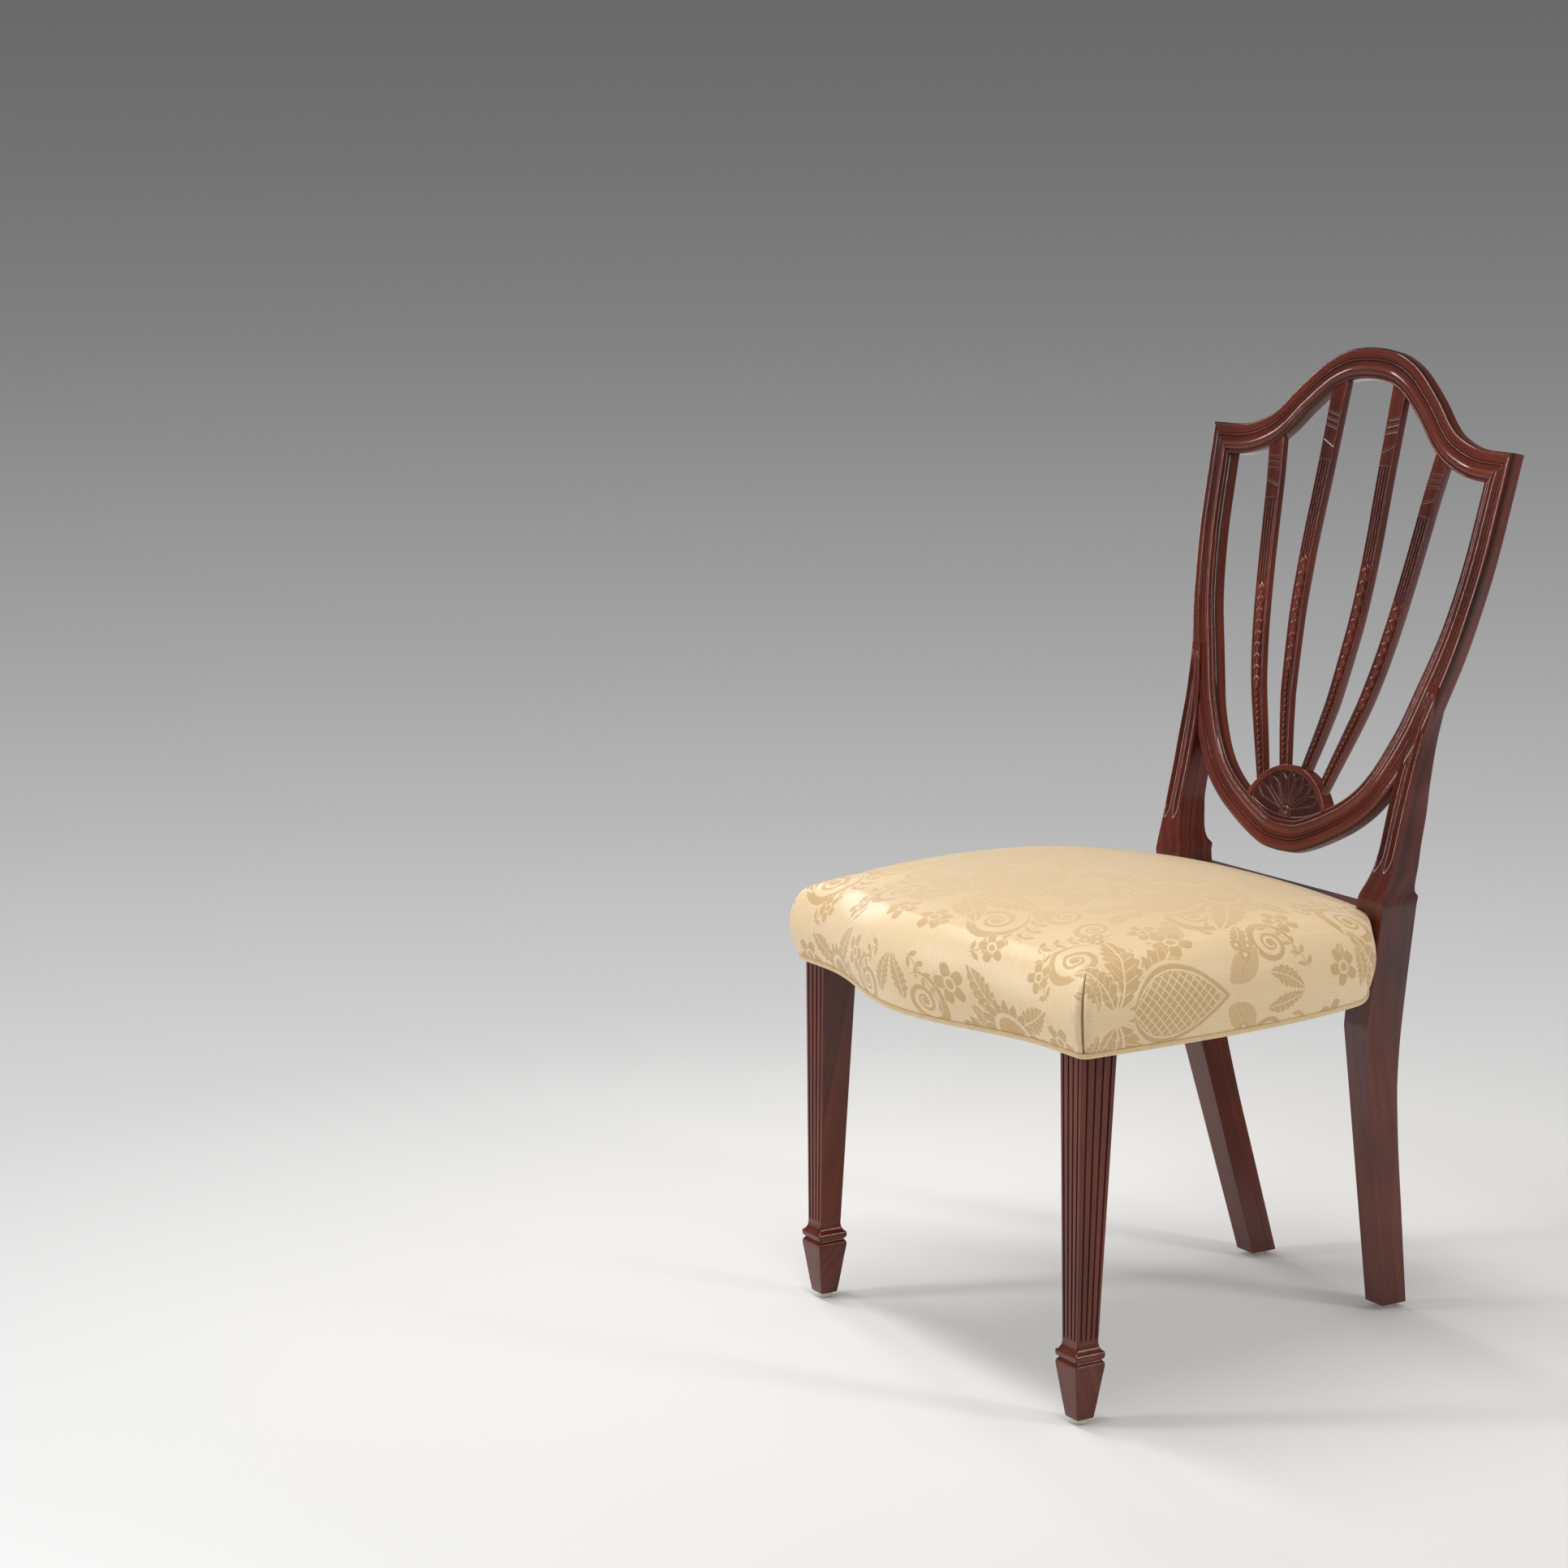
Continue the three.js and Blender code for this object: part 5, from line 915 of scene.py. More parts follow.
def drawOver(piece):
    scene = bpy.context.scene
    trial = placed("trial_cover", piece.data.copy())
    even = trial.modifiers.new("even mesh", "REMESH")
    even.mode, even.voxel_size = "VOXEL", drawing["voxel"]
    plain = bpy.data.meshes.new_from_object(trial.evaluated_get(bpy.context.evaluated_depsgraph_get()))
    trial.modifiers.clear()
    trial.data = plain
    before = coordinatesOf(plain)
    x, y, z = before[:, 0], before[:, 1] - backShift, before[:, 2]
    under = (z < seat["ceiling"] + drawing["heldUnder"]) & (np.abs(x) < seat["bowHalfWidth"]) & (y > 0)
    held = (z < seat["bottom"] + drawing["heldFoot"]) | (y > seat["rearEdge"] - drawing["heldRear"]) | under
    trial.vertex_groups.new(name="held").add([int(i) for i in np.where(held)[0]], 1, "REPLACE")
    cloth = trial.modifiers.new("cover", "CLOTH")
    cloth.settings.use_pressure = True
    cloth.settings.uniform_pressure_force = drawing["pressure"]
    cloth.settings.vertex_group_mass = "held"
    cloth.settings.effector_weights.gravity = 0
    cloth.point_cache.frame_start, cloth.point_cache.frame_end = 1, drawing["frames"]
    for number in range(1, drawing["frames"] + 1):
        scene.frame_set(number)
    shift = coordinatesOf(trial.evaluated_get(bpy.context.evaluated_depsgraph_get()).data) - before
    edges = np.zeros(len(plain.edges) * 2, int)
    plain.edges.foreach_get("vertices", edges)
    one, other = edges.reshape(-1, 2).T
    neighbours = np.bincount(np.concatenate([one, other]), minlength=len(before))[:, None]
    for _ in range(drawing["smoothing"]):  # no ripple finer than the even mesh can carry
        total = np.zeros_like(shift)
        np.add.at(total, one, shift[other])
        np.add.at(total, other, shift[one])
        shift = np.where(held[:, None], shift, (shift + total / neighbours) / 2)
    shift *= drawing["share"]
    far = np.linalg.norm(shift, axis=1)
    print("  cover settled by up to", round(float(far.max()) * 1000, 1), "mm before its limit")
    shift *= (drawing["furthest"] * np.tanh(far / drawing["furthest"]) / np.maximum(far, 1e-9))[:, None]
    near = KDTree(len(before))
    for index, place in enumerate(before):
        near.insert(place, index)
    near.balance()
    places = coordinatesOf(piece.data)
    moved = places.copy()
    for index, place in enumerate(places):
        found = near.find_n(place, drawing["nearest"])
        weights = np.array([1 / (distance + 0.001) for _, _, distance in found])
        moved[index] += weights @ shift[[number for _, number, _ in found]] / weights.sum()
    piece.data.vertices.foreach_set("co", moved.ravel())
    piece.data.update()
    scene.frame_set(1)
    bpy.data.objects.remove(trial)


def buildCushion(material):
    rings, sideCount = cushionRings()
    crease = sewPleats(rings, sideCount)
    # underneath, the cover and stuffing sit over the rails and the hessian
    inside = plan - outwardOf(plan) * np.where(lifted > 0, seat["rearPadding"], seat["padding"])[:, None]
    ceiling = np.column_stack([inside[:, 0], inside[:, 1] + backShift, np.full(len(plan), seat["ceiling"])])
    foot, middle = ceiling.copy(), ceiling.copy()
    foot[:, 2] = rings[0][:, 2]
    centre = [0, seat["middle"] + backShift]
    middle[:, :2] = np.array(centre) + (middle[:, :2] - centre) * 0.05
    allRings = np.concatenate([np.array([middle, ceiling, foot]), rings])
    # the weave lies flat on top, and hangs down the front and the sides from the shoulder
    shoulder = sideCount + 3
    down = np.zeros(allRings.shape[:2])
    steps = np.linalg.norm(np.diff(allRings, axis=0), axis=2)
    for i in range(shoulder - 1, 2, -1):
        down[i] = down[i + 1] + steps[i]
    down[:3] = down[3] + 0.01
    edge = allRings[shoulder]
    edgeX, edgeY, way = edge[:, 0], edge[:, 1] - backShift, np.sign(edge[:, 0])
    corner = (kind > 0) & (kind < 1)
    radius = seat["cornerRadius"]
    arc = radius * math.pi / 2
    lowX = np.where(corner, (seat["halfWidth"] - radius + kind * arc) * way, edgeX)
    lowY = np.where(corner, seat["frontCorner"] + radius - (1 - kind) * arc, edgeY)
    uv = allRings[:, :, :2] - [0, backShift]
    isSide = ((kind >= 0.5) & (kind < 1.5))[:, None]
    for i in range(shoulder):
        lower = smoothStep(0.004, 0.03, down[i])
        frontUv = np.stack([lerp(edgeX, lowX, lower), edgeY - down[i]], axis=1)
        sideUv = np.stack([edgeX + way * down[i], lerp(edgeY, lowY, lower)], axis=1)
        rearUv = np.stack([edgeX, edgeY + down[i]], axis=1)
        uv[i] = np.where(isSide, sideUv, np.where(kind[:, None] > 1.5, rearUv, frontUv))
    x, y, z = np.moveaxis(allRings, 2, 0)
    # the top of the crown, where a sheen is painted: a darker ground and a fainter figure
    rubbed = smoothStep(0.12, 0.8, crownOf(x, y - backShift)) * (z > seat["edge"] - 0.012)
    crease = np.concatenate([np.zeros((3, len(plan))), crease])
    piece = meshPiece("damask_seat_cushion", allRings, material, uv, 60, hollow=crease, rubbed=rubbed)
    drawOver(piece)
    declare(piece, "damask", "seat_cover", "seat_stuffing")


# Damask: a satin ground that shines, and figures of leaves, flowers and pods in the dull face of the same weave
damaskWeave = {
    # the top's ground colour, and its figure's fading share further down, are a painted sheen
    "ground": "#ebd2ac", "groundDeep": "#e3c89e", "paintedSheenGround": "#dfc49b",
    "figure": "#d0b083", "figureDeep": "#c7a677",
    "repeatWidth": 0.29, "repeatHeight": 0.32, "lift": 0.06, "threads": 0.0008, "threadRun": 25,
    # crease: painted shade in the pleats' grooves
    "groundRoughness": 0.4, "figureRoughness": 0.62, "rubbed": 0.66, "crease": "#7a6340",
    # how far inside the outline, as a share of a figure's size, its threads begin and the ground round it clears
    "edge": (-0.008, 0.008), "clearing": (-0.05, -0.034),
}
# Own drawing of the repeat, right half only: figure, place from the middle and up, turn in degrees, size, flip
damaskRepeat = [
    ("sprig", 0.045, 0.132, 30, 0.078, 1), ("sprig", 0.072, 0.196, 78, 0.066, -1), ("sprig", 0.09, 0.012, 38, 0.06, 1),
    ("sprig", 0.022, 0.3, -24, 0.06, -1), ("sprig", 0.13, 0.052, 104, 0.066, 1), ("sprig", 0.03, 0.046, 84, 0.05, -1),
    ("volute", 0.08, 0.06, 0, 0.032, 1), ("volute", 0.106, 0.213, 140, 0.034, -1),
    ("volute", 0.046, 0.262, 60, 0.027, 1), ("volute", 0.122, 0.112, 200, 0.021, -1),
    ("volute", 0.066, 0.1, 120, 0.016, -1),
    ("leaf", 0.006, 0.088, 64, 0.104, -1), ("leaf", 0.008, 0.08, 28, 0.09, -1), ("leaf", 0.008, 0.074, -12, 0.066, -1),
    ("leaf", 0.142, 0.262, 236, 0.078, 1), ("leaf", 0.137, 0.272, 203, 0.084, 1), ("leaf", 0.138, 0.29, 158, 0.06, -1),
    ("tulip", 0.145, 0.25, 270, 0.088, 1), ("tulip", 0.012, 0.204, 60, 0.05, -1), ("tulip", 0.1, 0.178, 200, 0.046, 1),
    ("leaf", 0.05, 0.046, 150, 0.04, 1), ("leaf", 0.05, 0.028, 205, 0.036, -1), ("leaf", 0.12, 0.132, 46, 0.04, 1),
    ("leaf", 0.074, 0.238, 196, 0.04, 1), ("leaf", 0.1, 0.286, -34, 0.042, -1), ("leaf", 0.018, 0.252, 96, 0.046, 1),
    ("pod", 0.0, 0.096, 90, 0.108, 1), ("medallion", 0.145, 0.276, 0, 0.034, 1),
    ("blossom", 0.064, 0.158, 10, 0.021, 1), ("blossom", 0.092, 0.146, 30, 0.016, 1),
    ("blossom", 0.026, 0.026, 0, 0.019, 1), ("blossom", 0.076, 0.293, 15, 0.019, 1),
    ("blossom", 0.111, 0.028, 15, 0.0155, 1),
    ("berry", 0.098, 0.098, 0, 0.0075, 1), ("berry", 0.109, 0.092, 0, 0.0065, 1), ("berry", 0.106, 0.104, 0, 0.0065, 1),
    ("berry", 0.036, 0.228, 0, 0.0075, 1), ("berry", 0.047, 0.223, 0, 0.0065, 1), ("berry", 0.045, 0.235, 0, 0.006, 1),
    ("berry", 0.132, 0.166, 0, 0.0075, 1), ("berry", 0.137, 0.178, 0, 0.006, 1),
]
# Outlines: half width along an upright figure, or radius round a flower
damaskOutlines = {
    "leaf": [(0, 0.01), (0.12, 0.1), (0.35, 0.21), (0.6, 0.2), (0.82, 0.11), (1, 0)],
    "tulip": [(0, 0.02), (0.15, 0.16), (0.42, 0.27), (0.66, 0.24), (0.86, 0.12), (1, 0)],
    "pod": [(0, 0.05), (0.12, 0.24), (0.36, 0.36), (0.6, 0.31), (0.82, 0.16), (1, 0)],
    "blossom": [(0, 0.52), (0.25, 0.66), (0.6, 0.93), (0.85, 1), (1, 0.97)],
    "medallion": [(0, 0.8), (0.4, 0.86), (0.7, 0.97), (1, 1)],
    "berry": [(0, 0.95), (1, 0.95)],
}
sweeps = {"leaf": 0.26, "tulip": 0.12, "pod": 0.0, "sprig": 0.3}  # how far the tip bends aside
petalCounts = {"blossom": 5, "medallion": 16, "berry": 1}
eyes = {"blossom": 0.3, "medallion": 0.56}
# How the figures are worked out from a place in their own square: the value made, the operation, what it is made of.
# "inside" is how far the place lies within the outline, "span" where there is a figure at all, "cut" what is left open
figureSteps = {
    "upright": [("bend", "MULTIPLY", "x", "x"), ("bend", "MULTIPLY_ADD", "bend", "sweep", "y"),
                ("aside", "ABSOLUTE", "bend"), ("span", "GREATER_THAN", "x", 0.0), ("end", "LESS_THAN", "x", 1.0),
                ("span", "MULTIPLY", "span", "end")],
    "outlined": [("width", "CURVE", "x"), ("inside", "SUBTRACT", "width", "aside")],
    # lobed edges, a midrib, and veins that slant away from it
    "leaf": [("lobe", "MULTIPLY", "x", 24.0), ("lobe", "MULTIPLY_ADD", "aside", -14.0, "lobe"),
             ("lobe", "SINE", "lobe"), ("lobe", "ABSOLUTE", "lobe"), ("lobe", "MULTIPLY_ADD", "lobe", 0.3, 0.72),
             ("inside", "MULTIPLY", "width", "lobe"), ("inside", "SUBTRACT", "inside", "aside"),
             ("vein", "MULTIPLY_ADD", "aside", -0.9, "x"), ("vein", "PINGPONG", "vein", 0.065),
             ("vein", "LESS_THAN", "vein", 0.0065), ("deep", "GREATER_THAN", "inside", 0.05),
             ("vein", "MULTIPLY", "vein", "deep"), ("midrib", "LESS_THAN", "aside", 0.013),
             ("cut", "MAXIMUM", "midrib", "vein")],
    # lines that follow the outline
    "tulip": [("line", "ADD", "inside", 0.012), ("line", "PINGPONG", "line", 0.024),
              ("line", "LESS_THAN", "line", 0.0058), ("deep", "GREATER_THAN", "inside", 0.028),
              ("cut", "MULTIPLY", "line", "deep")],
    # a lattice inside a plain rim
    "pod": [("up", "MULTIPLY_ADD", "aside", 0.9, "x"), ("up", "PINGPONG", "up", 0.045),
            ("down", "MULTIPLY_ADD", "aside", -0.9, "x"), ("down", "PINGPONG", "down", 0.045),
            ("lattice", "MINIMUM", "up", "down"), ("lattice", "LESS_THAN", "lattice", 0.0075),
            ("deep", "GREATER_THAN", "inside", 0.075), ("lattice", "MULTIPLY", "lattice", "deep"),
            ("rim", "COMPARE", "inside", 0.06, 0.01), ("cut", "MAXIMUM", "lattice", "rim")],
    # a stem with leaflets by pairs
    "sprig": [("along", "MULTIPLY", "aside", 1 / 0.17), ("off", "MULTIPLY", "x", 5.0), ("off", "FRACT", "off"),
              ("off", "SUBTRACT", "off", 0.28), ("off", "MULTIPLY_ADD", "along", -0.4, "off"),
              ("off", "ABSOLUTE", "off"), ("half", "MINIMUM", "along", 1.0), ("half", "MULTIPLY", "half", math.pi),
              ("half", "SINE", "half"), ("half", "MULTIPLY", "half", 0.25), ("leaflet", "SUBTRACT", "half", "off"),
              ("leaflet", "MULTIPLY", "leaflet", 0.2), ("stem", "SUBTRACT", 0.011, "aside"),
              ("inside", "MAXIMUM", "leaflet", "stem"), ("cut", "LESS_THAN", "x", 0.0)],
    "round": [("turn", "ARCTAN2", "y", "x"), ("span", "LESS_THAN", "radius", 1.06)],
    # a spiral whose band widens as it unrolls
    "volute": [("wound", "LOGARITHM", "radius", 0.42), ("wound", "MULTIPLY_ADD", "turn", 0.5 / math.pi, "wound"),
               ("wound", "PINGPONG", "wound", 0.5), ("band", "SUBTRACT", 0.21, "wound"),
               ("clear", "GREATER_THAN", "radius", 0.13), ("band", "MULTIPLY", "band", "clear"),
               ("eye", "SUBTRACT", 0.13, "radius"), ("inside", "MAXIMUM", "band", "eye"),
               ("span", "LESS_THAN", "radius", 1.0), ("cut", "LESS_THAN", "radius", 0.0)],
    "petals": [("share", "PINGPONG", "turn", "petal"), ("share", "MULTIPLY", "share", "petals"),
               ("reach", "CURVE", "share"), ("inside", "SUBTRACT", "reach", "radius")],
    "flower": [("ring", "COMPARE", "radius", "eye", 0.07), ("gap", "LESS_THAN", "share", 0.1),
               ("clear", "GREATER_THAN", "radius", 0.3), ("gap", "MULTIPLY", "gap", "clear"),
               ("cut", "MAXIMUM", "ring", "gap")],
    "berry": [("cut", "LESS_THAN", "radius", 0.3)],
}
figureKinds = {
    "leaf": ("upright", "outlined", "leaf"), "tulip": ("upright", "outlined", "tulip"), "sprig": ("upright", "sprig"),
    "pod": ("upright", "outlined", "pod"), "volute": ("round", "volute"), "blossom": ("round", "petals", "flower"),
    "medallion": ("round", "petals", "flower"), "berry": ("round", "petals", "berry"),
}


def drawFigure(kind):  # a node group: from a place in the figure's own square to whether its threads lie there
    tree = bpy.data.node_groups.new("damask " + kind, "ShaderNodeTree")
    tree.interface.new_socket("Place", in_out="INPUT", socket_type="NodeSocketVector")
    for name in ("Figure", "Clearing"):
        tree.interface.new_socket(name, in_out="OUTPUT", socket_type="NodeSocketFloat")
    start = addNode(tree, "NodeGroupInput")
    parts = addNode(tree, "ShaderNodeSeparateXYZ", {0: start})
    petals = petalCounts.get(kind, 1)
    made = {"x": parts.outputs[0], "y": parts.outputs[1], "sweep": -sweeps.get(kind, 0), "eye": eyes.get(kind),
            "petal": math.pi / petals, "petals": petals / math.pi}
    if kind not in sweeps:
        made["radius"] = addNode(tree, "ShaderNodeVectorMath", {0: start}, operation="LENGTH").outputs["Value"]
    for name, operation, *values in (row for group in figureKinds[kind] for row in figureSteps[group]):
        inputs = {index: made.get(value, value) for index, value in enumerate(values)}
        if operation != "CURVE":
            made[name] = addNode(tree, "ShaderNodeMath", inputs, operation=operation)
            continue
        curve = made[name] = addNode(tree, "ShaderNodeFloatCurve", {"Value": inputs[0]})
        points = curve.mapping.curves[0].points
        while len(points) < len(damaskOutlines[kind]):
            points.new(0.5, 0.5)
        for point, place in zip(points, damaskOutlines[kind]):
            point.location = place
        curve.mapping.update()
    solid, around = (addNode(tree, "ShaderNodeMapRange", {"Value": made["inside"], "From Min": low, "From Max": high})
                     for low, high in (damaskWeave["edge"], damaskWeave["clearing"]))
    figure = ("MULTIPLY", ("MULTIPLY", solid, made["span"]), ("SUBTRACT", 1.0, made["cut"]))
    addNode(tree, "NodeGroupOutput", {"Figure": figure, "Clearing": ("MULTIPLY", around, made["span"])})
    return tree


def wovenDamask():
    material, tree, shader = newMaterial("cream silk damask, satin ground with a dull figure")
    coordinates = addNode(tree, "ShaderNodeUVMap", uv_map="grain")
    parts = addNode(tree, "ShaderNodeSeparateXYZ", {0: coordinates})
    repeat, thread = damaskWeave["repeatHeight"], 1 / damaskWeave["threads"]
    lift = repeat * 3 + damaskWeave["lift"]  # whole repeats more, so that none of it is below 0
    place = addNode(tree, "ShaderNodeCombineXYZ", {
        0: ("PINGPONG", parts.outputs[0], damaskWeave["repeatWidth"] / 2),
        1: ("MODULO", ("ADD", parts.outputs[1], lift), repeat)})
    figures = {kind: drawFigure(kind) for kind in figureKinds}
    woven = None
    for kind, x, y, turn, size, side in damaskRepeat:
        local = addNode(tree, "ShaderNodeMapping", {
            "Vector": place, "Location": (x, y, 0), "Rotation": (0, 0, math.radians(turn)),
            "Scale": (size, size * side, size)}, vector_type="TEXTURE")
        figure, clearing = addNode(tree, "ShaderNodeGroup", {0: local}, node_tree=figures[kind]).outputs
        woven = figure if woven is None else addNode(tree, "ShaderNodeMix", {"Factor": clearing, 2: woven, 3: figure})
    # each face of the weave has its own slight unevenness from thread to thread
    run = thread / damaskWeave["threadRun"]
    faces = []
    for face, scale in (("ground", (thread, run, 1)), ("figure", (run, thread, 1))):
        local = addNode(tree, "ShaderNodeMapping", {"Vector": coordinates, "Scale": scale})
        noise = addNode(tree, "ShaderNodeTexNoise", {"Vector": local, "Scale": 1, "Detail": 1})
        tones = [(0.3, damaskWeave[face + "Deep"]), (0.7, damaskWeave[face])]
        faces.append((noise, addNode(tree, "ShaderNodeValToRGB", {"Fac": noise}, tones)))
    (warp, colour), (weft, figureColour) = faces
    # painted sheen on the top: the figure is fainter there and the ground darker
    rubbed = addNode(tree, "ShaderNodeAttribute", attribute_name="rubbed").outputs["Fac"]
    shown = addNode(tree, "ShaderNodeMath", {
        0: woven, 1: ("MULTIPLY_ADD", rubbed, -damaskWeave["rubbed"], 1.0)}, operation="MULTIPLY")
    # painted shade in the pleats' grooves, from the crease mask
    crease = addNode(tree, "ShaderNodeAttribute", attribute_name="hollow").outputs["Fac"]
    for factor, over in ((rubbed, damaskWeave["paintedSheenGround"]), (shown, figureColour), (crease, damaskWeave["crease"])):
        colour = addNode(tree, "ShaderNodeMix", {"Factor": factor, 6: colour, 7: over}, data_type="RGBA")
    rough = addNode(tree, "ShaderNodeMapRange", {
        "Value": shown, "To Min": damaskWeave["groundRoughness"], "To Max": damaskWeave["figureRoughness"]})
    threads = addNode(tree, "ShaderNodeBump", {"Height": ("ADD", warp, weft), "Strength": 0.14, "Distance": 0.0002})
    soft = addNode(tree, "ShaderNodeTexNoise", {"Vector": coordinates, "Scale": 16, "Detail": 1})
    padding = addNode(tree, "ShaderNodeBump", {"Height": soft, "Strength": 0.1, "Distance": 0.006, "Normal": threads})
    setInputs(shader, {"Base Color": colour, "Roughness": rough, "Sheen Weight": 0.2, "Sheen Roughness": 0.4,
                       "Normal": padding})
    return material


damask = wovenDamask()
print("damask woven")
buildCushion(damask)
print("cushion made")


# Welt: one cord piped round the lower edge of the cover, from post to post, cut on the bias of the same silk
welt = {"radius": 0.0026, "drop": 0.0029, "stop": 0.3808, "sides": 16, "threads": 0.0011, "silk": "#e6cd9f",
        "silkDeep": "#cdb07c"}


def corded():  # a round cord along a line, with its length and girth kept as UV
    tree, given = newGeometryTree("cord along a line", {
        "Line": "Geometry", "Radius": "Float", "Sides": "Int", "Finish": "Material"})
    line = addNode(tree, "GeometryNodeMeshToCurve", {0: given["Line"]})
    circle = addNode(tree, "GeometryNodeCurvePrimitiveCircle", {
        "Resolution": given["Sides"], "Radius": given["Radius"]}, mode="RADIUS")
    reach = addNode(tree, "GeometryNodeSplineParameter").outputs["Length"]
    kept = []
    for name, curve in (("run", line), ("girth", circle)):
        captured = addNode(tree, "GeometryNodeCaptureAttribute", {0: curve})
        captured.capture_items.new("FLOAT", name)
        setInputs(captured, {1: reach})
        kept.append(captured.outputs)
    tube = addNode(tree, "GeometryNodeCurveToMesh", {
        "Curve": kept[0][0], "Profile Curve": kept[1][0], "Fill Caps": True})
    place = addNode(tree, "ShaderNodeCombineXYZ", {0: kept[0][1], 1: kept[1][1]})
    marked = addNode(tree, "GeometryNodeStoreNamedAttribute", {"Geometry": tube, "Name": "grain", "Value": place},
                     data_type="FLOAT2", domain="CORNER")
    return endGeometryTree(tree, marked, given["Finish"])


# Silk on the bias: the threads run slanting round the cord, and it puckers a little between stitches
def biasSilk():
    material, tree, shader = newMaterial("cream silk piping, cut on the bias")
    place = addNode(tree, "ShaderNodeUVMap", uv_map="grain")
    slant = addNode(tree, "ShaderNodeMapping", {"Vector": place, "Rotation": (0, 0, math.radians(42))})
    across = addNode(tree, "ShaderNodeSeparateXYZ", {0: slant}).outputs[0]
    thread = addNode(tree, "ShaderNodeMath", {0: ("SINE", ("MULTIPLY", across, math.pi / welt["threads"]))},
                     operation="ABSOLUTE")
    patches = addNode(tree, "ShaderNodeTexNoise", {"Vector": place, "Scale": 130, "Detail": 1})
    # lighter along each bias thread and darker between them, painted shade, over patches of uneven tone
    colour = addNode(tree, "ShaderNodeValToRGB", {"Fac": ("MULTIPLY_ADD", thread, 0.35, patches)},
                     [(0.35, welt["silkDeep"]), (0.75, welt["silk"])])
    puckers = addNode(tree, "ShaderNodeTexNoise", {"Vector": place, "Scale": 210, "Detail": 1})
    pucker = addNode(tree, "ShaderNodeBump", {"Height": puckers, "Strength": 0.3, "Distance": 0.0006})
    fine = addNode(tree, "ShaderNodeBump", {"Height": thread, "Strength": 0.4, "Distance": 0.0003, "Normal": pucker})
    setInputs(shader, {"Base Color": colour, "Roughness": 0.45, "Sheen Weight": 0.2, "Normal": fine})
    return material


def buildWelt():
    line = plan - outwardOf(plan) * welt["radius"] / 2
    keep = (kind < 1.5) & (line[:, 1] < welt["stop"])
    order = np.roll(np.arange(len(plan)), len(plan) // 2)  # from the left post round the front to the right post
    route = [(line[i, 0], line[i, 1] + backShift, seat["bottom"] - welt["drop"]) for i in order if keep[i]]
    values = {"Radius": welt["radius"], "Sides": welt["sides"], "Finish": biasSilk()}
    declare(strung(corded(), "piped_welt", route, values, 60), "damask", "welt")


buildWelt()
print("welt piped")


# Under the seat: jute webbing woven across the frame, hessian over it, and a dust cover tacked beneath
under = {
    "webThickness": 0.0016, "webLevel": 0.4211, "webLift": 0.00095, "webFlat": 0.0282, "webColumns": 12,
    "webRows": 150, "webEdgeThins": 0.45,
    "railOverlap": 0.018, "railInnerFront": 0.206, "railInnerRear": 0.141, "rearOverlap": 0.0075,
    "inset": 0.012, "rearInset": 0.001, "rearGap": 0.0006, "hessianLevel": 0.42325, "hessianThickness": 0.0008,
    "hessianWave": 0.0001, "wavesAcross": 53, "wavesAlong": 47,
    "dustTop": 0.3577, "dustGap": 0.0001, "dustThickness": 0.0004, "hemShare": 0.955, "hemThickness": 0.0003,
    "sag": 0.0014, "legInner": 0.2024, "legBack": 0.0325, "dustRear": 0.3874, "dustPost": 0.3852, "postInner": 0.1428,
    "corner": 0.1, "edgeStep": 0.006, "tackPitch": 0.036, "tackRadius": 0.0044, "tackInset": 0.006, "scallop": 0.0009,
}
# Plain weaves, painted darker between the threads as shade. Jute webbing: hairy tan yarn, close, with a dark line near
# each edge. Hessian: the same yarn in an open weave, uneven in thickness, with dark gaps of painted shade. Cambric:
# thin black cotton, dull and a little dusty, whose threads are finer than this in the real cloth, drawn as coarse as
# they need to show
cloths = {
    "woven jute webbing": {
        "thread": 0.0016, "noise": 420, "detail": 3, "colours": [(0.05, "#86673e"), (0.5, "#b3925f")],
        "roughness": 0.9, "bump": 0.7, "deep": 0.0005, "stripe": "#5d3b26"},
    "open woven hessian": {
        "thread": 0.0021, "noise": 330, "detail": 3, "colours": [(0.06, "#5f472a"), (0.42, "#ab8c5d")],
        "roughness": 0.92, "bump": 0.8, "deep": 0.0007, "wander": 0.0012},
    "black cotton cambric": {
        "thread": 0.001, "noise": 22, "detail": 5, "colours": [(0.4, "#0c0c0e"), (0.95, "#1b1b1d"), (1.0, "#2b2a2b")],
        "roughness": 0.85, "bump": 0.35, "deep": 0.0003, "dust": 0.5, "sheen": 0.15},
}


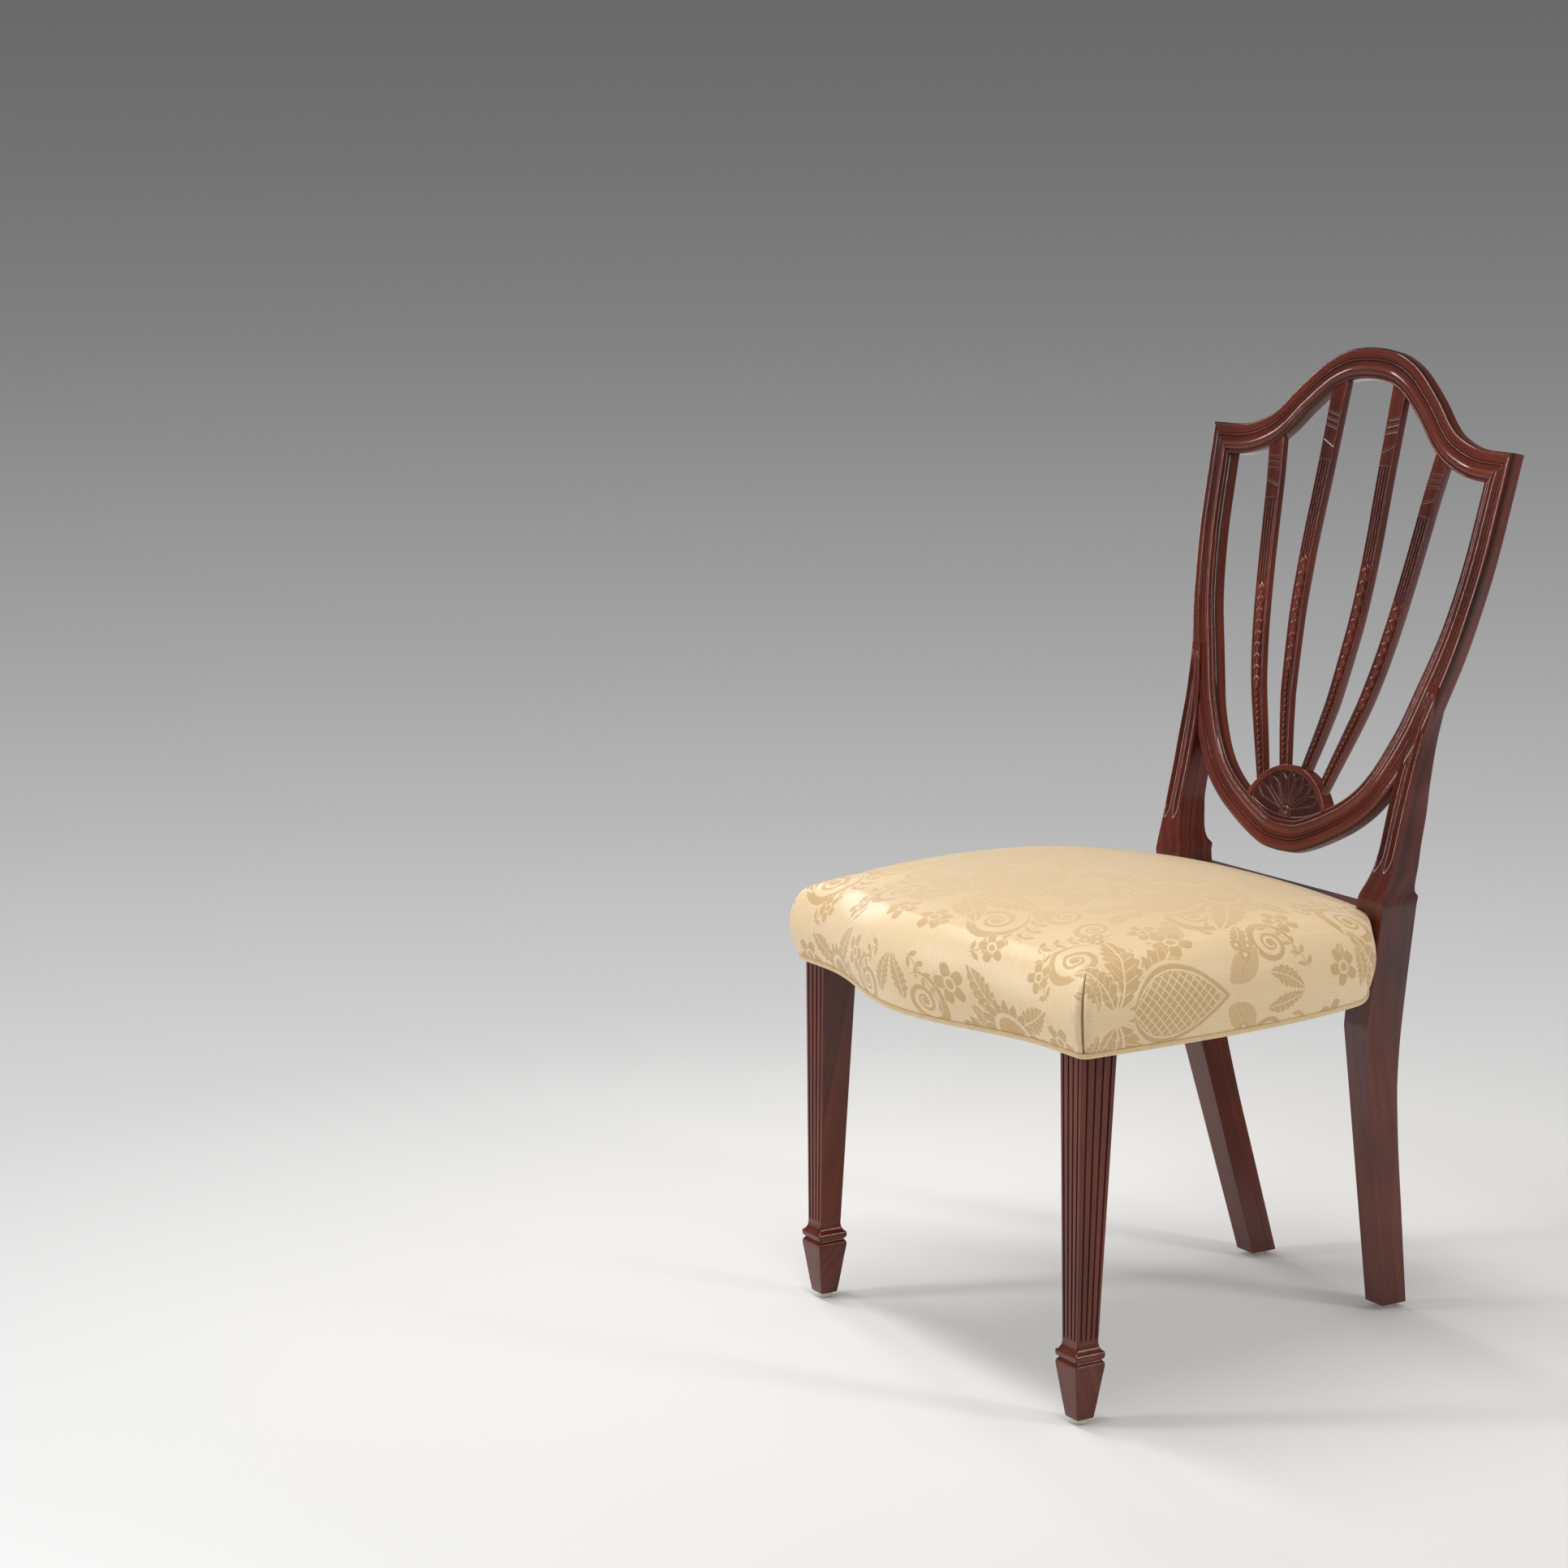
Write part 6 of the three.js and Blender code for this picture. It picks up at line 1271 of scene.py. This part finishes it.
def plainWeave(name):  # threads over and under each other by turns
    cloth = cloths[name]
    material, tree, shader = newMaterial(name)
    place = threads = addNode(tree, "ShaderNodeUVMap", uv_map="grain")
    if "wander" in cloth:
        wander = addNode(tree, "ShaderNodeTexNoise", {"Vector": place, "Scale": 60, "Detail": 1}).outputs["Color"]
        threads = addNode(tree, "ShaderNodeVectorMath", {
            0: wander, 1: (cloth["wander"], cloth["wander"], 0), 2: place}, operation="MULTIPLY_ADD")
    across = addNode(tree, "ShaderNodeSeparateXYZ", {0: threads}).outputs
    over = addNode(tree, "ShaderNodeTexChecker", {"Vector": threads, "Scale": 1 / cloth["thread"]}).outputs["Fac"]
    round0, round1 = (("ABSOLUTE", ("SINE", ("MULTIPLY", across[k], math.pi / cloth["thread"]))) for k in (0, 1))
    weave = addNode(tree, "ShaderNodeMix", {"Factor": over, 2: round0, 3: round1})
    yarn = addNode(tree, "ShaderNodeTexNoise", {"Vector": place, "Scale": cloth["noise"], "Detail": cloth["detail"]})
    # the threads' rounding sets the tone, darker between them as painted shade; for cambric its dust weight also
    # lightens their crowns
    if "dust" in cloth:
        shade = addNode(tree, "ShaderNodeMath", {0: weave, 1: cloth["dust"], 2: yarn}, operation="MULTIPLY_ADD")
    else:
        shade = weave = addNode(tree, "ShaderNodeMath", {0: weave, 1: yarn}, operation="MULTIPLY")
    colour = addNode(tree, "ShaderNodeValToRGB", {"Fac": shade}, cloth["colours"])
    if "stripe" in cloth:
        line = ("COMPARE", ("PINGPONG", across[1], 0.025), 0.0075, 0.0017)
        colour = addNode(tree, "ShaderNodeMix", {"Factor": line, 6: colour, 7: cloth["stripe"]}, data_type="RGBA")
    bump = addNode(tree, "ShaderNodeBump", {"Height": weave, "Strength": cloth["bump"], "Distance": cloth["deep"]})
    setInputs(shader, {"Base Color": colour, "Roughness": cloth["roughness"], "Normal": bump,
                       "Sheen Weight": cloth.get("sheen", 0)})
    return material


# Beech left raw: pale pinkish tan, fine straight grain, and the short dark flecks of its rays
def rawBeech(axis):
    material, tree, shader = newMaterial("raw beech, grain along " + axis)
    place = addNode(tree, "ShaderNodeTexCoord").outputs["Object"]
    noises = []
    for along, across, detail, distortion in ((16, 224, 4, 0.4), (420, 1960, 0, 0)):
        scale = [along if direction == axis else across for direction in "xyz"]
        stretched = addNode(tree, "ShaderNodeMapping", {"Vector": place, "Scale": scale})
        noises.append(addNode(tree, "ShaderNodeTexNoise", {
            "Vector": stretched, "Scale": 1, "Detail": detail, "Distortion": distortion}))
    rings, rays = noises
    tan = addNode(tree, "ShaderNodeValToRGB", {"Fac": rings}, [(0.32, "#ad8760"), (0.5, "#c49f78"), (0.7, "#d2b28c")])
    flecks = addNode(tree, "ShaderNodeValToRGB", {"Fac": rays}, [(0.3, "#7d5637"), (0.36, "#ffffff")])
    flecked = addNode(tree, "ShaderNodeMix", {"Factor": 0.5, 6: tan, 7: flecks}, data_type="RGBA",
                      blend_type="MULTIPLY")
    bump = addNode(tree, "ShaderNodeBump", {"Height": rings, "Strength": 0.2, "Distance": 0.0003})
    setInputs(shader, {"Base Color": flecked, "Roughness": 0.62, "Normal": bump})
    return material


# Steel screws and tacks, zinc plated: a grey metal with a cloudy dull film
def zincPlate():
    material, tree, shader = newMaterial("zinc plated steel")
    place = addNode(tree, "ShaderNodeTexCoord").outputs["Object"]
    cloud = addNode(tree, "ShaderNodeTexNoise", {"Vector": place, "Scale": 260, "Detail": 4})
    grey = addNode(tree, "ShaderNodeValToRGB", {"Fac": cloud}, [(0.35, "#a3a39c"), (0.65, "#c9cac6")])
    rough = addNode(tree, "ShaderNodeMapRange", {"Value": cloud, "To Min": 0.28, "To Max": 0.5})
    bump = addNode(tree, "ShaderNodeBump", {"Height": cloud, "Strength": 0.15, "Distance": 0.0002})
    setInputs(shader, {"Base Color": grey, "Metallic": 1, "Roughness": rough, "Normal": bump})
    return material


# Nylon glides, moulded: off white and waxy, greyed by the floor on the sole
def mouldedNylon():
    material, tree, shader = newMaterial("moulded nylon")
    place = addNode(tree, "ShaderNodeTexCoord").outputs["Object"]
    speck = addNode(tree, "ShaderNodeTexNoise", {"Vector": place, "Scale": 700, "Detail": 3})
    height = addNode(tree, "ShaderNodeSeparateXYZ", {0: place}).outputs[2]
    low = addNode(tree, "ShaderNodeMapRange", {"Value": height, "From Min": 0.0018, "From Max": 0.0})
    waxy = addNode(tree, "ShaderNodeValToRGB", {"Fac": speck}, [(0.4, "#bdb9ac"), (0.6, "#c8c4b8")])
    scuffed = addNode(tree, "ShaderNodeMix", {"Factor": ("MULTIPLY", low, speck), 6: waxy, 7: "#6f6a60"},
                      data_type="RGBA")
    bump = addNode(tree, "ShaderNodeBump", {"Height": speck, "Strength": 0.1, "Distance": 0.0002})
    setInputs(shader, {"Base Color": scuffed, "Roughness": 0.42, "Normal": bump})
    return material


def buildStrap(name, ends, rests, crossings, placing, material):
    table = [(ends[0], 0), (rests[0], 0)]
    for place, lift in crossings:
        table += [(place - under["webFlat"], lift), (place + under["webFlat"], lift)]
    along = np.linspace(*ends, under["webRows"])
    lift = throughTable(table + [(rests[1], 0), (ends[1], 0)], along) * under["webLift"]
    low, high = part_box("web_" + name)
    width = min(high.x - low.x, high.y - low.y)
    share = np.linspace(-1, 1, under["webColumns"])
    half = under["webThickness"] / 2 * (1 - under["webEdgeThins"] * np.abs(share) ** 8)
    across = np.concatenate([share, share[::-1]]) * width / 2
    thick = np.concatenate([half, -half[::-1]])
    rings = [[placing(a, b, under["webLevel"] + up + t) for b, t in zip(across, thick)] for a, up in zip(along, lift)]
    piece = loftPiece("jute_web_" + name, rings, material)
    declare(piece, "jute", "web_" + name)


def buildWebbing():
    jute = plainWeave("woven jute webbing")
    lengthwise = [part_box("web_lengthwise_%d" % (i + 1)) for i in range(4)]
    crosswise = [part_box("web_crosswise_%d" % (j + 1)) for j in range(3)]
    for i, (low, high) in enumerate(lengthwise):
        crossings = [((a.y + b.y) / 2, 1 if (i + j) % 2 else -1) for j, (a, b) in enumerate(crosswise)]
        rests = (low.y + under["railOverlap"], high.y - under["rearOverlap"])
        buildStrap("lengthwise_%d" % (i + 1), (low.y, high.y), rests, crossings,
                   lambda a, b, z, middle=(low.x + high.x) / 2: (middle + b, a, z), jute)
    for j, (low, high) in enumerate(crosswise):
        crossings = [((a.x + b.x) / 2, -1 if (i + j) % 2 else 1) for i, (a, b) in enumerate(lengthwise)]
        depth = (high.y - backShift - seat["frontCorner"]) / (back["frontAtSeat"] - seat["frontCorner"])
        rest = lerp(under["railInnerFront"], under["railInnerRear"], depth**3) - under["webThickness"]
        buildStrap("crosswise_%d" % (j + 1), (low.x, high.x), (-rest, rest), crossings,
                   lambda a, b, z, middle=(low.y + high.y) / 2: (a, middle + b, z), jute)


# Shares of the way out from the middle at which a sheet has points: close together by its edge
sheetShares = np.concatenate([[1, 0.99, 0.975, 0.962, 0.95], np.linspace(0.93, 0.04, 26)])


def flatSheet(name, outline, level, material):  # level: points and their share -> height of the bottom and of the top
    centre = np.array([0, seat["middle"]])
    rings = []
    for upper, share in [(0, share) for share in sheetShares[::-1]] + [(1, share) for share in sheetShares]:
        at = centre + (outline - centre) * share
        height = np.broadcast_to(level(at, share)[upper], len(at))
        rings.append(np.column_stack([at[:, 0], at[:, 1] + backShift, height]))
    rings = np.array(rings)
    return meshPiece(name, rings, material, rings[:, :, :2], 50)


def asCloth(piece, slot, node):
    declare(piece, slot, node)


def buildHessian():
    outline = plan - outwardOf(plan) * np.where(kind < 1.5, under["inset"], under["rearInset"])[:, None]
    outline[:, 1] = np.where(kind > 1.5, np.minimum(outline[:, 1], plan[:, 1] - under["rearGap"]), outline[:, 1])

    def level(at, share):
        waves = np.sin(at[:, 0] * under["wavesAcross"]) * np.sin(at[:, 1] * under["wavesAlong"])
        lift = under["hessianLevel"] + under["hessianWave"] * waves
        return lift, lift + under["hessianThickness"]

    asCloth(flatSheet("hessian_sheet", outline, level, plainWeave("open woven hessian")), "jute", "hessian")


def dustOutline():
    half = (plan - outwardOf(plan) * under["inset"])[(kind < 1.5) & (plan[:, 0] >= 0)]
    legInner, legBack, postFront, postInner = (under[name] for name in ("legInner", "legBack", "dustPost", "postInner"))
    front = half[(half[:, 0] < legInner) & (half[:, 1] < under["corner"])]
    side = half[(half[:, 1] > legBack) & (half[:, 1] < postFront) & (half[:, 0] > under["corner"])]
    path = np.vstack([front, [(legInner, front[-1, 1]), (legInner, legBack), (side[0, 0], legBack)], side,
                      [(side[-1, 0], postFront), (postInner, postFront), (postInner, under["dustRear"]),
                       (0, under["dustRear"])]])
    run = runOf(path)
    at = np.unique(np.round(np.concatenate([run, np.arange(0, run[-1], under["edgeStep"])]), 6))
    dense = pointsAt(at, run, path)
    return np.vstack([dense, (dense[::-1] * [-1, 1])[1:-1]])


def tackShape():  # a low domed head, one unit in radius
    profile = [(1, 0), (0.98, 0.12), (0.82, 0.29), (0.5, 0.41), (0.15, 0.46)]
    turns = [2 * math.pi * j / 12 for j in range(12)]
    return meshPiece("tack", [[(r * math.cos(t), r * math.sin(t), z) for t in turns] for r, z in profile], zinc)


def buildDustCover():
    outline = dustOutline()
    run = runOf(outline)
    count = round(run[-1] / under["tackPitch"])
    pull = np.sin(np.pi * count * run / run[-1]) ** 2  # the edge draws in between tacks
    outward = outwardOf(outline)
    edge = outline - outward * (under["scallop"] * pull)[:, None]

    def level(at, share):
        hem = under["hemThickness"] if share > under["hemShare"] else 0
        top = under["dustTop"] - under["dustGap"] - under["sag"] * (1 - share**2) ** 2
        return top - under["dustThickness"] - hem, top

    cover = flatSheet("cambric_dust_cover", edge, level, plainWeave("black cotton cambric"))
    asCloth(cover, "cambric", "dust_cover")
    shape = tackShape()
    height = under["dustTop"] - under["dustThickness"] - under["hemThickness"] - under["dustGap"]
    points = [(x, y + backShift, height) for x, y in outline - outward * under["tackInset"]]
    values = {"Shape": shape, "Count": count, "Facing": (0.0, 0.0, -1.0), "Finish": zinc,
              "First size": under["tackRadius"], "Last size": under["tackRadius"]}
    declare(strung(stringTree, "dust_cover_tacks", points, values, 40), "zinc_steel")
    bpy.data.objects.remove(shape)


zinc, beechAcross = zincPlate(), rawBeech("x")
buildWebbing()
buildHessian()
buildDustCover()
finishes = {"side_rail": rawBeech("y"), "front_seat_rail": beechAcross, "corner_block": beechAcross, "screw": zinc,
            "glide": mouldedNylon(), "rear_seat_rail": railMahogany}
for nodeName, part in nodes.items():
    for start, finish in finishes.items():
        if nodeName.startswith(start):
            part.data.materials.clear()
            part.data.materials.append(finish)
print("webbing, hessian, dust cover and frame finished")


# Floor, backdrop, lights and camera
studio = {
    "floorSize": 30.0, "floorFades": (0.55, 1.5), "skyLight": 0.46, "sky": "#fbf9f6",
    # distance from the chair in metres, colour of the floor there: paler near the chair, a painted pool of light
    "floor": [(0.0, "#ededed"), (0.5, "#e6e6e6"), (1.2, "#dadada"), (2.2, "#d0d0d0"), (3.2, "#cacaca"),
              (5.0, "#c4c4c4")],
    # sine of the angle over the horizon, colour of the backdrop there: darker upwards, a painted fall-off of light
    "backdrop": [(-0.367, "#fdfdfd"), (-0.327, "#f3f3f3"), (-0.287, "#e4e4e4"), (-0.245, "#d3d3d3"),
                 (-0.203, "#c1c1c1"), (-0.182, "#b7b7b7"), (-0.139, "#a4a4a4"), (-0.096, "#929292"),
                 (-0.058, "#828282"), (-0.011, "#737373"), (0.03, "#696969"), (0.5, "#5c5c5c")],
    "cameraPlace": (2.923, -2.181, 1.192), "turn": -1.0266, "pitch": 0.1756, "roll": 0.0041, "lens": 86.0,
    # name, place, aim, width, height, watts, colour
    "lamps": [("tall softbox", (-1.3, -3.0, 1.5), (0, 0, 0.6), 0.5, 2.4, 41, "#ffffff"),
              ("overhead strip", (-0.4, -0.7, 3.0), (-0.4, 0.1, 0.5), 3.0, 0.4, 50, "#fffdf8"),
              ("right softbox", (2.9, 1.5, 1.7), (0, 0, 0.5), 0.5, 1.8, 31, "#fffaf2"),
              ("left strip", (-2.9, 0.2, 1.5), (0, 0, 0.6), 0.3, 2.2, 15, "#ffffff")],
}


def buildFloor():  # it keeps the chair's shadow, and fades into the backdrop further out
    material, tree, shader = newMaterial("pale studio floor")
    place = addNode(tree, "ShaderNodeTexCoord").outputs["Object"]
    flat = addNode(tree, "ShaderNodeMapping", {"Vector": place, "Scale": (1, 1, 0)})
    away = addNode(tree, "ShaderNodeVectorMath", {0: flat}, operation="LENGTH")
    mottle = addNode(tree, "ShaderNodeTexNoise", {"Vector": place, "Scale": 2, "Detail": 2})
    wander = addNode(tree, "ShaderNodeMapRange", {"Value": mottle, "To Min": -0.04, "To Max": 0.04})
    reach = studio["floor"][-1][0]
    # the floor darkens away from the chair: a painted fall-off of light
    colour = addNode(tree, "ShaderNodeValToRGB", {"Fac": ("DIVIDE", ("ADD", away, wander), reach)},
                     [(distance / reach, grey) for distance, grey in studio["floor"]])
    setInputs(shader, {"Base Color": colour, "Roughness": 0.8, "Specular IOR Level": 0.2})
    near, far = studio["floorFades"]
    fading = addNode(tree, "ShaderNodeMapRange", {"Value": away, "From Min": near, "From Max": far},
                     interpolation_type="SMOOTHSTEP")
    clear = addNode(tree, "ShaderNodeBsdfTransparent")
    mixed = addNode(tree, "ShaderNodeMixShader", {0: fading, 1: shader, 2: clear})
    setInputs(tree.nodes["Material Output"], {"Surface": mixed})
    size = studio["floorSize"]
    corners = [(-size, -size, 0), (size, -size, 0), (size, size, 0), (-size, size, 0)]
    meshPiece("studio_floor", corners, material, faces=[(0, 1, 2, 3)])


def buildBackdrop():
    world = bpy.data.worlds.new("grey paper backdrop")
    bpy.context.scene.world = world
    world.use_nodes = True
    tree = world.node_tree
    tree.nodes.clear()
    low, high = studio["backdrop"][0][0], studio["backdrop"][-1][0]
    direction = addNode(tree, "ShaderNodeTexCoord").outputs["Generated"]
    height = addNode(tree, "ShaderNodeSeparateXYZ", {0: direction}).outputs[2]
    rising = addNode(tree, "ShaderNodeMapRange", {"Value": height, "From Min": low, "From Max": high})
    # the backdrop's grey is painted light: paler towards the floor and darker upwards
    paper = addNode(tree, "ShaderNodeValToRGB", {"Fac": rising},
                    [((place - low) / (high - low), grey) for place, grey in studio["backdrop"]])
    seen = addNode(tree, "ShaderNodeBackground", {"Color": paper, "Strength": 1})
    light = addNode(tree, "ShaderNodeBackground", {"Color": studio["sky"], "Strength": studio["skyLight"]})
    path = addNode(tree, "ShaderNodeLightPath").outputs
    either = ("MAXIMUM", path["Is Camera Ray"], path["Is Glossy Ray"])
    addNode(tree, "ShaderNodeOutputWorld", {0: addNode(tree, "ShaderNodeMixShader", {0: either, 1: light, 2: seen})})


def buildLightsAndCamera():
    for name, place, aim, width, height, watts, colour in studio["lamps"]:
        lamp = bpy.data.lights.new(name, "AREA")
        lamp.shape, lamp.size, lamp.size_y, lamp.energy = "RECTANGLE", width, height, watts
        lamp.color = srgb(colour)[:3]
        holder = placed(name, lamp)
        holder.location = place
        holder.rotation_euler = (Vector(aim) - Vector(place)).to_track_quat("-Z", "Y").to_euler()
    camera = bpy.data.cameras.new("camera")
    camera.lens, camera.sensor_width, camera.clip_end = studio["lens"], 36, 50
    cosTurn, cosPitch, cosRoll = (math.cos(studio[name]) for name in ("turn", "pitch", "roll"))
    sinTurn, sinPitch, sinRoll = (math.sin(studio[name]) for name in ("turn", "pitch", "roll"))
    side = Vector((cosTurn, -sinTurn, 0))
    ahead = Vector((sinTurn * cosPitch, cosTurn * cosPitch, -sinPitch))
    up = Vector((sinTurn * sinPitch, cosTurn * sinPitch, cosPitch))
    right, upright = side * cosRoll - up * sinRoll, side * sinRoll + up * cosRoll
    holder = placed("camera", camera)
    turned = Matrix((right, upright, -ahead)).transposed().to_4x4()
    holder.matrix_world = Matrix.Translation(studio["cameraPlace"]) @ turned
    bpy.context.scene.camera = holder
    bpy.context.scene.view_settings.view_transform = "Standard"


buildFloor()
buildBackdrop()
buildLightsAndCamera()
